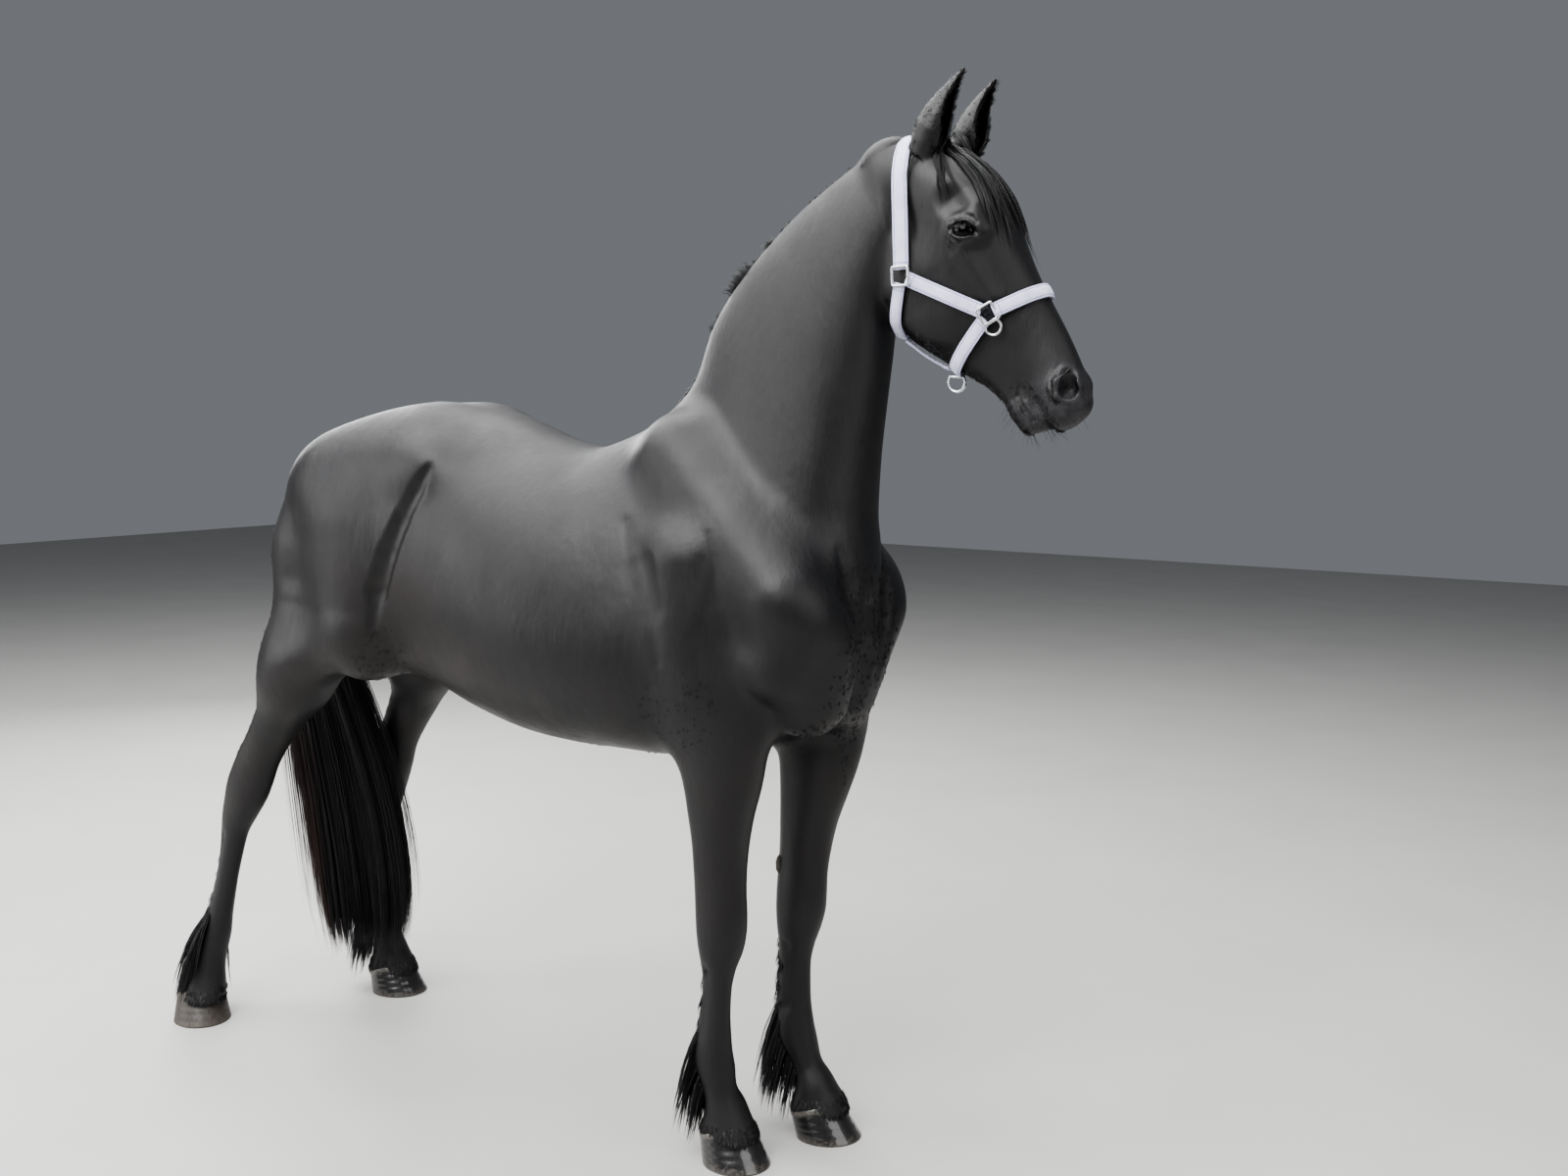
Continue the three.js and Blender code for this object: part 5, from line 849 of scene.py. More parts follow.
def sweep(rings: Array, closed: bool = False) -> tuple[Array, Array]:
    """Skins a row of rings that have as many points each.

    Args:
        rings: Rings, their points, and the points' coordinates.
        closed: Whether the last ring joins the first. If not, a fan to its middle closes each end.

    Returns:
        The points and the four-sided faces.
    """
    count, around = rings.shape[:2]
    k = np.arange(around)
    i = np.arange(count if closed else count - 1)[:, None]
    a, b = i * around + k, i * around + (k + 1) % around
    c, d = ((i + 1) % count) * around + (k + 1) % around, ((i + 1) % count) * around + k
    faces = [np.stack([a, b, c, d], -1).reshape(-1, 4)]
    points = rings.reshape(-1, 3)
    if not closed:
        ends = np.stack([rings[0].mean(0), rings[-1].mean(0)])
        first, last = len(points), len(points) + 1
        points = np.vstack([points, ends])
        top = (count - 1) * around
        pair, odd, even = (k + 1) % around, (k + 2) % around, k[::2]
        faces.append(np.stack([np.full(len(even), first), odd[even], pair[even], even], -1))
        faces.append(np.stack([np.full(len(even), last), top + even, top + pair[even], top + odd[even]], -1))
    return points, np.vstack(faces)


def tube(path: Array, radius: Array | float, sides: int = 8, closed: bool = False) -> tuple[Array, Array]:
    """Sweeps a round bar along a path of points.

    Args:
        path: The points of its middle line.
        radius: Its radius, the same all along or one for each point.
        sides: How many sides it has, an even number.
        closed: Whether it meets its own start.

    Returns:
        The points and the four-sided faces.
    """
    if closed:
        along = unit(np.roll(path, -1, 0) - np.roll(path, 1, 0))
    else:
        along = unit(np.gradient(path, axis=0))
    flat = unit(np.cross(along[0], along[len(along) // 3]) + 1e-6 * np.array([0.3, 0.5, 0.8]))
    across = unit(np.cross(along, flat))
    up = np.cross(across, along)
    angle = 2 * math.pi * np.arange(sides) / sides
    ring = np.cos(angle)[None, :, None] * across[:, None] + np.sin(angle)[None, :, None] * up[:, None]
    return sweep(path[:, None] + ring * np.broadcast_to(radius, len(path))[:, None, None], closed)


# Materials


class Slot(Enum):
    """The material slots of the pieces."""

    COAT = "coat"
    HAIR = "hair"
    HORN = "horn"
    EYE = "eye"
    WEBBING = "webbing"
    STEEL = "steel"


Socket = bpy.types.NodeSocket
Value = float | Sequence[float] | Socket
Inputs = dict[str | int, Value]


class Graph:
    """Adds nodes to the tree of a material or a node group."""

    def __init__(self, tree: bpy.types.NodeTree) -> None:
        self.tree = tree

    def feed(self, node: bpy.types.Node, inputs: Inputs) -> None:
        """Sets inputs of a node to values, or links them to sockets."""
        for key, value in inputs.items():
            if isinstance(value, Socket):
                self.tree.links.new(value, node.inputs[key])
            else:
                node.inputs[key].default_value = value

    def add(self, kind: str, inputs: Inputs | None = None, **settings: object) -> bpy.types.Node:
        """Adds a node, sets its properties and feeds its inputs."""
        made = self.tree.nodes.new(kind)
        for key, value in settings.items():
            setattr(made, key, value)
        self.feed(made, inputs or {})
        return made

    def math(self, operation: str, a: Value, b: Value = 0.0) -> Socket:
        """Does sums on one or two values."""
        return self.add("ShaderNodeMath", {0: a, 1: b}, operation=operation).outputs[0]

    def plus(self, a: Value, b: Value) -> Socket:
        """Adds two values."""
        return self.math("ADD", a, b)

    def times(self, a: Value, b: Value) -> Socket:
        """Multiplies two values."""
        return self.math("MULTIPLY", a, b)

    def spread(
        self, value: Value, low: float, high: float, to_low: float = 0.0, to_high: float = 1.0
    ) -> Socket:
        """Maps a range of values to another and stays inside it."""
        inputs = {"Value": value, "From Min": low, "From Max": high, "To Min": to_low, "To Max": to_high}
        return self.add("ShaderNodeMapRange", inputs).outputs[0]

    def mixed(self, share: Value, a: Value, b: Value) -> Socket:
        """Mixes two colours."""
        return self.add("ShaderNodeMix", {0: share, 6: a, 7: b}, data_type="RGBA").outputs[2]

    def noise(self, where: Socket, scale: float, detail: float = 2.0, rough: float = 0.5) -> Socket:
        """Gives noise from 0 to 1."""
        inputs = {"Vector": where, "Scale": scale, "Detail": detail, "Roughness": rough}
        return self.add("ShaderNodeTexNoise", inputs).outputs["Fac"]

    def stretched(self, where: Socket, scale: Row, turn: Row = (0, 0, 0)) -> Socket:
        """Turns and stretches coordinates."""
        inputs = {"Vector": where, "Scale": scale, "Rotation": turn}
        return self.add("ShaderNodeMapping", inputs).outputs[0]

    def mask(self, name: str) -> Socket:
        """Reads numbers stored on the mesh."""
        return self.add("ShaderNodeAttribute", attribute_name=name).outputs["Fac"]

    def place(self) -> Socket:
        """Gives the object's own coordinates."""
        return self.add("ShaderNodeTexCoord").outputs["Object"]

    def uv(self, name: str) -> Socket:
        """Gives a UV map's coordinates."""
        return self.add("ShaderNodeUVMap", uv_map=name).outputs[0]

    def bump(self, height: Value, strength: float, depth: float, normal: Socket | None = None) -> Socket:
        """Turns a height into a normal."""
        inputs = {"Height": height, "Strength": strength, "Distance": depth}
        under = {} if normal is None else {"Normal": normal}
        return self.add("ShaderNodeBump", inputs | under).outputs[0]


def colour(hexa: str) -> tuple[float, float, float, float]:
    """Turns a colour as six hexadecimal digits into linear light."""
    parts = [int(hexa[i : i + 2], 16) / 255 for i in (0, 2, 4)]
    linear = [p / 12.92 if p <= 0.04045 else ((p + 0.055) / 1.055) ** 2.4 for p in parts]
    return (*linear, 1.0)


@dataclass(frozen=True)
class Gloss:
    """What a surface's shader holds all over."""

    specular: float = 0.5
    sheen: float = 0.0
    sheen_rough: float = 0.5
    coat: float = 0.0
    coat_rough: float = 0.1
    metallic: float = 0.0


def shaded(name: str, gloss: Gloss) -> tuple[Material, Graph, bpy.types.Node]:
    """Makes a material with a shader that holds the given gloss.

    Args:
        name: The material's name.
        gloss: What its shader holds all over.

    Returns:
        The material, its graph and its shader node.
    """
    material = bpy.data.materials.new(name)
    material.use_nodes = True
    graph = Graph(material.node_tree)
    shader = material.node_tree.nodes["Principled BSDF"]
    inputs = {
        "Specular IOR Level": gloss.specular,
        "Sheen Weight": gloss.sheen,
        "Sheen Roughness": gloss.sheen_rough,
        "Coat Weight": gloss.coat,
        "Coat Roughness": gloss.coat_rough,
        "Metallic": gloss.metallic,
    }
    graph.feed(shader, inputs)
    return material, graph, shader


def group_of(
    name: str, inputs: Sequence[str], outputs: Sequence[str]
) -> tuple[bpy.types.NodeTree, Graph, dict[str, Socket | bpy.types.Node]]:
    """Makes a node group for an effect that several materials share.

    Args:
        name: The group's name.
        inputs: Its inputs: Vector for coordinates, any other name for a number.
        outputs: The numbers that it puts out.

    Returns:
        The group, its graph, and the sockets of its inputs with its output node under "out".
    """
    tree = bpy.data.node_groups.new(name, "ShaderNodeTree")
    for label in inputs:
        kind = "NodeSocketVector" if label == "Vector" else "NodeSocketFloat"
        tree.interface.new_socket(label, in_out="INPUT", socket_type=kind)
    for label in outputs:
        tree.interface.new_socket(label, in_out="OUTPUT", socket_type="NodeSocketFloat")
    source = tree.nodes.new("NodeGroupInput")
    sockets = {label: source.outputs[label] for label in inputs}
    return tree, Graph(tree), {**sockets, "out": tree.nodes.new("NodeGroupOutput")}


COAT_LIE = (0, math.radians(-38), 0)


def short_hair_group() -> bpy.types.NodeTree:
    """Short hair that lies flat: fine streaks along the lie of the coat, in soft swathes."""
    tree, g, s = group_of("short_hair", ["Vector"], ["Streaks", "Swathes"])
    lie = g.stretched(s["Vector"], (1.0, 0.9, 0.16), COAT_LIE)
    fine = g.noise(lie, 900, 3, 0.65)
    coarse = g.noise(lie, 210, 2, 0.6)
    streaks = g.plus(g.times(fine, 0.6), g.times(coarse, 0.4))
    swathes = g.noise(g.stretched(s["Vector"], (1, 1, 0.45), COAT_LIE), 14, 3, 0.6)
    g.feed(s["out"], {"Streaks": streaks, "Swathes": swathes})
    return tree


def coat_material(short_hair: bpy.types.NodeTree) -> Material:
    """Glossy black summer coat, a little brown low down, bare dark skin at the muzzle and round the eyes."""
    material, g, shader = shaded("black_coat", Gloss(specular=0.40))
    place = g.place()
    hair = g.add("ShaderNodeGroup", {"Vector": place}, node_tree=short_hair)
    streaks, swathes = hair.outputs["Streaks"], hair.outputs["Swathes"]
    bare, tinge, dust = g.mask("bare"), g.mask("tinge"), g.mask("dust")
    black = g.mixed(g.spread(swathes, 0.35, 0.65), colour("040405"), colour("08080a"))
    black = g.mixed(g.spread(streaks, 0.42, 0.66), black, colour("0f0f13"))
    brown = g.mixed(g.spread(g.noise(place, 6, 3), 0.4, 0.7), colour("0e0a08"), colour("1c120c"))
    base = g.mixed(g.times(tinge, 0.7), black, brown)
    skin = g.mixed(g.spread(g.noise(place, 60, 4), 0.35, 0.7), colour("131315"), colour("2a292d"))
    base = g.mixed(bare, base, skin)
    specks = g.spread(g.noise(place, 240, 4, 0.7), 0.5, 0.72)
    base = g.mixed(g.times(dust, g.spread(specks, 0, 1, 0.1, 0.7)), base, colour("55504a"))
    patches = g.spread(g.noise(g.stretched(place, (1, 1, 0.6)), 5.5, 4, 0.6), 0.4, 0.66, 0.0, 0.09)
    rough = g.plus(g.spread(swathes, 0.3, 0.7, 0.38, 0.47), patches)
    rough = g.plus(rough, g.times(bare, 0.06))
    rough = g.plus(rough, g.times(dust, 0.25))
    hair_bump = g.times(streaks, g.math("SUBTRACT", 1.0, g.times(bare, 0.85)))
    pebbles = g.add("ShaderNodeTexVoronoi", {"Vector": place, "Scale": 420.0}, feature="SMOOTH_F1")
    pebble_bump = g.times(pebbles.outputs["Distance"], g.times(bare, 1.4))
    creases_seen = g.noise(g.stretched(place, (1.6, 1, 0.7)), 90, 4, 0.6)
    crease_bump = g.times(creases_seen, g.times(bare, 1.6))
    fine = g.plus(hair_bump, g.plus(pebble_bump, crease_bump))
    normal = g.bump(swathes, 0.35, 0.008)
    normal = g.bump(fine, 0.6, 0.0012, normal)
    g.feed(shader, {"Base Color": base, "Roughness": rough, "Normal": normal})
    return material


def hair_material(name: str, tips: str) -> Material:
    """Long black hair with fine strands, its tips bleached towards a colour."""
    material, g, shader = shaded(name, Gloss(specular=0.42))
    strand, tint = g.uv("Strand"), g.mask("tint")
    fine = g.noise(g.stretched(strand, (26, 2.2, 1)), 6, 3, 0.6)
    along = g.add("ShaderNodeSeparateXYZ", {0: strand}).outputs["Y"]
    black = g.mixed(g.spread(fine, 0.35, 0.7), colour("070708"), colour("131215"))
    bleached = g.times(g.spread(along, 0.25, 0.95), g.spread(tint, 0.5, 1.0))
    base = g.mixed(bleached, black, colour(tips))
    rough = g.spread(fine, 0.3, 0.7, 0.38, 0.55)
    normal = g.bump(fine, 0.6, 0.0012)
    g.feed(shader, {"Base Color": base, "Roughness": rough, "Normal": normal})
    return material


@dataclass(frozen=True)
class HornFinish:
    """How a hoof looks: its colours and how wet it is."""

    dark: str
    light: str
    rough: float
    coat: float


WET_HORN = HornFinish("090909", "1d1b1b", 0.30, 0.85)
DRY_HORN = HornFinish("1c1917", "453f38", 0.52, 0.05)


def horn_material(name: str, finish: HornFinish) -> Material:
    """Hoof horn: growth rings, fine upright tubules, a dusty edge above and scuffs below."""
    material, g, shader = shaded(name, Gloss(coat=finish.coat, coat_rough=0.08))
    wall = g.uv("Wall")
    up = g.add("ShaderNodeSeparateXYZ", {0: wall}).outputs["Y"]
    wander = g.noise(g.stretched(wall, (6, 2, 1)), 2.0, 2)
    rings = g.noise(g.stretched(wall, (0.8, 26, 1)), 1.0, 3, 0.6)
    tubules = g.noise(g.stretched(wall, (160, 3, 1)), 2.0, 2, 0.6)
    base = g.mixed(g.spread(tubules, 0.35, 0.7), colour(finish.dark), colour(finish.light))
    base = g.mixed(g.spread(rings, 0.55, 0.75, 0, 0.3), base, colour(finish.light))
    rim = g.spread(g.plus(up, g.times(g.math("SUBTRACT", wander, 0.5), 0.22)), 0.84, 0.93)
    rim = g.times(rim, g.spread(up, 0.965, 0.98, 1.0, 0.0))
    base = g.mixed(g.times(rim, g.spread(tubules, 0.4, 0.6, 0.15, 0.7)), base, colour("6f695f"))
    scuffs = g.spread(g.math("SUBTRACT", g.noise(g.place(), 130, 4, 0.7), up), 0.3, 0.6)
    base = g.mixed(g.times(scuffs, 0.6), base, colour("5d564d"))
    rough = g.plus(finish.rough, g.times(g.math("MAXIMUM", rim, scuffs), 0.35))
    height = g.plus(g.times(rings, 0.35), g.times(tubules, 0.45))
    normal = g.bump(height, 0.5, 0.0015)
    g.feed(shader, {"Base Color": base, "Roughness": rough, "Normal": normal})
    return material


def eye_material() -> Material:
    """A dark brown iris with a long level pupil, under a wet clear surface."""
    material, g, shader = shaded("eye", Gloss(specular=0.08, coat=0.10, coat_rough=0.05))
    gaze, level = g.mask("gaze"), g.mask("level")
    fibres = g.noise(g.stretched(g.uv("Eye"), (40, 4, 1)), 3.0, 3, 0.6)
    iris = g.mixed(g.spread(fibres, 0.3, 0.7), colour("050303"), colour("0c0705"))
    base = g.mixed(g.spread(level, 0.9, 1.08), colour("020203"), iris)
    base = g.mixed(g.spread(gaze, 0.60, 0.70), base, colour("060505"))
    base = g.mixed(g.spread(gaze, 0.80, 0.95), base, colour("120f0f"))
    g.feed(shader, {"Base Color": base, "Roughness": 0.12})
    return material


def webbing_material() -> Material:
    """Pale lilac webbing: a fine ribbed weave with painted shade in its grooves, soiled creases, and painted
    shade over the rolled sides of its bound edges.
    """
    material, g, shader = shaded("lilac_webbing", Gloss(specular=0.3, sheen=0.35, sheen_rough=0.5))
    weave = g.uv("Weave")
    parts = g.add("ShaderNodeSeparateXYZ", {0: weave})
    across, along = parts.outputs["X"], parts.outputs["Y"]
    ribs = g.math("SINE", g.times(along, 2 * math.pi * 620))
    cords = g.math("SINE", g.times(across, 2 * math.pi * 17))
    cloth = g.times(g.plus(ribs, 1.0), g.plus(cords, 1.4))
    soil = g.noise(g.place(), 34, 4, 0.65)
    base = g.mixed(g.spread(soil, 0.4, 0.75), colour("d4d4e8"), colour("b9b8cf"))
    # Painted shade: the weave is darkened where its height is low, in the grooves between ribs and cords.
    base = g.mixed(g.spread(cloth, 0.0, 2.6, 0.35, 0.0), base, colour("9d9dba"))
    edge = g.math("ABSOLUTE", g.math("SUBTRACT", across, 0.5))
    for value, seam, wide, depth in ((edge, 0.362, 0.030, 0.75), (g.mask("end"), 0.0135, 0.0012, 0.8)):
        off = g.math("ABSOLUTE", g.math("SUBTRACT", value, seam))
        base = g.mixed(g.spread(off, 0.35 * wide, wide, depth, 0.0), base, colour("6d6f98"))
    # Painted shade: the strap darkens from the crest of each bound edge over its rolled side, where the
    # surface turns away from the light.
    base = g.mixed(g.spread(edge, 0.440, 0.470, 0.0, 0.55), base, colour("9a9ac0"))
    normal = g.bump(cloth, 0.35, 0.0005)
    normal = g.bump(soil, 0.2, 0.002, normal)
    g.feed(shader, {"Base Color": base, "Roughness": 0.82, "Normal": normal})
    return material


def thread_material() -> Material:
    """Twisted sewing thread, a little darker than the webbing."""
    material, g, shader = shaded("thread", Gloss(specular=0.3, sheen=0.2))
    twist = g.noise(g.place(), 2600, 2)
    base = g.mixed(g.spread(twist, 0.35, 0.65), colour("6c6e98"), colour("8f91b6"))
    g.feed(shader, {"Base Color": base, "Roughness": 0.75, "Normal": g.bump(twist, 0.4, 0.0003)})
    return material


def steel_material(name: str, bright: str, tarnished: str) -> Material:
    """Plated steel, finely scratched and a little tarnished."""
    material, g, shader = shaded(name, Gloss(metallic=1.0))
    place = g.place()
    tarnish = g.noise(place, 70, 4, 0.6)
    scratches = g.noise(g.stretched(place, (1, 1, 14), (0.3, 0.5, 0.2)), 900, 2)
    base = g.mixed(g.spread(tarnish, 0.45, 0.75), colour(bright), colour(tarnished))
    rough = g.spread(g.plus(tarnish, g.times(scratches, 0.3)), 0.4, 0.95, 0.14, 0.40)
    g.feed(shader, {"Base Color": base, "Roughness": rough, "Normal": g.bump(scratches, 0.12, 0.0003)})
    return material


def floor_material() -> Material:
    """A plain pale studio floor."""
    material, g, shader = shaded("studio_floor", Gloss(specular=0.3))
    grain = g.noise(g.place(), 2.2, 4)
    g.feed(shader, {"Base Color": g.mixed(grain, colour("a3a2a0"), colour("adacaa")), "Roughness": 0.7})
    return material


def dress(piece: Piece, material: Material, slot: Slot, *nodes: str) -> Piece:
    """Gives a piece its material, lets it ride on the body and stand for its CAD nodes."""
    piece.data.materials.clear()
    piece.data.materials.append(material)
    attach(piece, "root")
    if nodes:
        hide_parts(*nodes)
    log.info("%s: %d triangles", piece.name, sum(len(p.vertices) - 2 for p in piece.data.polygons))
    return piece


# Flesh


def pair(a: Row, b: Row, ra: float, rb: float, **options: float | bool) -> list[Muscle]:
    """Gives the same muscle on both sides."""
    ends = [((a[0], s * a[1], a[2]), (b[0], s * b[1], b[2])) for s in (RIGHT, LEFT)]
    return [Muscle(start, stop, ra, rb, **options) for start, stop in ends]


def head_pair(a: Row, b: Row, ra: float, rb: float, **options: float | bool) -> list[Muscle]:
    """Gives the same muscle on both sides of the head, its ends as places of the head."""
    return pair(in_head(*a), in_head(*b), ra, rb, **options)


def head_chain(places: Sequence[Row], radii: Sequence[float], **options: float | bool) -> list[Muscle]:
    """Gives muscles end to end through places of the head, on both sides."""
    steps = zip(places, places[1:], radii, radii[1:])
    return [m for a, b, ra, rb in steps for m in head_pair(a, b, ra, rb, **options)]


def head_rows(table: Sequence[Row]) -> list[Row]:
    """Turns rows given down the face into rows of a loft."""
    out = []
    for down, fore, back, half, egg in table:
        a, b = in_head(down, fore), in_head(down, back)
        out.append((a[0], a[2], b[0], b[2], half, egg))
    return out


def body_shapes() -> list[Shape]:
    """Trunk and neck, with the muscles over hip, croup, thigh, shoulder and breast."""
    trunk = [(x, top, x, bottom, half, egg) for x, top, bottom, half, egg in TRUNK]
    return [
        Loft(trunk, TRUNK_ENDS, 0.040, 2.3),
        Loft(NECK, NECK_ENDS, 0.090, 2.05),
        *pair((-0.655, 0.196, 1.466), (-0.690, 0.190, 1.450), 0.048, 0.048, blend=0.080),
        *pair((-0.730, 0.105, 1.470), (-0.985, 0.122, 1.414), 0.122, 0.126, blend=0.060),
        *pair((-1.050, 0.096, 1.388), (-1.078, 0.110, 1.262), 0.112, 0.108, blend=0.060),
        Muscle((-1.086, -0.122, 1.250), (-1.116, -0.172, 0.940), 0.100, 0.078, blend=0.070),
        Muscle((-1.086, 0.122, 1.250), (-1.056, 0.182, 0.950), 0.100, 0.082, blend=0.070),
        *pair((-0.900, 0.132, 1.300), (-0.884, 0.176, 1.100), 0.136, 0.110, blend=0.080),
        *pair((-0.868, 0.192, 1.040), (-0.868, 0.192, 1.040), 0.070, 0.070, blend=0.080),
        *pair((-0.040, 0.105, 1.500), (0.240, 0.158, 1.230), 0.088, 0.092, blend=0.060),
        *pair((0.030, 0.172, 1.290), (0.060, 0.168, 1.060), 0.092, 0.092, blend=0.050),
        *pair((0.276, 0.142, 1.176), (0.232, 0.156, 1.090), 0.076, 0.076, blend=0.055),
        *pair((0.276, 0.070, 1.130), (0.250, 0.066, 1.010), 0.084, 0.078, blend=0.050),
    ]


def heel_bulbs(x: float, y: float, side: int, turn: float) -> list[Muscle]:
    """Gives the two bulbs of a heel, from the pastern down to its hoof."""
    c, s = math.cos(math.radians(turn)), math.sin(math.radians(turn)) * side
    out = []
    for apart in (RIGHT, LEFT):
        ends = []
        for u, v, z in ((-0.028, 0.010 * apart, 0.112), (-0.050, 0.023 * apart, 0.064)):
            ends.append((x + u * c - v * s, y + u * s + v * c, z))
        out.append(Muscle(ends[0], ends[1], 0.024, 0.027, blend=0.030))
    return out


def leg_shapes() -> list[Shape]:
    """The four legs down to the coronets, with the bulbs of the heels."""
    tables = (FORELEG, HINDLEG)
    legs = [Limb(table[name], side, LEG_BLEND) for table in tables for name, side in SIDES.items()]
    bulbs = [bulb for h in HOOVES for bulb in heel_bulbs(h.x, h.y, h.side, h.turn)]
    return [*legs, *bulbs]


def skull_shapes() -> list[Shape]:
    """Head and jaw, with cheeks, cheek bones, brows, lids, lips and chin."""
    low = (EYE_DOWN - 0.005 * SLIT[0], EYE_FORE - 0.005 * SLIT[1], EYE_SIDE - 0.003)
    high = (EYE_DOWN + 0.005 * SLIT[0], EYE_FORE + 0.005 * SLIT[1], EYE_SIDE - 0.004)
    return [
        Loft(head_rows(FACE), FACE_ENDS, 0.036, 2.4),
        Loft(head_rows(JAW), JAW_ENDS, 0.030, 2.2),
        *head_pair((0.262, -0.062, 0.050), (0.318, -0.066, 0.048), 0.092, 0.084, blend=0.026, flat=0.36),
        *head_pair((0.275, 0.034, 0.082), (0.372, 0.036, 0.066), 0.015, 0.012, blend=0.022),
        *head_pair((0.216, 0.080, 0.080), (0.252, 0.083, 0.078), 0.026, 0.022, blend=0.026),
        *head_pair((0.180, 0.066, 0.108), (0.196, 0.070, 0.106), 0.018, 0.013, blend=0.034, carve=True),
        *head_pair(low, high, 0.028, 0.028, blend=0.022),
        *head_pair((0.590, 0.070, 0.032), (0.616, 0.050, 0.022), 0.031, 0.033, blend=0.020),
        Muscle(in_head(0.620, 0.028), in_head(0.612, 0.050), 0.036, 0.034, blend=0.024),
        *head_pair((0.602, -0.022, 0.012), (0.582, -0.028, 0.014), 0.023, 0.025, blend=0.020),
        Muscle(in_head(0.614, 0.006), in_head(0.612, -0.010), 0.0265, 0.0260, blend=0.010),
        *head_pair((0.582, 0.056, 0.046), (0.602, 0.062, 0.044), 0.015, 0.014, blend=0.014),
    ]


def along_slit(run: float, up: float, side: float) -> Row:
    """Gives a place of the head from one along and above the slit between the lids."""
    return (EYE_DOWN + run * SLIT[0] - up * SLIT[1], EYE_FORE + run * SLIT[1] + up * SLIT[0], side)


def head_hollows() -> list[Shape]:
    """The openings between the lids, and the nostrils."""
    slit = [(-0.022, 0.0, 0.0176), (-0.008, 0.001, 0.0240), (0.007, 0.001, 0.0236), (0.022, -0.001, 0.0165)]
    slit.append((0.031, -0.004, 0.0140))
    lids = [along_slit(run, up, EYE_SIDE + out) for run, up, out in slit]
    return [
        *head_chain(lids, (0.0060, 0.0125, 0.0125, 0.0058, 0.0030), blend=0.003, carve=True),
        *head_pair((0.566, 0.084, 0.054), (0.600, 0.066, 0.052), 0.006, 0.014, blend=0.013, carve=True),
        *head_pair((0.574, 0.086, 0.042), (0.596, 0.074, 0.040), 0.008, 0.013, blend=0.012, carve=True),
    ]


def creases(
    shapes: Sequence[Shape], starts: Array, way: Array, radii: Sequence[float], depth: float, blend: float
) -> list[Muscle]:
    """Draws a groove along the line where rays from inner points leave the surface.

    Args:
        shapes: The shapes that make the surface.
        starts: The inner points.
        way: The way of the rays.
        radii: The groove's roundness at each point.
        depth: How far it cuts in where it is roundest.
        blend: How softly it meets the surface.

    Returns:
        The shapes that carve it.
    """
    far = reach_out(shapes, starts, way, CREASE_RAY)
    size = np.array(radii)
    middles = starts + (far + size - depth * size / size.max())[:, None] * way
    steps = zip(middles, middles[1:], radii, radii[1:])
    return [Muscle(a, b, ra, rb, blend=blend, carve=True) for a, b, ra, rb in steps]


CREASE_RAY = 0.40

# Grooves along the side: each one's x at its points, their z, their radii, its depth and its blend.
BODY_CREASES = (
    (
        (-0.612, -0.642, -0.683, -0.721, -0.758, -0.778),
        (1.468, 1.413, 1.347, 1.269, 1.178, 1.098),
        (0.006, 0.018, 0.026, 0.030, 0.030, 0.008),
        0.0155,
        0.008,
    ),
    ((-0.100, -0.050, -0.010, 0.015), (1.370, 1.290, 1.200, 1.090), (0.01, 0.07, 0.06, 0.01), 0.0045, 0.010),
    ((0.110, 0.128, 0.140), (1.355, 1.300, 1.220), (0.010, 0.040, 0.012), 0.0030, 0.006),
)

# Grooves down the breast, beside the midline and on it: distance to the side at their points, and z.
BREAST_INSIDE = 0.10
BREAST_SIDE = ((0.092, 1.325), (0.082, 1.250), (0.052, 1.165), (0.056, 1.050))
BREAST_MIDDLE = ((0.0, 1.200), (0.0, 1.100), (0.0, 1.000))


def body_folds(shapes: Sequence[Shape]) -> list[Shape]:
    """Folds of the skin that the solids leave out: the flank's groove, shoulder, elbow and breast."""
    out = []
    for side in (RIGHT, LEFT):
        for xs, zs, radii, depth, blend in BODY_CREASES:
            starts = np.stack([xs, np.zeros(len(xs)), zs], -1)
            out += creases(shapes, starts, side * LEFTWARDS, radii, depth, blend)
        breast = np.array([(BREAST_INSIDE, side * y, z) for y, z in BREAST_SIDE])
        out += creases(shapes, breast, AHEAD, (0.008, 0.034, 0.034, 0.010), 0.0065, 0.012)
    middle = np.array([(BREAST_INSIDE, y, z) for y, z in BREAST_MIDDLE])
    return out + creases(shapes, middle, AHEAD, (0.012, 0.045, 0.020), 0.008, 0.016)


FORE_CANNON = (0.285, 0.425)
HIND_CANNON = (0.280, 0.510)
LEG_BLEND = 0.060


def leg_folds() -> list[Shape]:
    """The hollows beside the tendons behind the cannon bones."""
    out = []
    for name, side in SIDES.items():
        for rows, heights in ((FORELEG, FORE_CANNON), (HINDLEG, HIND_CANNON)):
            limb = Limb(rows[name], side, LEG_BLEND)
            for outer in (RIGHT, LEFT):
                ends = []
                for z in heights:
                    cx, cy, _, wide, angle, _ = (float(v) for v in limb.at(np.array(z)))
                    back, apart = -0.30 * wide, outer * wide * 1.12
                    c, s = math.cos(angle), math.sin(angle)
                    ends.append((cx + back * c - apart * s, cy + back * s + apart * c, z))
                out.append(Muscle(ends[0], ends[1], 0.0055, 0.0065, blend=0.014, carve=True))
    return out


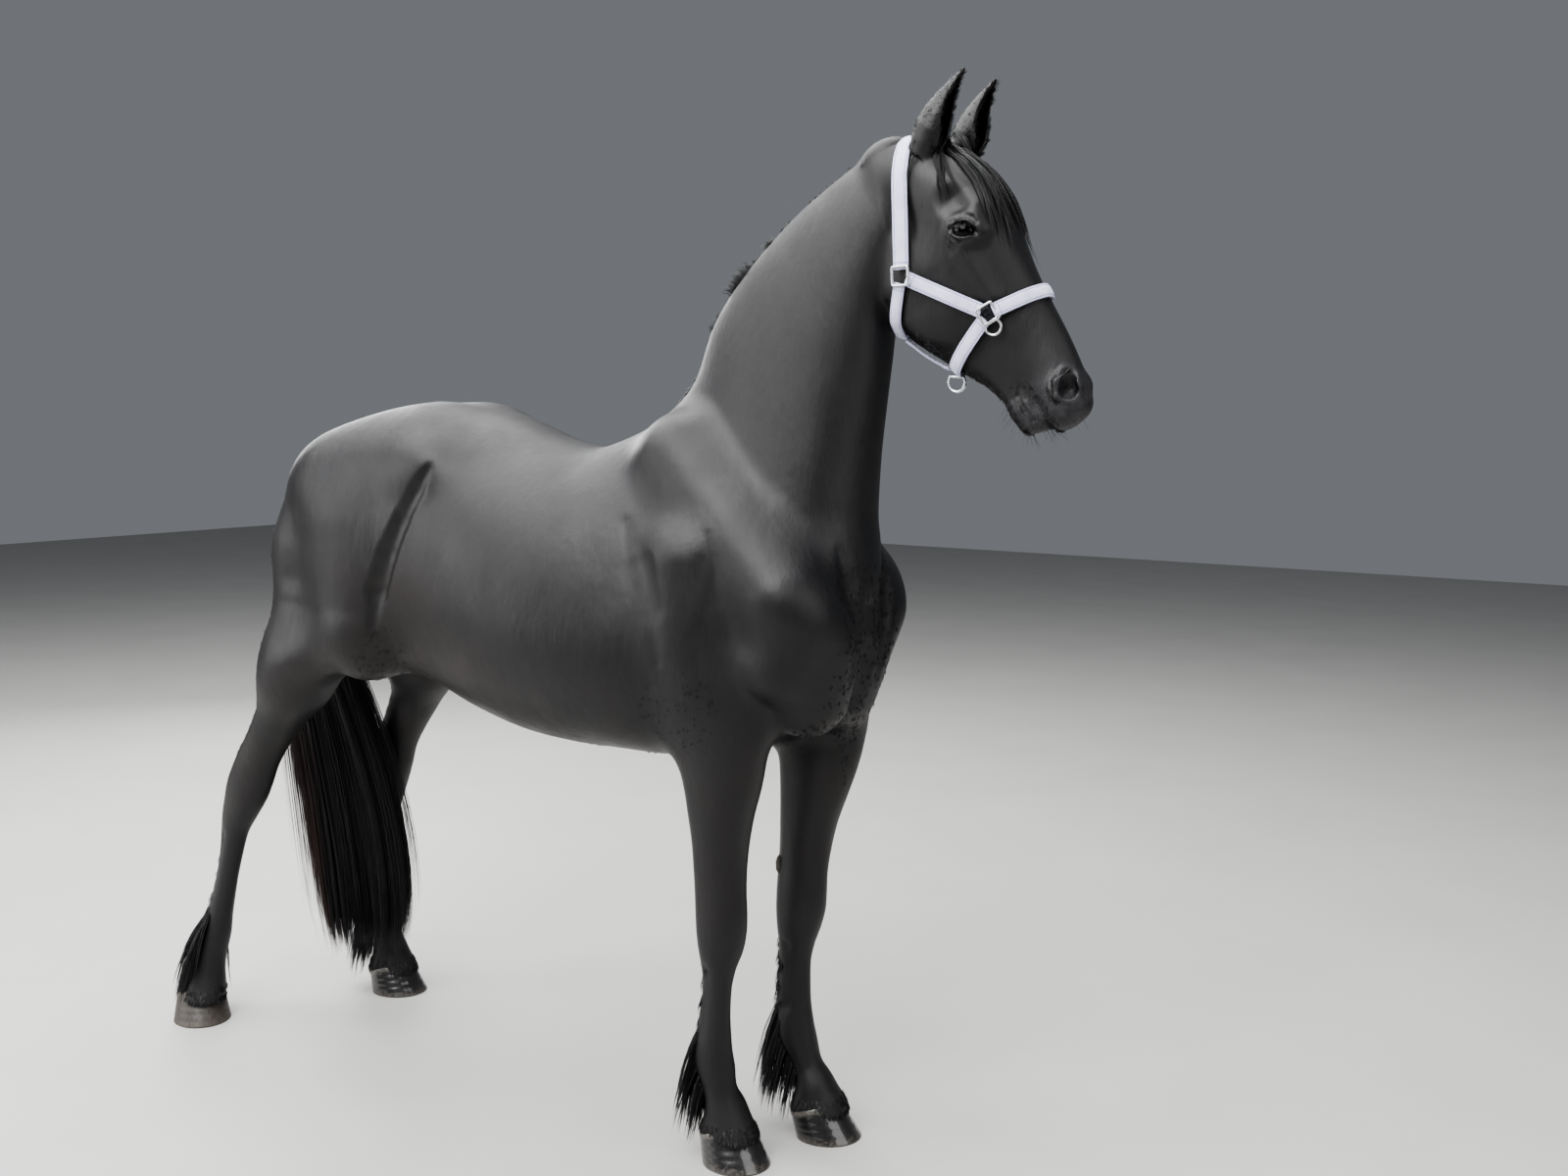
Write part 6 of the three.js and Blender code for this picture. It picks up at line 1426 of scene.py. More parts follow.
# Grooves of the face: each one's places down the face and towards the forehead, its radius and its depth.
# Those round the eye are given from the eye's middle.
EYE_CREASES = (
    ((-0.025, -0.027, -0.021, -0.009, 0.004), (-0.014, 0.004, 0.019, 0.029, 0.032), 0.0036, 0.0042),
    (
        (-0.009, 0.003, 0.018, 0.025, 0.026, 0.033),
        (-0.029, -0.026, -0.017, 0.0, 0.018, 0.031),
        0.0024,
        0.0018,
    ),
)
FACE_CREASES = (
    (
        (0.546, 0.556, 0.568, 0.590, 0.612, 0.628),
        (-0.012, -0.021, -0.023, -0.022, -0.018, -0.004),
        0.0030,
        0.0034,
    ),
    ((0.540, 0.556, 0.574), (-0.026, -0.034, -0.036), 0.0030, 0.0014),
    ((0.538, 0.552, 0.568), (-0.006, -0.006, -0.010), 0.0030, 0.0012),
    ((0.546, 0.560, 0.576), (0.006, 0.004, 0.000), 0.0030, 0.0010),
    ((0.548, 0.560, 0.584, 0.604), (0.078, 0.056, 0.044, 0.046), 0.0060, 0.0004),
)
NOSTRIL_RIM = ((0.566, 0.094, 0.050), (0.574, 0.064, 0.060), (0.600, 0.050, 0.060), (0.618, 0.062, 0.050))


def face_folds() -> list[Shape]:
    """Folds of the face: lids, nostril rims, wrinkles at the mouth, and the groove between the lips."""
    skull = skull_shapes()
    at_eye = [
        (EYE_DOWN + np.array(down), EYE_FORE + np.array(fore), *sizes) for down, fore, *sizes in EYE_CREASES
    ]
    out = []
    for side in (RIGHT, LEFT):
        for down, fore, radius, depth in (*at_eye, *FACE_CREASES):
            radii = [radius * thin for thin in (0.7, *(1.0 for _ in down[2:]), 0.7)]
            out += creases(skull, in_head(down, fore), side * LEFTWARDS, radii, depth, 0.0035)
        groove = [in_head(a, b, side * c) for a, b, c in LIPS]
        out += [Muscle(a, b, 0.0026, 0.0026, blend=0.004, carve=True) for a, b in zip(groove, groove[1:])]
        line = [in_head(a, b, side * c) for a, b, c in NOSTRIL_RIM]
        out += [Muscle(a, b, 0.0030, 0.0030, blend=0.014) for a, b in zip(line, line[1:])]
    return out


EARS = {
    "right": Ear((0.056, 0.038, -0.058), (-0.027, 0.197, -0.064), (0.94, -0.10, 0.10)),
    "left": Ear((0.072, 0.074, 0.058), (-0.019, 0.211, 0.064), (0.90, -0.25, 0.10)),
}

FLESH_NODES = (
    "torso",
    "neck",
    "head",
    "ear_right",
    "ear_left",
    *(f"foreleg_{side}_{part}" for side in SIDES for part in ("upper", "lower")),
    *(f"hindleg_{side}_{part}" for side in SIDES for part in ("upper", "lower")),
)

BODY_BOX = ((-1.64, -0.39, 0.02), (0.57, 0.39, 2.20))
BODY_STEP = 0.007
HEAD_BOX = ((0.12, -0.17, 1.50), (0.88, 0.17, 2.31))
HEAD_STEP = 0.0024
SEAM_AT = (0.171, 0.0, 1.988)  # a flat cut through the neck, where the two grids meet
SEAM_WAY = (0.814, 0.0, 0.582)
SEAM_GAP = 0.006
SKIN_FACES = {"body": 90000, "head": 105000}
BARE_NOSE = (0.640, 0.030)
BROWN_FLANK = (-0.70, 1.00)


def make_flesh() -> Flesh:
    """Works out the horse's two fields, set in from the solids by the coat's depth."""
    head_shapes = [*skull_shapes(), *head_hollows(), *EARS.values()]
    body = [*body_shapes(), *leg_shapes()]
    coarse = Field.of([*body, *skull_shapes(), *body_folds(body), *leg_folds()], *BODY_BOX, BODY_STEP)
    fine = Field.of([*body, *head_shapes, *face_folds()], *HEAD_BOX, HEAD_STEP)
    for grid in (coarse, fine):
        grid.values += COAT_DEPTH
    return Flesh(coarse, fine)


def bisected(piece: Piece, at: Row, way: Row, clear_far: bool) -> None:
    """Cuts a mesh at a plane and clears what lies on one side of it."""
    pick(piece)
    bpy.ops.object.mode_set(mode="EDIT")
    bpy.ops.mesh.select_all(action="SELECT")
    bpy.ops.mesh.bisect(plane_co=at, plane_no=way, clear_outer=clear_far, clear_inner=not clear_far)
    bpy.ops.object.mode_set(mode="OBJECT")


def bridged(piece: Piece) -> None:
    """Bridges the two open edges of a mesh."""
    pick(piece)
    bpy.ops.object.mode_set(mode="EDIT")
    bpy.ops.mesh.select_mode(type="EDGE")
    bpy.ops.mesh.select_all(action="DESELECT")
    bpy.ops.mesh.select_non_manifold(
        extend=False,
        use_wire=False,
        use_boundary=True,
        use_multi_face=False,
        use_non_contiguous=False,
        use_verts=False,
    )
    bpy.ops.mesh.bridge_edge_loops()
    bpy.ops.object.mode_set(mode="OBJECT")
    face_outwards(piece)


@dataclass
class Skin:
    """The one skin over trunk, neck, head, ears and legs."""

    flesh: Flesh
    material: Material

    def half(self, name: str, grid: Field, clear_far: bool) -> Piece:
        """Makes the skin of one grid, thins out its faces and cuts it at the seam."""
        points, faces = surface_net(grid)
        piece = new_object(name, points, faces)
        apply_modifier(piece, "DECIMATE", ratio=SKIN_FACES[name] / (2 * len(faces)))
        shift = SEAM_GAP if clear_far else 0.0
        at = [a - shift * n for a, n in zip(SEAM_AT, SEAM_WAY)]
        bisected(piece, at, SEAM_WAY, clear_far)
        return piece

    def build(self) -> Piece:
        """Builds the skin with the masks that its material reads."""
        halves = [self.half("body", self.flesh.body, True), self.half("head", self.flesh.head, False)]
        piece = joined(halves, "skin")
        bridged(piece)
        self.points = self.flesh.on_surface(points_of(piece))
        self.normals = self.flesh.gradient(self.points)
        angle = turn_angle(self.points)
        c, s = np.cos(angle), np.sin(angle)
        x, y, z = self.normals.T
        self.mark(piece)
        set_points(piece, settle(self.points))
        piece.data.polygons.foreach_set("use_smooth", np.ones(len(piece.data.polygons), bool))
        facing = np.stack([x * c - y * s, x * s + y * c, z], -1)
        piece.data.normals_split_custom_set_from_vertices(facing.tolist())
        return dress(piece, self.material, Slot.COAT, *FLESH_NODES)

    def mark(self, piece: Piece) -> None:
        """Stores where the skin is bare, brown or dusty."""
        points, z = self.points, self.points[:, 2]
        from_nose = np.linalg.norm((points - in_head(*BARE_NOSE)) * (1, 1.05, 1), axis=1)
        bare = 1 - smooth_step(from_nose, 0.060, 0.135)
        for side in (RIGHT, LEFT):
            eye = in_head(EYE_DOWN, EYE_FORE, side * (EYE_SIDE + 0.022))
            from_eye = np.linalg.norm(points - eye, axis=1)
            bare = np.maximum(bare, 0.35 * (1 - smooth_step(from_eye, 0.017, 0.034)))
        low = 1 - smooth_step(z, 0.75, 1.20)
        flank = 1 - smooth_step(np.linalg.norm(points[:, ::2] - BROWN_FLANK, axis=1), 0.10, 0.40)
        low = low * smooth_step(z, 0.35, 0.80)
        tinge = np.clip(0.40 * low + 0.75 * flank * (self.normals[:, 2] < 0.35) + 0.12, 0, 1)
        dust = 0.30 * (1 - smooth_step(z, 0.080, 0.105)) + 0.04 * (1 - smooth_step(z, 0.15, 0.5))
        for name, values in (("bare", bare), ("tinge", tinge), ("dust", dust)):
            set_mask(piece, name, values)


# Eyes, hooves and chestnuts


@dataclass
class Eye:
    """One eye ball with a bulging clear front and a long level pupil."""

    name: str
    side: int
    material: Material
    bulge: float = 0.045
    bulge_edge: float = 0.75
    stretch: float = 0.16
    sunk: float = 0.0012
    iris: float = 1.3
    pupil: tuple[float, float] = (0.52, 0.20)

    def build(self) -> Piece:
        """Builds the eye."""
        gaze = unit(np.array([0.30, self.side * 0.95, -0.06]))
        piece = unit_ball(f"eyeball_{self.name}", 72, 48)
        ball = points_of(piece)
        angle = np.arccos(np.clip(ball[:, 2], -1, 1))
        bulge = 1 + self.bulge * np.clip(1 - (angle / self.bulge_edge) ** 2, 0, 1)
        level = unit(np.cross(gaze, (0.0, 0.0, 1.0)))
        above = np.cross(level, gaze)
        along, over = ball[:, 0], ball[:, 1]
        ball = (ball[:, :1] * level + ball[:, 1:2] * above + ball[:, 2:] * gaze) * bulge[:, None]
        long_way = SLIT[0] * DOWN_FACE + SLIT[1] * FORE_FACE
        ball = ball + self.stretch * (ball @ long_way)[:, None] * long_way
        middle = in_head(EYE_DOWN, EYE_FORE, self.side * EYE_SIDE)
        set_points(piece, settle(middle + ball * (EYE_RADIUS - self.sunk)))
        set_mask(piece, "gaze", angle / self.iris)
        set_mask(piece, "level", np.hypot(along / self.pupil[0], over / self.pupil[1]))
        set_uv(piece, "Eye", np.stack([np.arctan2(over, along) / (2 * math.pi) + 0.5, angle / 2], -1))
        return dress(piece, self.material, Slot.EYE, f"eye_{self.name}")


HOOF_LENGTH = 0.077
HOOF_WIDTH = 0.071
HOOF_TOE = 0.084
HOOF_HEEL = 0.052
HOOF_FLARE = 0.8
HOOF_SOLE = ((0.0, 0.006), (0.0, 0.0015), (0.012, 0.0))
HOOF_RIM = ((0.985, 0.0004), (1.0, 0.0018), (1.006, 0.004), (0.99, 0.010))


@dataclass
class Hoof:
    """A slanted wall of horn on its flat sole, rounded over at the coronet."""

    name: str
    x: float
    y: float
    side: int
    turn: float
    wall: float
    around: int = 96
    rings: int = 26

    def ring(self, level: float, inset: float = 0.0) -> Array:
        """Gives the points of the wall at a share of its height, drawn in by a distance."""
        a = 2 * math.pi * np.arange(self.around) / self.around
        front = 0.5 + 0.5 * np.cos(a)
        height = mix(HOOF_HEEL, HOOF_TOE, front) * level
        shrink = mix(1, HOOF_FLARE, level * 0.9)
        heel = np.clip(-np.cos(a) - 0.55, 0, 1)
        growth = 0.0003 * np.sin(2 * math.pi * 5 * level + 0.6 * np.sin(a)) * smooth_step(level, 0.05, 0.2)
        along = (HOOF_LENGTH - inset + growth) * np.cos(a) * shrink * (1 - 0.3 * heel)
        cleft = 0.012 * np.exp(-(((a - math.pi) / 0.16) ** 2))
        u = along + cleft - height * 0.62 / math.tan(math.radians(self.wall))
        v = (HOOF_WIDTH - inset + growth) * np.sin(a) * shrink
        angle = math.radians(self.turn) * self.side
        c, s = math.cos(angle), math.sin(angle)
        return np.stack([self.x + u * c - v * s, self.y + u * s + v * c, height], -1)

    def build(self, material: Material) -> Piece:
        """Builds the hoof with a map up and round its wall."""
        wall = [(k / self.rings, 0.0) for k in range(1, self.rings)]
        levels = [*HOOF_SOLE, *wall, *HOOF_RIM]
        points, faces = sweep(np.stack([self.ring(*level) for level in levels]))
        piece = new_object(f"horn_{self.name}", points + OFFSET, faces)
        up = np.repeat([level for level, _ in levels], self.around)
        turn = np.tile(np.arange(self.around) / self.around, len(levels))
        set_uv(piece, "Wall", np.vstack([np.stack([turn, up], -1), [(0.5, 0.0), (0.5, 1.0)]]))
        return dress(piece, material, Slot.HORN, f"hoof_{self.name}")


HOOVES = (
    Hoof("front_right", 0.111, -0.103, RIGHT, 14, 50),
    Hoof("front_left", 0.207, 0.121, LEFT, 10, 50),
    Hoof("hind_right", -1.508, -0.166, RIGHT, 36, 56),
    Hoof("hind_left", -1.234, 0.271, LEFT, 8, 54),
)
DRY_HOOF = "hind_right"
CHESTNUT_HEIGHT = 0.602
CHESTNUT_HALF_SIZE = (0.009, 0.007, 0.020)


def build_chestnuts(flesh: Flesh, horn: Material) -> None:
    """Sets the small horny growths on the inner sides of the forearms, above the knees."""
    for name, side in SIDES.items():
        piece = unit_ball(f"chestnut_{name}", 24, 14)
        ball = points_of(piece)
        rough = 1 + 0.10 * np.sin(9 * ball[:, 2] + 4 * ball[:, 0]) * np.cos(7 * ball[:, 1])
        section = Limb(FORELEG[name], side, LEG_BLEND).at(np.array(CHESTNUT_HEIGHT))
        cx, cy, deep, wide, _, _ = (float(v) for v in section)
        place = np.array([(cx - 0.76 * deep, cy - 0.66 * side * wide, CHESTNUT_HEIGHT)])
        place = flesh.on_surface(place, -0.001)[0]
        set_points(piece, settle(place + ball * rough[:, None] * CHESTNUT_HALF_SIZE))
        dress(piece, horn, Slot.HORN)


# Halter


CHEEK_RING = (0.247, -0.096)
NOSE_RING = (0.400, 0.016)
OVER_POLL = (0.0, 0.040)
OVER_NOSE = (0.408, 0.130)
UNDER_CHIN = (0.448, -0.120)
UNDER_THROAT = (0.330, -0.180)
STRAP_WIDTH = 0.028
CROWN_WIDTH = 0.032
THROAT_WIDTH = 0.024
STRAP_THICK = 0.005
STRAP_LIFT = 0.0022
NEAR_RING = 0.014
HEAD_CORE = in_head(0.280, -0.010)
CHEEK_RAY = 0.20
HEAD_RAY = 0.26
ACROSS_STRAP = (-0.5, 0, 0.5)
FITTING_LIFT = STRAP_LIFT + STRAP_THICK + 0.0050
CHIN_RING_DROP = STRAP_THICK + 0.0045 + 0.006

# Steel fittings: half the side of a square or the radius of a bow, its corner, and its bar's radius.
CHEEK_SQUARE = (0.018, 0.004, 0.0029)
NOSE_SQUARE = (0.017, 0.0035, 0.0027)
NOSE_BOW = (0.0155, 0.0026)
CHIN_BOW = (0.017, 0.0029)

# Half of a strap's section: across its width, and up through its thickness.
STRAP_SECTION = (
    (0.0, 1.0),
    (0.14, 0.985),
    (0.26, 0.93),
    (0.335, 0.80),
    (0.362, 0.66),
    (0.39, 0.74),
    (0.43, 0.76),
    (0.475, 0.68),
    (0.5, 0.50),
    (0.5, 0.20),
    (0.47, 0.04),
    (0.40, 0.0),
)
STITCH_PLACE = 0.362
STITCH_STEP = 0.0062
STITCH_LENGTH = 0.0042
STITCH_RADIUS = 0.0007
STITCH_MARGIN = 0.004
STITCH_RISE = 0.70
STITCH_CROWN = 0.0003
FOLDED_END = 0.0135  # how far a strap's end is folded back and sewn down
FOLD_SLOPE = 0.003
FOLD_SWELL = 0.35
BAND_STEPS = 24
SPARE_STEPS = 6
BAND_POINTS = 61
BAND_MIDDLE = BAND_POINTS // 2
JAW_STRAP_SAG = 0.005


def reach_out(shapes: Sequence[Shape], start: Array, way: Array, most: float) -> Array:
    """Finds how far from inner points, along directions, the outermost surface lies.

    Args:
        shapes: The shapes that make the surface.
        start: One inner point for each ray.
        way: One direction for all rays, or one for each.
        most: How far out to begin.

    Returns:
        The distance along each ray.
    """
    stride = 0.005
    t = np.arange(0, most, stride)
    way = np.broadcast_to(way, start.shape)
    inside = distance_at(shapes, start[:, None] + t[None, :, None] * way[:, None]) <= 0
    last = len(t) - 1 - np.argmax(inside[:, ::-1], axis=1)
    inner, outer = t[last], t[last] + stride
    for _ in range(8):
        middle = (inner + outer) / 2
        out = distance_at(shapes, start + middle[:, None] * way) > 0
        inner, outer = np.where(out, inner, middle), np.where(out, middle, outer)
    return outer


def fan(along: Array, angles: Array) -> Array:
    """Gives ways turned to the left by angles from one along the midline."""
    return np.cos(angles)[:, None] * along + np.sin(angles)[:, None] * LEFTWARDS


def step_from(a: Row, b: Row, distance: float) -> Array:
    """Gives the place between two that lies a distance from the first."""
    a, b = np.array(a), np.array(b)
    return a + unit(b - a) * distance


def hull_reach(angles: Array, radii: Array, wanted: Array) -> Array:
    """Stretches a line straight over its hollows.

    Args:
        angles: The angles of the line's points, growing.
        radii: Their distances from the middle.
        wanted: The angles at which the stretched line is wanted.

    Returns:
        The stretched line's distances from the middle.
    """
    flat = np.stack([radii * np.cos(angles), radii * np.sin(angles)], -1)
    hull: list[Array] = []
    for p in flat:
        while len(hull) > 1:
            (ax, ay), (bx, by) = hull[-2], hull[-1]
            if (bx - ax) * (p[1] - ay) - (by - ay) * (p[0] - ax) >= 0:
                break
            hull.pop()
        hull.append(p)
    out = np.zeros(len(wanted))
    for p, q in zip(hull, hull[1:]):
        c, s = np.cos(wanted), np.sin(wanted)
        span = q - p
        bottom = c * span[1] - s * span[0]
        r = (p[0] * q[1] - p[1] * q[0]) / np.where(np.abs(bottom) < 1e-9, 1e-9, bottom)
        t = ((r * c - p[0]) * span[0] + (r * s - p[1]) * span[1]) / (span @ span)
        out = np.where((r > 0) & (t > -1e-6) & (t < 1 + 1e-6), np.maximum(out, r), out)
    return out


@dataclass
class Band:
    """The line of a strap round the head or along its side, and the way of its width."""

    line: Array
    square: Array


@dataclass
class Halter:
    """A halter of padded webbing with steel fittings."""

    shapes: Sequence[Shape]
    webbing: Material
    thread: Material
    steel: Material
    dark_steel: Material
    stitches: list[Array] = field(default_factory=list)

    def side_angle(self, centre: Array, towards: Row, place: Array) -> float:
        """Gives the angle round a strap's middle at which a place on the left cheek lies."""
        start = in_head(*centre)
        along = unit(in_head(*towards) - start)
        p = self.on_cheek(place, LEFT, STRAP_LIFT) - start
        return math.atan2(p[1], p[0] * along[0] + p[2] * along[2])

    def on_cheek(self, place: Row, side: int, lift: float) -> Array:
        """Finds a point on the side of the head."""
        start = in_head(place[0], place[1])
        far = reach_out(self.shapes, start[None], side * LEFTWARDS, CHEEK_RAY)[0] + lift
        return np.array([start[0], side * far, start[2]])

    def outmost(self, shapes: Sequence[Shape], starts: Array, edge: Array, ways: Array, ray: float) -> Array:
        """Gives how far rays from the two edges and the middle of a strap reach at most."""
        return np.max([reach_out(shapes, starts + edge * f, ways, ray) for f in ACROSS_STRAP], axis=0)

    def over(self, ring: Row, peak: Row, width: float, shapes: Sequence[Shape] | None = None) -> Band:
        """Lays a strap from the right side to the left, over the top or under the jaw."""
        shapes = shapes or self.shapes
        centre = step_from(ring, peak, 0.42 * math.dist(peak, ring))
        end = self.side_angle(centre, peak, step_from(ring, peak, NEAR_RING))
        start = in_head(*centre)
        along = unit(in_head(*peak) - start)
        square = np.array([along[2], 0.0, -along[0]])
        step = 2 * end / BAND_STEPS
        angles = -end + step * np.arange(-SPARE_STEPS, BAND_STEPS + SPARE_STEPS + 1)
        starts = np.tile(start, (len(angles), 1))
        radii = self.outmost(shapes, starts, square * width, fan(along, angles), HEAD_RAY)
        wanted = np.linspace(-end, end, BAND_POINTS)
        reach = hull_reach(angles, radii + STRAP_LIFT, wanted)
        return Band(start + reach[:, None] * fan(along, wanted), square)

    def along_cheek(self, side: int) -> Band:
        """Lays a strap over the side of the head, between its rings."""
        a, b = step_from(CHEEK_RING, NOSE_RING, NEAR_RING), step_from(NOSE_RING, CHEEK_RING, NEAR_RING)
        square = unit(in_head(b[1] - a[1], a[0] - b[0]) - in_head(0, 0))
        t = np.linspace(0, 1, 25)[:, None]
        places = a + (b - a) * t
        starts = in_head(places[:, 0], places[:, 1])
        far = self.outmost(self.shapes, starts, square * STRAP_WIDTH, side * LEFTWARDS, CHEEK_RAY)
        starts[:, 1] = side * (far + STRAP_LIFT)
        return Band(starts, square)

    def under_jaw(self, throat: Band, chin: Band) -> Band:
        """Lays the strap on the midline between the throat strap and the chin strap."""
        back, front = throat.line[BAND_MIDDLE], chin.line[BAND_MIDDLE]
        way = unit(front - back)
        margin = THROAT_WIDTH / 2 + 0.001
        reach = math.dist(back, front) - 2 * margin - 0.003
        t = np.linspace(0, 1, 21)[:, None]
        line = back + way * (margin + reach * t) - np.array([0, 0, JAW_STRAP_SAG]) * np.sin(math.pi * t)
        return Band(line, LEFTWARDS)

    def strap(self, name: str, band: Band, width: float) -> Piece:
        """Makes a padded strap along its band, and keeps the lines of its stitches."""
        line = band.line
        along = unit(np.gradient(line, axis=0))
        across = unit(band.square - (along @ band.square)[:, None] * along)
        out = np.cross(across, along)
        out *= np.sign(np.sum(out * (line - HEAD_CORE), axis=1))[:, None]
        right = np.array(STRAP_SECTION)
        left = right[::-1] * (-1, 1)
        section = np.vstack([right, left[:-1]])
        run = np.concatenate([[0], np.cumsum(np.linalg.norm(np.diff(line, axis=0), axis=1))])
        from_end = np.minimum(run, run[-1] - run)
        folded = 1 - smooth_step(from_end, FOLDED_END, FOLDED_END + FOLD_SLOPE)
        thick = STRAP_THICK * (1 + FOLD_SWELL * folded)
        rings = (
            line[:, None]
            + section[None, :, :1] * width * across[:, None]
            + section[None, :, 1:] * thick[:, None, None] * out[:, None]
        )
        points, faces = sweep(rings)
        piece = new_object(f"{name}_webbing", settle(points), faces)
        face_outwards(piece)
        set_mask(piece, "end", np.append(np.repeat(from_end, len(section)), (0.0, 0.0)))
        u = np.tile(section[:, 0] + 0.5, len(line))
        v = np.repeat(run, len(section))
        ends = [(0.5, 0.0), (0.5, run[-1])]
        set_uv(piece, "Weave", np.vstack([np.stack([u, v], -1), ends]))
        for edge in (-1, 1):
            rows = line + edge * STITCH_PLACE * width * across + STITCH_RISE * STRAP_THICK * out
            for start in np.arange(STITCH_MARGIN, run[-1] - STITCH_MARGIN, STITCH_STEP):
                ends = [start, start + STITCH_LENGTH / 2, start + STITCH_LENGTH]
                path = np.stack([np.interp(ends, run, rows[:, i]) for i in range(3)], -1)
                path[1] += STITCH_CROWN * np.array([np.interp(start, run, out[:, i]) for i in range(3)])
                self.stitches.append(path)
        return dress(piece, self.webbing, Slot.WEBBING, name)

    def sew(self) -> None:
        """Makes all the stitches as one piece."""
        points, faces = stacked([tube(path, STITCH_RADIUS, 6) for path in self.stitches])
        dress(new_object("halter_stitching", settle(points), faces), self.thread, Slot.WEBBING)

    def fitting_frame(self, place: Row, towards: Row, side: int) -> tuple[Array, Array]:
        """Gives the middle of a fitting that lies on the cheek, and its ways along, across and out."""
        middle = self.on_cheek(place, side, FITTING_LIFT)
        a, b = step_from(place, towards, NEAR_RING) - place
        steps = ((a, b), (-a, -b), (-b, a), (b, -a))
        near = [self.on_cheek((place[0] + a, place[1] + b), side, FITTING_LIFT) for a, b in steps]
        along = unit(near[0] - near[1])
        fore = unit(near[2] - near[3])
        out = unit(np.cross(along, fore))
        if out[1] * side < 0:
            out = -out
        return middle, np.stack([along, np.cross(out, along), out])

    def bar(self, outline: Array, radius: float, middle: Array, ways: Array) -> tuple[Array, Array]:
        """Bends a round bar to a closed outline that lies flat on the given ways."""
        path = middle + outline[:, :1] * ways[0] + outline[:, 1:2] * ways[1]
        return tube(path, radius, 12, closed=True)

    def metal(
        self, name: str, parts: Sequence[tuple[Array, Array]], material: Material, *nodes: str
    ) -> None:
        """Makes a steel piece from the meshes of its parts."""
        points, faces = stacked(parts)
        piece = new_object(name, settle(points), faces)
        face_outwards(piece)
        bpy.ops.object.shade_smooth_by_angle(angle=math.radians(40))
        dress(piece, material, Slot.STEEL, *nodes)

    def build(self) -> None:
        """Builds straps, stitches and fittings."""
        skull = skull_shapes()
        throat = self.over(CHEEK_RING, UNDER_THROAT, THROAT_WIDTH, skull)
        chin = self.over(NOSE_RING, UNDER_CHIN, STRAP_WIDTH)
        self.strap("halter_crown", self.over(CHEEK_RING, OVER_POLL, CROWN_WIDTH), CROWN_WIDTH)
        self.strap("halter_noseband", self.over(NOSE_RING, OVER_NOSE, STRAP_WIDTH), STRAP_WIDTH)
        self.strap("halter_chin", chin, STRAP_WIDTH)
        self.strap("halter_throat", throat, THROAT_WIDTH)
        self.strap("halter_jaw_strap", self.under_jaw(throat, chin), THROAT_WIDTH)
        for name, side in SIDES.items():
            self.strap(f"halter_cheek_{name}", self.along_cheek(side), STRAP_WIDTH)
            *square, thick = CHEEK_SQUARE
            ring = self.bar(square_outline(*square), thick, *self.fitting_frame(CHEEK_RING, OVER_POLL, side))
            self.metal(f"square_ring_{name}", [ring], self.steel, f"halter_square_ring_{name}")
            middle, ways = self.fitting_frame(NOSE_RING, (NOSE_RING[0] + 0.1, NOSE_RING[1]), side)
            bow = (NOSE_RING[0] + 0.020, NOSE_RING[1] - 0.004)
            *square, thick = NOSE_SQUARE
            size, thin = NOSE_BOW
            parts = [
                self.bar(square_outline(*square), thick, middle, ways),
                self.bar(bow_outline(size), thin, *self.fitting_frame(bow, (bow[0] + 0.1, bow[1]), side)),
            ]
            self.metal(f"nose_fitting_{name}", parts, self.steel, f"halter_nose_fitting_{name}")
            self.metal(f"nose_plate_{name}", plate(middle, ways), self.dark_steel)
        under = chin.line[BAND_MIDDLE]
        down = unit(under - HEAD_CORE)
        out = np.array([down[0], 0.0, down[2]])
        wide = unit(DOWN_FACE - out * (DOWN_FACE @ out))
        middle = under * (1, 0, 1) + out * CHIN_RING_DROP
        ring = self.bar(bow_outline(CHIN_BOW[0]), CHIN_BOW[1], middle, np.stack([out, wide]))
        self.metal("chin_ring", [ring], self.steel, "halter_chin_ring")
        self.sew()


def square_outline(half: float, corner: float) -> Array:
    """Outline of a round-cornered square."""
    out = []
    for quarter in range(4):
        middle = math.pi / 2 * (quarter + 0.5)
        cx, cy = (math.copysign(half - corner, f(middle)) for f in (math.cos, math.sin))
        for k in range(6):
            a = math.pi / 2 * (quarter + k / 5)
            out.append((cx + corner * math.cos(a), cy + corner * math.sin(a)))
    return np.array(out)


def bow_outline(radius: float) -> Array:
    """Outline of a D: a straight bar and a round bow."""
    bar = [(-0.35 * radius, y * radius) for y in (-0.86, -0.5, 0.0, 0.5, 0.86)]
    arc = [(radius * (0.35 + math.cos(a)), radius * math.sin(a)) for a in np.linspace(2.0, -2.0, 24)]
    return np.array(bar + arc)


def plate(middle: Array, ways: Array) -> list[tuple[Array, Array]]:
    """A bevelled steel plate with three raised bars, across the ring of the nose fitting."""
    half, wide, thick, bevel = 0.0165, 0.0085, 0.0018, 0.0006
    out = []
    raised = [(shift * half, 0.12, 0.8, thick, 1.9 * thick) for shift in (-0.6, 0, 0.6)]
    for shift, long, broad, low, high in ((0.0, 1.0, 1.0, -thick, thick), *raised):
        rings = []
        for height, inset in ((low, bevel), (low + bevel, 0.0), (high - bevel, 0.0), (high, bevel)):
            a, b = long * half - inset, broad * wide - inset
            flat = np.array([(-a, -b), (0, -b), (a, -b), (a, 0), (a, b), (0, b), (-a, b), (-a, 0)])
            flat = flat + (shift, 0)
            rings.append(middle + flat[:, :1] * ways[0] + flat[:, 1:] * ways[1] + height * ways[2])
        out.append(sweep(np.stack(rings)))
    return out


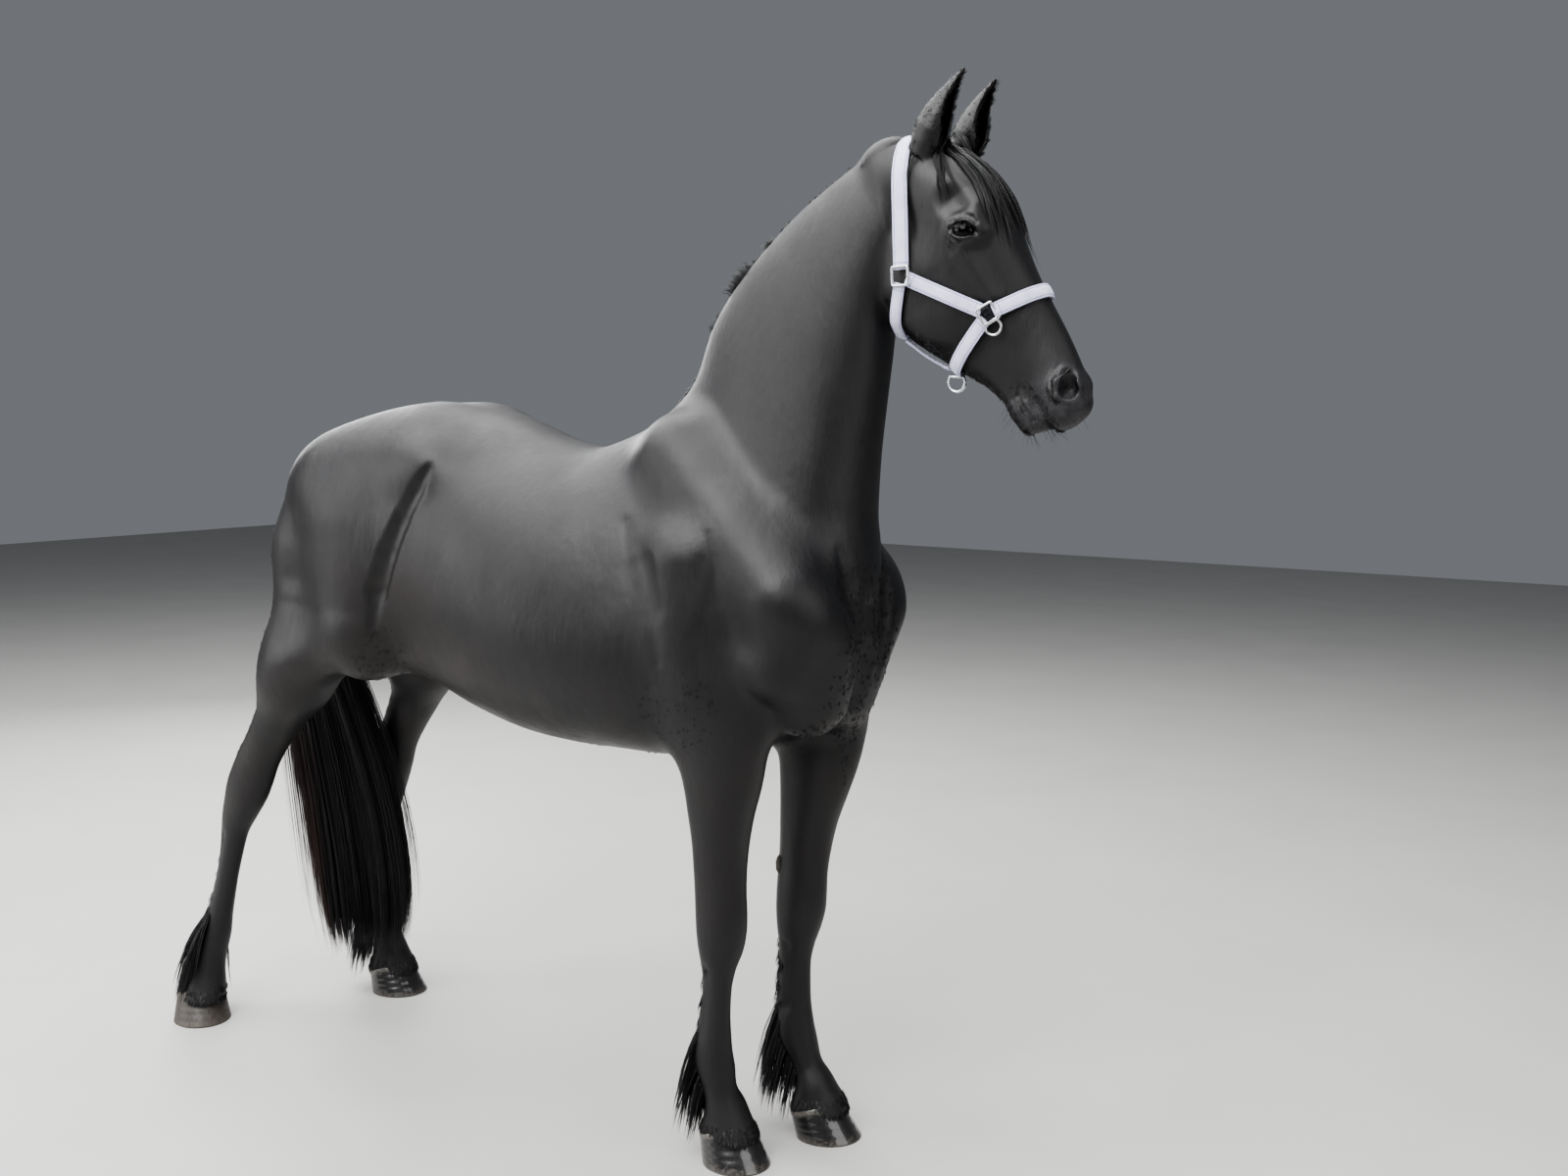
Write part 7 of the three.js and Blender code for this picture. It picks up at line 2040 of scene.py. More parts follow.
def build_halter() -> None:
    """Builds the halter over the head's own shapes."""
    shapes = [*body_shapes(), *skull_shapes()]
    steel = steel_material("plated_steel", "d6d8dc", "8d8c8c")
    dark_steel = steel_material("dark_steel", "3a3b40", "1c1c20")
    Halter(shapes, webbing_material(), thread_material(), steel, dark_steel).build()


# Hair


BODY_LINE = ((-1.25, 1.20), (-0.40, 1.20), (0.02, 1.24), (0.28, 1.78), (0.38, 2.00), (0.76, 1.56))
LEG_STARTS = 0.86
LEG_MIDDLES = ((0.02, -0.12), (0.08, 0.12), (-1.40, -0.17), (-1.15, 0.22))
MAP_PATCH = 0.003
SHORT_HAIR_MASKS = {"tinge": 0.3, "dust": 0.04}
SEEDS = {"mane": 11, "forelock": 12, "tail": 13, "feathers": 20, "tufts": 31}
DOWN = np.array([0.0, 0.0, -1.0])


def on_map(points: Array) -> Array:
    """Finds the places of skin points on a flat map: the body slit along its underside, the legs beside it.

    Args:
        points: Points on or near the skin.

    Returns:
        Their places, from 0 to 1 each way.
    """
    line = np.array(BODY_LINE)
    flat = points[:, ::2]
    span = line[1:] - line[:-1]
    length = np.linalg.norm(span, axis=1)
    t = np.sum((flat[:, None] - line[:-1]) * span, axis=2) / length**2
    foot = line[:-1] + np.clip(t, 0, 1)[..., None] * span
    nearest = np.argmin(np.linalg.norm(flat[:, None] - foot, axis=2), axis=1)
    rows = np.arange(len(points))
    run = np.concatenate([[0], np.cumsum(length)])
    along = (run[nearest] + np.clip(t[rows, nearest], -0.2, 1.2) * length[nearest]) / run[-1]
    above = np.stack([-span[:, 1], span[:, 0]], -1) / length[:, None]
    up = np.sum((flat - foot[rows, nearest]) * above[nearest], axis=1)
    round_body = np.arctan2(points[:, 1], up) / (2 * math.pi) + 0.5
    body = np.stack([0.02 + 0.5 * round_body, 0.1 + 0.8 * along], -1)
    strip = 2 * (points[:, 0] < -0.6) + (points[:, 1] > 0)
    middle = np.array(LEG_MIDDLES)[strip]
    angle = np.arctan2(points[:, 1] - middle[:, 1], points[:, 0] - middle[:, 0]) / (2 * math.pi) + 0.5
    legs = np.stack([0.55 + 0.11 * strip + 0.10 * angle, 0.02 + 0.9 * points[:, 2]], -1)
    return np.where((points[:, 2] < LEG_STARTS)[:, None], legs, body)


@dataclass(frozen=True)
class Growth:
    """How the locks of one kind of hair grow."""

    steps: int
    width: float
    stiff: float = 0.75
    lift: float = 0.003
    spread: float = 0.006
    clump: float = 0.7
    wave: float = 0.0
    waves: float = 2.0
    each: int = 8
    short: float = 0.7
    flat: float = 0.5


@dataclass
class Locks:
    """Thin locks of hair: middle lines, the ways out of the skin along them, widths, tints and map places."""

    paths: Array
    outs: Array
    widths: Array
    tints: Array
    places: Array

    def mesh(self, flat: float) -> tuple[Array, Array, Array, Array]:
        """Makes closed three-sided locks that thin out to their tips.

        Args:
            flat: Their thickness as a share of their width.

        Returns:
            Points, faces, places along the strands and places on the flat map.
        """
        count, steps = self.paths.shape[:2]
        t = np.linspace(0, 1, steps)
        along = unit(np.gradient(self.paths, axis=1))
        across = unit(np.cross(along, self.outs))
        out = np.cross(across, along)
        full = (0.7 + 0.3 * smooth_step(t, 0, 0.2)) * (1 - t**2.4) + 0.06
        wide = self.widths[:, None] * full
        rings = [
            self.paths + (u * wide)[..., None] * across + (v * flat * wide)[..., None] * out
            for u, v in ((-0.5, 0.0), (0.5, 0.0), (0.0, 1.0))
        ]
        points = np.stack(rings, 2).reshape(-1, 3)
        first = (np.arange(count) * steps * 3)[:, None, None]
        i = (3 * np.arange(steps - 1))[None, :, None]
        k = np.arange(3)[None, None, :]
        a, b = first + i + k, first + i + (k + 1) % 3
        sides = [np.stack(f, -1).reshape(-1, 3) for f in ((a, a + 3, b + 3), (a, b + 3, b))]
        root = first[:, 0, 0]
        tip = root + 3 * (steps - 1)
        ends = [np.stack([root, root + 1, root + 2], -1), np.stack([tip, tip + 2, tip + 1], -1)]
        u = np.array([0.0, 0.5, 0.25])[None, None, :] + np.arange(count)[:, None, None] * 0.371 % 7
        u = np.broadcast_to(u, (count, steps, 3))
        v = np.broadcast_to(t[None, :, None], (count, steps, 3))
        corner = np.stack([np.broadcast_to((0.0, 1.0, 0.5), v.shape), v], -1) * MAP_PATCH
        patch = self.places[:, None, None, :] + corner
        return points, np.vstack([*sides, *ends]), np.stack([u, v], -1).reshape(-1, 2), patch.reshape(-1, 2)


@dataclass
class Grower:
    """Grows locks of hair that fall, draw together and keep clear of the skin."""

    flesh: Flesh
    seed: int

    def __post_init__(self) -> None:
        self.rng = np.random.default_rng(self.seed)

    def cleared(self, points: Array, lift: float | Array) -> Array:
        """Moves points that lie too near the skin straight out of it."""
        short = np.maximum(lift - self.flesh.distance(points), 0)
        return points + short[..., None] * self.flesh.gradient(points)

    def guides(
        self, roots: Array, ways: Array, lengths: Array, pull: Array, lift: float | Array, growth: Growth
    ) -> Array:
        """Grows guides step by step from their roots.

        Args:
            roots: Where they leave the skin.
            ways: Where they point at first.
            lengths: How long they are.
            pull: The way that the comb and their weight draw them.
            lift: How high over the skin they lie.
            growth: The kind of hair.

        Returns:
            The points of each guide.
        """
        at, way, lines = roots, unit(ways), [roots]
        stride = (np.broadcast_to(lengths, len(roots)) / growth.steps)[:, None]
        for _ in range(growth.steps):
            way = unit(mix(unit(np.broadcast_to(pull, way.shape)), way, growth.stiff))
            at = self.cleared(at + way * stride, lift)
            way = unit(at - lines[-1])
            lines.append(at)
        return np.stack(lines, 1)

    def around(
        self, guides: Array, growth: Growth, outs: Array | None = None, tints: Array | None = None
    ) -> Locks:
        """Sets locks round each guide, drawn together to its tip and waved alike.

        Args:
            guides: The points of each guide.
            growth: The kind of hair.
            outs: Ways out at each guide's points, or the skin's own.
            tints: How bleached each guide's hair is, or random.

        Returns:
            The locks.
        """
        rng = self.rng
        each = growth.each
        lines = np.repeat(guides, each, axis=0)
        count, steps = lines.shape[:2]
        t = np.linspace(0, 1, steps)[None, :]
        cut = rng.uniform(growth.short, 1, (count, 1))
        place = cut * t * (steps - 1)
        i = np.minimum(place.astype(int), steps - 2)
        rows = np.arange(count)[:, None]
        share = (place - i)[..., None]
        path = mix(lines[rows, i], lines[rows, i + 1], share)
        if outs is None:
            out = self.flesh.gradient(path)
        else:
            long = np.repeat(outs, each, axis=0)
            out = unit(mix(long[rows, i], long[rows, i + 1], share))
        along = unit(np.gradient(path, axis=1))
        across = unit(np.cross(along, out))
        out = np.cross(across, along)
        angle = rng.uniform(0, 2 * math.pi, (count, 1))
        far = growth.spread * np.sqrt(rng.uniform(0, 1, (count, 1))) * (1 - growth.clump * t**1.4)
        phase = np.repeat(rng.uniform(0, 1, len(guides)), each)[:, None]
        phase = phase + rng.uniform(-0.07, 0.07, (count, 1))
        turns = 2 * math.pi * (growth.waves * cut * t + phase)
        sway = growth.wave * np.sin(turns) * smooth_step(t, 0.02, 0.4)
        path = path + (far * np.cos(angle) + sway)[..., None] * across
        path = path + (0.5 * far * np.sin(angle) + 0.3 * sway)[..., None] * out
        path[:, 1:] = self.cleared(path[:, 1:], 0.5 * growth.lift)
        widths = growth.width * rng.uniform(0.7, 1.25, count)
        tint = rng.uniform(0, 0.6, count) if tints is None else np.repeat(tints, each)
        return Locks(path, out, widths, tint, on_map(lines[:, 0]))

    def build(
        self, name: str, locks: Locks, growth: Growth, material: Material, slot: Slot, *nodes: str
    ) -> Piece:
        """Makes one piece of locks.

        Args:
            name: The piece's name.
            locks: Its locks.
            growth: The kind of hair.
            material: Its material.
            slot: Its slot.
            nodes: The CAD nodes that it stands for.

        Returns:
            The piece.
        """
        points, faces, strands, places = locks.mesh(growth.flat)
        piece = new_object(name, settle(points), faces)
        set_uv(piece, "OFBake", places)
        set_uv(piece, "Strand", strands)
        set_mask(piece, "tint", np.repeat(locks.tints, 3 * locks.paths.shape[1]))
        if slot is Slot.COAT:
            facing = np.repeat(np.broadcast_to(locks.outs, locks.paths.shape), 3, axis=1).reshape(-1, 3)
            piece.data.normals_split_custom_set_from_vertices(unit(facing))
            for mask, value in SHORT_HAIR_MASKS.items():
                set_mask(piece, mask, np.full(len(points), value))
        return dress(piece, material, slot, *nodes)

    def grow(
        self, name: str, guides: Array, growth: Growth, material: Material, slot: Slot = Slot.HAIR
    ) -> Piece:
        """Makes one piece of the locks round some guides."""
        return self.build(name, self.around(guides, growth), growth, material, slot)


def crest(t: Array) -> Array:
    """Gives points along the crest of the neck from the withers to the poll."""
    rows = smooth_rows(NECK, 8)
    place = np.linspace(0, 1, len(rows))
    return np.stack([np.interp(t, place, rows[:, 0]), 0 * t, np.interp(t, place, rows[:, 1])], -1)


@dataclass
class Mane:
    """The long thin mane that falls on the left, and the wisps that stand along the crest."""

    grower: Grower
    material: Material
    length: float = 0.285
    count: int = 290
    long: Growth = Growth(13, 0.0036, 0.70, 0.005, 0.008, 0.72, 0.0055, 2.3, 8, 0.72)
    frizz: Growth = Growth(7, 0.0009, 0.80, 0.001, 0.008, 0.30, 0.003, 1.2, 8, 0.5)
    tufts: tuple[tuple[float, float, float, int], ...] = (
        (0.44, 0.014, 0.014, 12),
        (0.535, 0.018, 0.034, 34),
        (0.575, 0.012, 0.028, 26),
        (0.64, 0.012, 0.019, 18),
        (0.75, 0.100, 0.008, 16),
    )

    def build(self) -> None:
        """Builds mane and wisps."""
        rng = self.grower.rng
        t = np.linspace(0.16, 0.95, self.count) + rng.uniform(-0.01, 0.01, self.count)
        roots = crest(t) + np.stack([0 * t, rng.uniform(-0.013, 0.014, self.count), 0 * t], -1)
        roots = self.grower.flesh.on_surface(roots, -0.003)
        lengths = self.length * mix(0.5, 1.0, smooth_step(t, 0.2, 0.5)) * rng.uniform(0.80, 1.14, self.count)
        ways = np.array([-0.05, 0.95, 0.32]) + rng.normal(0, 0.07, (self.count, 3))
        pull = np.array([0.14, 0.10, -1.0]) + rng.normal(0, 0.05, (self.count, 3))
        lift = rng.uniform(0.003, 0.009, self.count)
        guides = self.grower.guides(roots, ways, lengths, pull, lift, self.long)
        self.grower.grow("mane_locks", guides, self.long, self.material)
        t = np.concatenate([rng.normal(at, reach, number) for at, reach, _, number in self.tufts])
        lengths = np.repeat([tall for _, _, tall, _ in self.tufts], [number for *_, number in self.tufts])
        roots = crest(t) + rng.normal(0, 1, (len(t), 3)) * (0, 0.006, 0)
        roots = self.grower.flesh.on_surface(roots, -0.002)
        ways = np.array([-0.75, -0.10, 0.75]) + rng.normal(0, 0.12, (len(t), 3))
        pull = np.array([-1.0, 0.1, -0.05]) + rng.normal(0, 0.16, (len(t), 3))
        lengths = lengths * rng.uniform(0.7, 1.3, len(t))
        guides = self.grower.guides(roots, ways, lengths, pull, 0.001, self.frizz)
        self.grower.grow("crest_wisps", guides, self.frizz, self.material)


@dataclass
class Forelock:
    """Long strands from between the ears down over the forehead."""

    grower: Grower
    material: Material
    count: int = 84
    growth: Growth = Growth(14, 0.0030, 0.55, 0.004, 0.007, 0.55, 0.0030, 1.8, 7, 0.75)

    def build(self) -> None:
        """Builds the forelock."""
        rng = self.grower.rng
        across = rng.uniform(-1, 1, self.count)
        roots = in_head(rng.uniform(0.020, 0.075, self.count), 0.09, 0.017 * across)
        roots = self.grower.flesh.on_surface(roots, -0.003, 5)
        lengths = mix(0.310, 0.200, np.abs(across)) * rng.uniform(0.72, 1.05, self.count)
        ways = DOWN_FACE + 0.30 * FORE_FACE + rng.normal(0, 0.06, (self.count, 3))
        pull = DOWN_FACE - 0.30 * FORE_FACE + np.outer(0.11 * across + 0.02, LEFTWARDS)
        pull = pull + rng.normal(0, 0.04, (self.count, 3))
        lift = rng.uniform(0.002, 0.011, self.count)
        guides = self.grower.guides(roots, ways, lengths, pull, lift, self.growth)
        self.grower.grow("forelock", guides, self.growth, self.material)


@dataclass
class Feather:
    """Feather at the back of one fetlock, and short hair up the tendons above it."""

    name: str
    grower: Grower
    material: Material
    limb: Limb
    top: float
    length: float
    reach: float
    lie: float = 0.0
    count: int = 150
    tendon_count: int = 70
    tendon_reach: float = 0.17
    least_height: float = 0.012
    long: Growth = Growth(9, 0.0021, 0.80, 0.001, 0.006, 0.45, 0.0020, 1.4, 6, 0.72)
    short: Growth = Growth(5, 0.0012, 0.70, 0.001, 0.005, 0.3, 0.001, 1.0, 6, 0.6)

    def rooted(self, heights: Array, angles: Array) -> tuple[Array, Array]:
        """Gives points on the leg's skin at heights and at angles from its back, and the ways out."""
        cx, cy, deep, wide, turn, _ = self.limb.at(heights)
        a = turn + math.pi + angles
        way = np.stack([np.cos(a), np.sin(a), 0 * a], -1)
        far = 1 / np.hypot(np.cos(angles) / deep, np.sin(angles) / wide)
        roots = np.stack([cx, cy, heights], -1) + way * far[:, None]
        return self.grower.flesh.on_surface(roots, -0.002), way

    def build(self) -> None:
        """Builds the feather and the short hair."""
        rng = self.grower.rng
        angles = self.lie + np.clip(rng.normal(0, 0.60, self.count), -1.25, 0.85)
        heights = self.top + rng.uniform(-0.125, 0.020, self.count)
        roots, way = self.rooted(heights, angles)
        ends = rng.uniform(0.014, 0.052, self.count)
        lengths = np.minimum(self.length * rng.uniform(0.9, 1.45, self.count), heights - ends)
        ways = way * self.reach + DOWN + rng.normal(0, 0.06, (self.count, 3))
        pull = way * self.reach * 0.30 + DOWN + rng.normal(0, 0.05, (self.count, 3))
        lift = rng.uniform(0.001, 0.006, self.count)
        guides = self.grower.guides(roots, ways, lengths, pull, lift, self.long)
        guides[..., 2] = np.maximum(guides[..., 2], self.least_height)
        self.grower.grow(f"feather_{self.name}", guides, self.long, self.material)
        count, above = self.tendon_count, self.tendon_reach
        heights = self.top + rng.uniform(-0.02, above, count)
        roots, way = self.rooted(heights, rng.normal(0, 0.34, count))
        ways = way * 0.16 + DOWN
        lengths = mix(0.050, 0.020, (heights - self.top) / above) * rng.uniform(0.7, 1.2, count)
        guides = self.grower.guides(roots, ways, lengths, ways, 0.0008, self.short)
        self.grower.grow(f"tendon_hair_{self.name}", guides, self.short, self.material)


BELOW_DOCK = 1.28
DOCK_LEVELS = 10
DOCK_SIDES = 24
DOCK_SHARE = 0.62


@dataclass
class Tail:
    """The tail: a dock under long straight hair, with a bleached fringe at its rear edge."""

    grower: Grower
    material: Material
    skin: Material
    upper: int = 190
    lower: int = 215
    edge: int = 84
    growth: Growth = Growth(15, 0.0036, 0.8, 0.004, 0.010, 0.25, 0.0030, 1.8, 10, 0.9)
    fringe: Growth = Growth(15, 0.0015, 0.8, 0.004, 0.016, 0.1, 0.0060, 1.6, 6, 0.75)

    def __post_init__(self) -> None:
        rows = smooth_rows(TAIL, 2)
        i = np.arange(len(rows))[:, None]
        down = unit(rows[np.minimum(i[:, 0] + 1, len(rows) - 1), :3] - rows[np.maximum(i[:, 0] - 1, 0), :3])
        turn_in = np.clip(i / 6, 0, 1)
        wide = unit(np.hstack([TAIL_WAY[0] * turn_in, mix(1, TAIL_WAY[1], turn_in), 0 * turn_in]))
        deep = unit(np.cross(down, wide))
        half = rows[:, 3:4]
        self.middle = rows[:, :3]
        self.across = half * np.cross(deep, down)
        self.deep = half * mix(0.9, TAIL_FLATNESS, np.clip(i / 8, 0, 1)) * deep
        self.end = len(rows) - 1

    def inside(self, place: Array, angle: Array, share: Array) -> Array:
        """Gives points at places down the tail, angles round it and shares of its half width."""
        parts = []
        weights = (1.0, share * np.cos(angle), share * np.sin(angle))
        for table, weight in zip((self.middle, self.across, self.deep), weights):
            columns = [np.interp(place, np.arange(self.end + 1), table[:, c]) for c in range(3)]
            beyond = np.maximum(place - self.end, 0)[..., None] * (table[-1] - table[-2])
            at = np.stack(columns, -1) + beyond * (table is self.middle)
            parts.append(at * np.asarray(weight)[..., None])
        return sum(parts)

    def guides(
        self, starts: Array, ends: Array, angle: Array, shares: Array, steps: int
    ) -> tuple[Array, Array]:
        """Lays guides down the tail, and gives the ways out along them."""
        t = np.linspace(0, 1, steps + 1)[None, :]
        place = mix(starts[:, None], ends[:, None], t)
        spread = mix(np.minimum(DOCK_SHARE, shares)[:, None], shares[:, None], smooth_step(t, 0, 0.35))
        angle = angle[:, None] + 0 * t
        lines = self.inside(place, angle, spread)
        outs = unit(lines - self.inside(place, angle, 0 * spread) + 1e-5)
        deep = self.grower.rng.uniform(0.0, 0.05, len(starts))
        lines[..., 2] -= deep[:, None] * t**2
        low = lines[..., 2] < BELOW_DOCK
        lines[low] = self.grower.cleared(lines[low], 0.006)
        return lines, outs

    def build(self) -> None:
        """Builds the dock, the hair in two pieces, and the fringe."""
        rng = self.grower.rng
        levels = np.linspace(0, DOCK_LEVELS, 2 * DOCK_LEVELS + 1)
        angles = 2 * math.pi * np.arange(DOCK_SIDES) / DOCK_SIDES
        share = DOCK_SHARE * np.sqrt(1 - (levels / 10.2) ** 3)
        all_round = np.ones(DOCK_SIDES)
        rings = [self.inside(all_round * s, angles, all_round * k) for s, k in zip(levels, share)]
        points, faces = sweep(np.stack(rings))
        dock = new_object("dock", settle(points), faces)
        for name in ("bare", "tinge", "dust"):
            set_mask(dock, name, np.zeros(len(points)))
        dress(dock, self.skin, Slot.COAT, "tail")
        for part, count in (("upper", self.upper), ("lower", self.lower)):
            top = part == "upper"
            angle = rng.uniform(0, 2 * math.pi, count)
            starts = rng.uniform(0.2, 4.5, count) if top else rng.uniform(4.0, 9.0, count)
            ends = self.end + 0.35 - np.abs(rng.normal(0, 0.55, count))
            shares = np.clip(rng.uniform(0.15, 1.0, count) ** 0.5, 0.2, 1.0) * (1.0 if top else 0.98)
            lines, outs = self.guides(starts, ends, angle, shares, self.growth.steps)
            edge = smooth_step(-np.cos(angle) * shares, 0.35, 0.9)
            tints = np.clip(rng.uniform(0.0, 0.55, count) + 0.6 * edge, 0, 1)
            locks = self.grower.around(lines, self.growth, outs, tints)
            nodes = ("tail",) if top else ()
            self.grower.build(f"tail_hair_{part}", locks, self.growth, self.material, Slot.HAIR, *nodes)
        count = self.edge
        rear = rng.random(count) < 0.72
        angle = np.where(rear, math.pi, 0.0) + rng.normal(0, 0.5, count)
        starts = rng.uniform(5.5, 10, count)
        ends = self.end - np.where(rear, rng.uniform(0, 5, count), rng.uniform(0.5, 4, count))
        behind, before = rng.uniform(0, 1, count), rng.uniform(0.95, 1.12, count)
        shares = np.where(rear, 0.95 + 0.36 * behind**1.6, before)
        lines, outs = self.guides(starts, ends, angle, shares, self.fringe.steps)
        locks = self.grower.around(lines, self.fringe, outs, np.where(rear, rng.uniform(0.8, 1, count), 0.5))
        self.grower.build("tail_fringe", locks, self.fringe, self.material, Slot.HAIR)


# Elbow, flank and the back of the thigh.
TUFTED_PLACES = ((0.05, 0.20, 1.00), (-0.76, 0.20, 1.02), (-1.10, 0.10, 1.15))


@dataclass
class Tufts:
    """Short hair that breaks the form: coat, fringes over the hooves, ear hair, lashes and whiskers."""

    grower: Grower
    material: Material
    points: Array
    normals: Array
    most: int = 3200
    in_ear: int = 420
    whiskers: int = 120
    lashes: int = 170
    coat: Growth = Growth(3, 0.0009, 0.8, 0.0002, 0.0030, 0.1, 0.0, 1.0, 3, 0.6)
    single: Growth = Growth(6, 0.0004, 0.9, 0.0, 0.0, 0.0, 0.0, 1.0, 1, 0.7, 0.9)

    def sow(
        self,
        name: str,
        weights: Array,
        way: Array,
        lengths: float | Array,
        rise: float,
        count: int,
        growth: Growth,
    ) -> None:
        """Sows tufts over the skin.

        Args:
            name: The piece's name.
            weights: How thickly they grow at each point of the skin.
            way: The way that they lie.
            lengths: How long they are there.
            rise: How steeply they stand out of the skin.
            count: How many grow.
            growth: The kind of hair.
        """
        rng = self.grower.rng
        at = rng.choice(len(self.points), count, p=weights / weights.sum())
        out = self.normals[at]
        lie = np.broadcast_to(way, self.points.shape)[at]
        ways = unit(lie - np.sum(lie * out, 1)[:, None] * out) + rise * out
        ways = ways + rng.normal(0, 0.10, out.shape)
        roots = self.points[at] - 0.0008 * out + rng.normal(0, 0.0012, out.shape)
        long = np.broadcast_to(lengths, len(self.points))[at] * rng.uniform(0.6, 1.25, count)
        guides = self.grower.guides(roots, ways, long, ways, 0.0002, growth)
        self.grower.grow(name, guides, growth, self.material, Slot.COAT)

    def near(self, places: Sequence[Row], reach: float) -> Array:
        """Tells which skin points lie near some places."""
        return sum((np.linalg.norm(self.points - np.array(p), axis=1) < reach).astype(float) for p in places)

    def build(self) -> None:
        """Builds all the short hair."""
        x, y, z = self.points.T
        nx, nz = self.normals[:, 0], self.normals[:, 2]
        head = (x > 0.30) & (z > 1.50) & (x + 0.6 * (z - 2.12) > 0.24)
        fore = self.normals @ FORE_FACE
        sides = [(a, s * b, c) for a, b, c in TUFTED_PLACES for s in (LEFT, RIGHT)]
        midline = np.abs(y) < 0.12
        belly = (nz < -0.6) * (z > 0.75) * midline
        thigh = (x < -1.10) * (z > 0.72) * (z < 1.25) * (nx < -0.5)
        breast = (x > 0.24) * (z < 1.30) * midline
        edge = belly + thigh + self.near(sides, 0.10) + breast
        lie = np.where((z < 0.85)[:, None], (-0.25, 0, -1.0), (-0.85, 0, -0.55))
        lie = np.where((x > 0.02)[:, None] & (z > 1.25)[:, None], (-0.35, 0, -0.95), lie)
        self.sow("coat_tufts", ~head * edge, lie, 0.013, 0.05, self.most, self.coat)
        ears = head & (z > 2.13)
        jaw = head & (fore < -0.45)
        lengths = np.where(jaw, 0.009, 0.0045)
        lie = np.where(ears[:, None], (-0.3, 0, 1.0), DOWN_FACE - 0.3 * FORE_FACE)
        self.sow("face_tufts", head * (0.9 * jaw + 0.25 * ears), lie, lengths, 0.06, self.most, self.coat)
        for name, ear in EARS.items():
            h, out, across = ear.local(x, y, z)
            inner = (h > 0.05) & (h < 0.95) & (np.hypot(out, across) < 0.045)
            inner = inner & (self.normals @ ear.open > 0.35)
            way = ear.up + 0.4 * ear.open
            self.sow(f"ear_hair_{name}", inner, way, 0.014, 0.35, self.in_ear, self.coat)
        self.sow("coronet_hair", (z < 0.094) & (z > 0.056), DOWN, 0.015, 0.14, self.most, self.coat)
        chin = self.near([in_head(0.600, -0.028)], 0.058)
        lips = self.near([in_head(0.620, 0.030, s * 0.03) for s in (LEFT, RIGHT)], 0.040)
        below = [in_head(*along_slit(0.0, -0.034, s * (EYE_SIDE + 0.01))) for s in (LEFT, RIGHT)]
        stiff = 2 * chin + 0.6 * lips + 3 * self.near(below, 0.012)
        self.sow("whiskers", stiff, DOWN_FACE, 0.042, 1.6, self.whiskers, self.single)
        places = [(r, s * (EYE_SIDE + 0.021)) for r in (-0.012, 0.0, 0.012) for s in (LEFT, RIGHT)]
        lids = self.near([in_head(*along_slit(r, 0.0145, side)) for r, side in places], 0.0055)
        down = np.stack([0 * y, 0.5 * np.sign(y), 0 * y - 0.6], -1)
        self.sow("eyelashes", lids, down, 0.019, 1.3, self.lashes, self.single)


# Each feather's leg and side, the height of its top, its length, how far it stands off and where it lies.
FEATHERS = {
    "front_right": (FORELEG["right"], RIGHT, 0.265, 0.150, 0.40, 0.0),
    "front_left": (FORELEG["left"], LEFT, 0.265, 0.150, 0.40, 0.0),
    "hind_right": (HINDLEG["right"], RIGHT, 0.290, 0.170, 0.50, 0.6),
    "hind_left": (HINDLEG["left"], LEFT, 0.290, 0.170, 0.45, 0.0),
}


def build_hair(flesh: Flesh, skin: Material, cover: Skin) -> None:
    """Builds mane, forelock, tail, feathers and the short hair of the coat."""
    black = hair_material("mane_hair", "1f1a1c")
    Mane(Grower(flesh, SEEDS["mane"]), black).build()
    Forelock(Grower(flesh, SEEDS["forelock"]), black).build()
    Tail(Grower(flesh, SEEDS["tail"]), hair_material("tail_hair", "3d2825"), skin).build()
    for seed, (name, (rows, side, *sizes)) in enumerate(FEATHERS.items(), SEEDS["feathers"]):
        Feather(name, Grower(flesh, seed), black, Limb(rows, side, LEG_BLEND), *sizes).build()
    Tufts(Grower(flesh, SEEDS["tufts"]), skin, cover.points, cover.normals).build()


# Studio


CAMERA_AT = (1.938, -2.952, 1.615)
CAMERA_AZIMUTH = 31.2
CAMERA_PITCH = 6.4
CAMERA_ROLL = 0.7
CAMERA_LENS = 38.0
FLOOR_REACH = 14.0
FLOOR_DROP = 0.0005
SKY_COLOUR = (0.82, 0.86, 0.92, 1)
SKY_STRENGTH = 0.20


@dataclass(frozen=True)
class Lamp:
    """A soft light: where it stands, what it looks at, its size and its power."""

    name: str
    at: tuple[float, float, float]
    target: tuple[float, float, float]
    size: float
    power: float

    def build(self) -> None:
        """Adds the light."""
        bpy.ops.object.select_all(action="DESELECT")
        bpy.ops.object.light_add(type="AREA", location=self.at)
        lamp = bpy.context.object
        lamp.name = self.name
        lamp.data.shape = "DISK"
        lamp.data.size = self.size
        lamp.data.energy = self.power
        way = Vector(self.target) - Vector(self.at)
        lamp.rotation_euler = way.to_track_quat("-Z", "Y").to_euler()


LAMPS = (
    Lamp("key", (0.6, -4.0, 4.2), (-0.2, 0.0, 1.3), 3.4, 290),
    Lamp("fill", (4.4, -0.6, 2.4), (0.2, 0.0, 1.3), 3.0, 70),
    Lamp("sky", (-1.2, -0.3, 4.9), (-0.6, 0.0, 1.0), 8.0, 880),
    Lamp("side", (-4.6, -3.8, 2.3), (-0.4, 0.0, 1.3), 3.8, 200),
    Lamp("back", (-4.2, 2.6, 2.6), (-0.4, 0.0, 1.3), 2.4, 110),
)


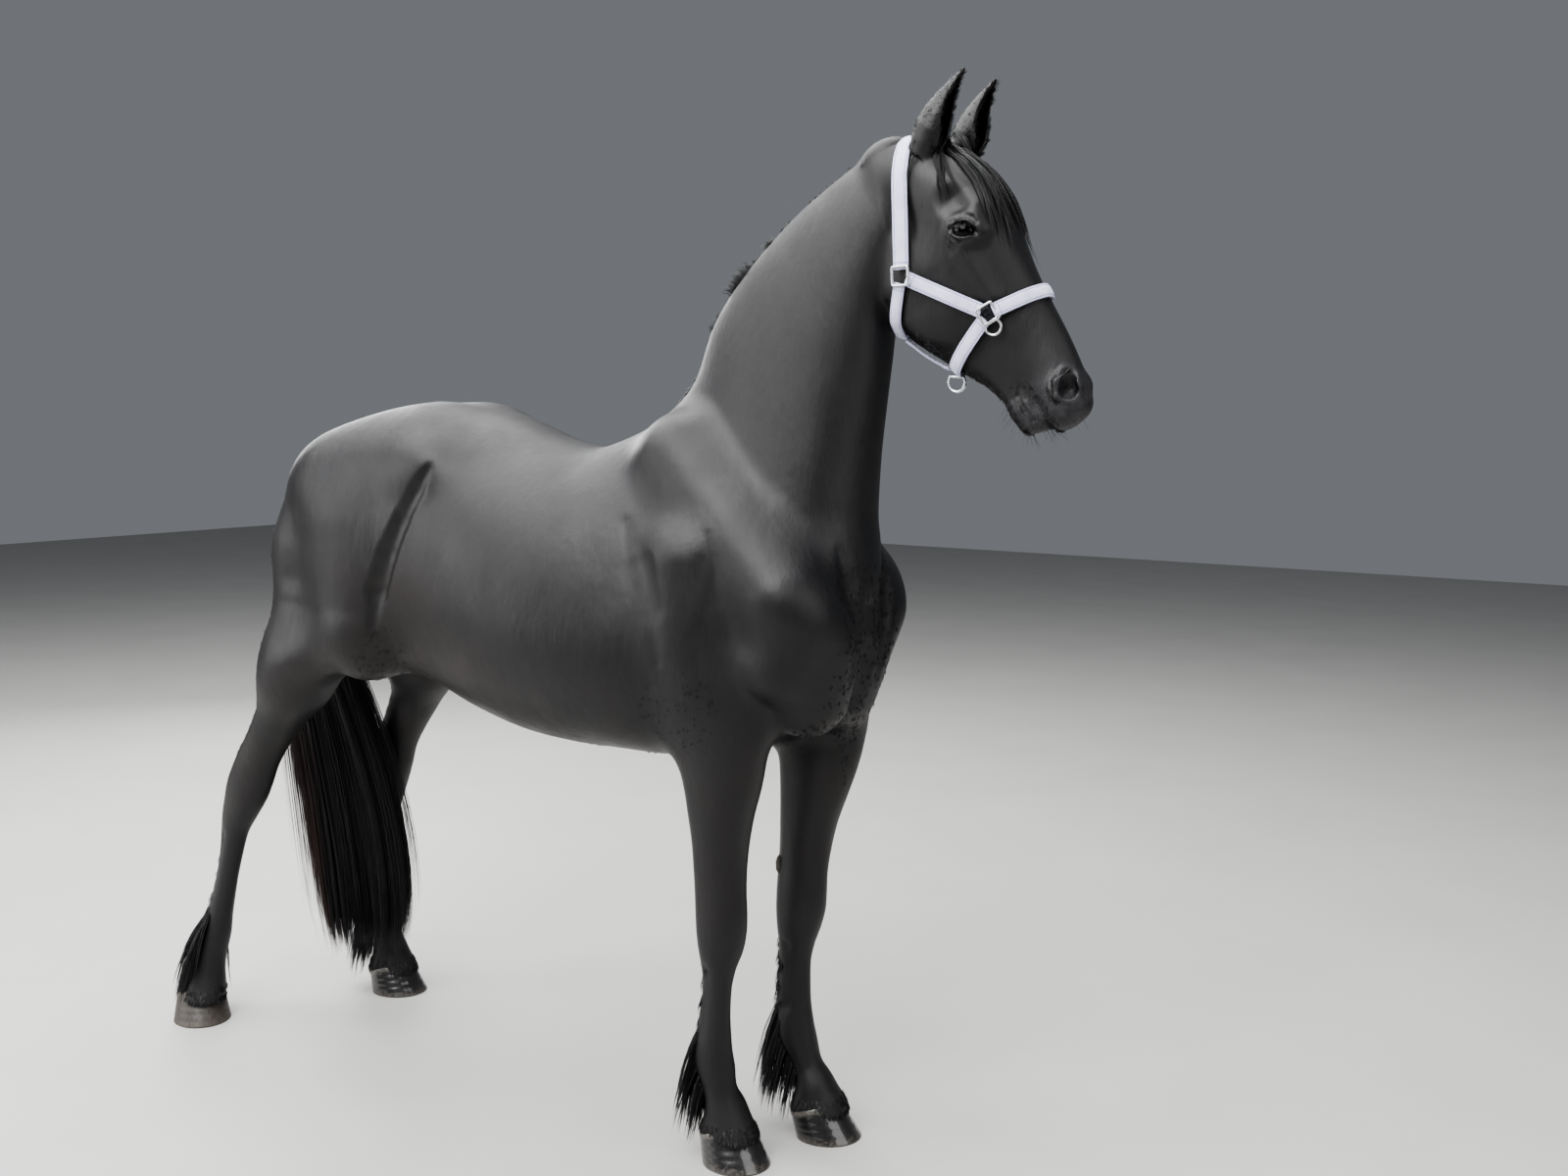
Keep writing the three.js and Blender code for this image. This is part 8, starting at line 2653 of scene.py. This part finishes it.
def build_studio() -> None:
    """Builds a pale floor and soft light all round."""
    bpy.ops.object.select_all(action="DESELECT")
    bpy.ops.mesh.primitive_plane_add(size=2 * FLOOR_REACH, location=(0, 0, -FLOOR_DROP))
    floor = bpy.context.object
    floor.name = "studio_floor"
    floor.data.materials.append(floor_material())
    floor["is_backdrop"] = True
    world = bpy.data.worlds.new("soft_sky")
    bpy.context.scene.world = world
    world.use_nodes = True
    sky = world.node_tree.nodes["Background"]
    Graph(world.node_tree).feed(sky, {"Color": SKY_COLOUR, "Strength": SKY_STRENGTH})
    for lamp in LAMPS:
        lamp.build()
    bpy.context.scene.view_settings.view_transform = "AgX"
    bpy.context.scene.view_settings.look = "AgX - Medium High Contrast"


def build_camera() -> None:
    """Sets the camera where the horse is seen from its right front, a little from above."""
    azimuth, pitch, roll = (math.radians(v) for v in (CAMERA_AZIMUTH, CAMERA_PITCH, CAMERA_ROLL))
    level = math.cos(pitch)
    ahead = Vector((-math.sin(azimuth) * level, math.cos(azimuth) * level, -math.sin(pitch)))
    right = Vector((math.cos(azimuth), math.sin(azimuth), 0))
    up = right.cross(ahead)
    across = math.cos(roll) * right + math.sin(roll) * up
    above = -math.sin(roll) * right + math.cos(roll) * up
    place = Vector(CAMERA_AT) + Vector(OFFSET)
    data = bpy.data.cameras.new("camera")
    data.lens = CAMERA_LENS
    data.sensor_width = 36
    camera = bpy.data.objects.new("camera", data)
    bpy.context.scene.collection.objects.link(camera)
    turn = Matrix((across, above, -ahead)).transposed()
    camera.matrix_world = Matrix.Translation(place) @ turn.to_4x4()
    bpy.context.scene.camera = camera


def corners() -> list[list[float]]:
    return [[float(v) for v in corner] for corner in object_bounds()]


def main() -> None:
    """Builds the horse, its halter and the studio."""
    logging.basicConfig(level=logging.INFO, format="%(name)s: %(message)s")
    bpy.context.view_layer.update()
    flesh = make_flesh()
    coat = coat_material(short_hair_group())
    skin = Skin(flesh, coat)
    skin.build()
    eye = eye_material()
    for name, side in SIDES.items():
        Eye(name, side, eye).build()
    wet, dry = horn_material("wet_horn", WET_HORN), horn_material("dry_horn", DRY_HORN)
    for hoof in HOOVES:
        hoof.build(dry if hoof.name == DRY_HOOF else wet)
    build_chestnuts(flesh, dry)
    build_halter()
    build_hair(flesh, coat, skin)
    build_studio()
    build_camera()


if __name__ == "__main__":
    main()
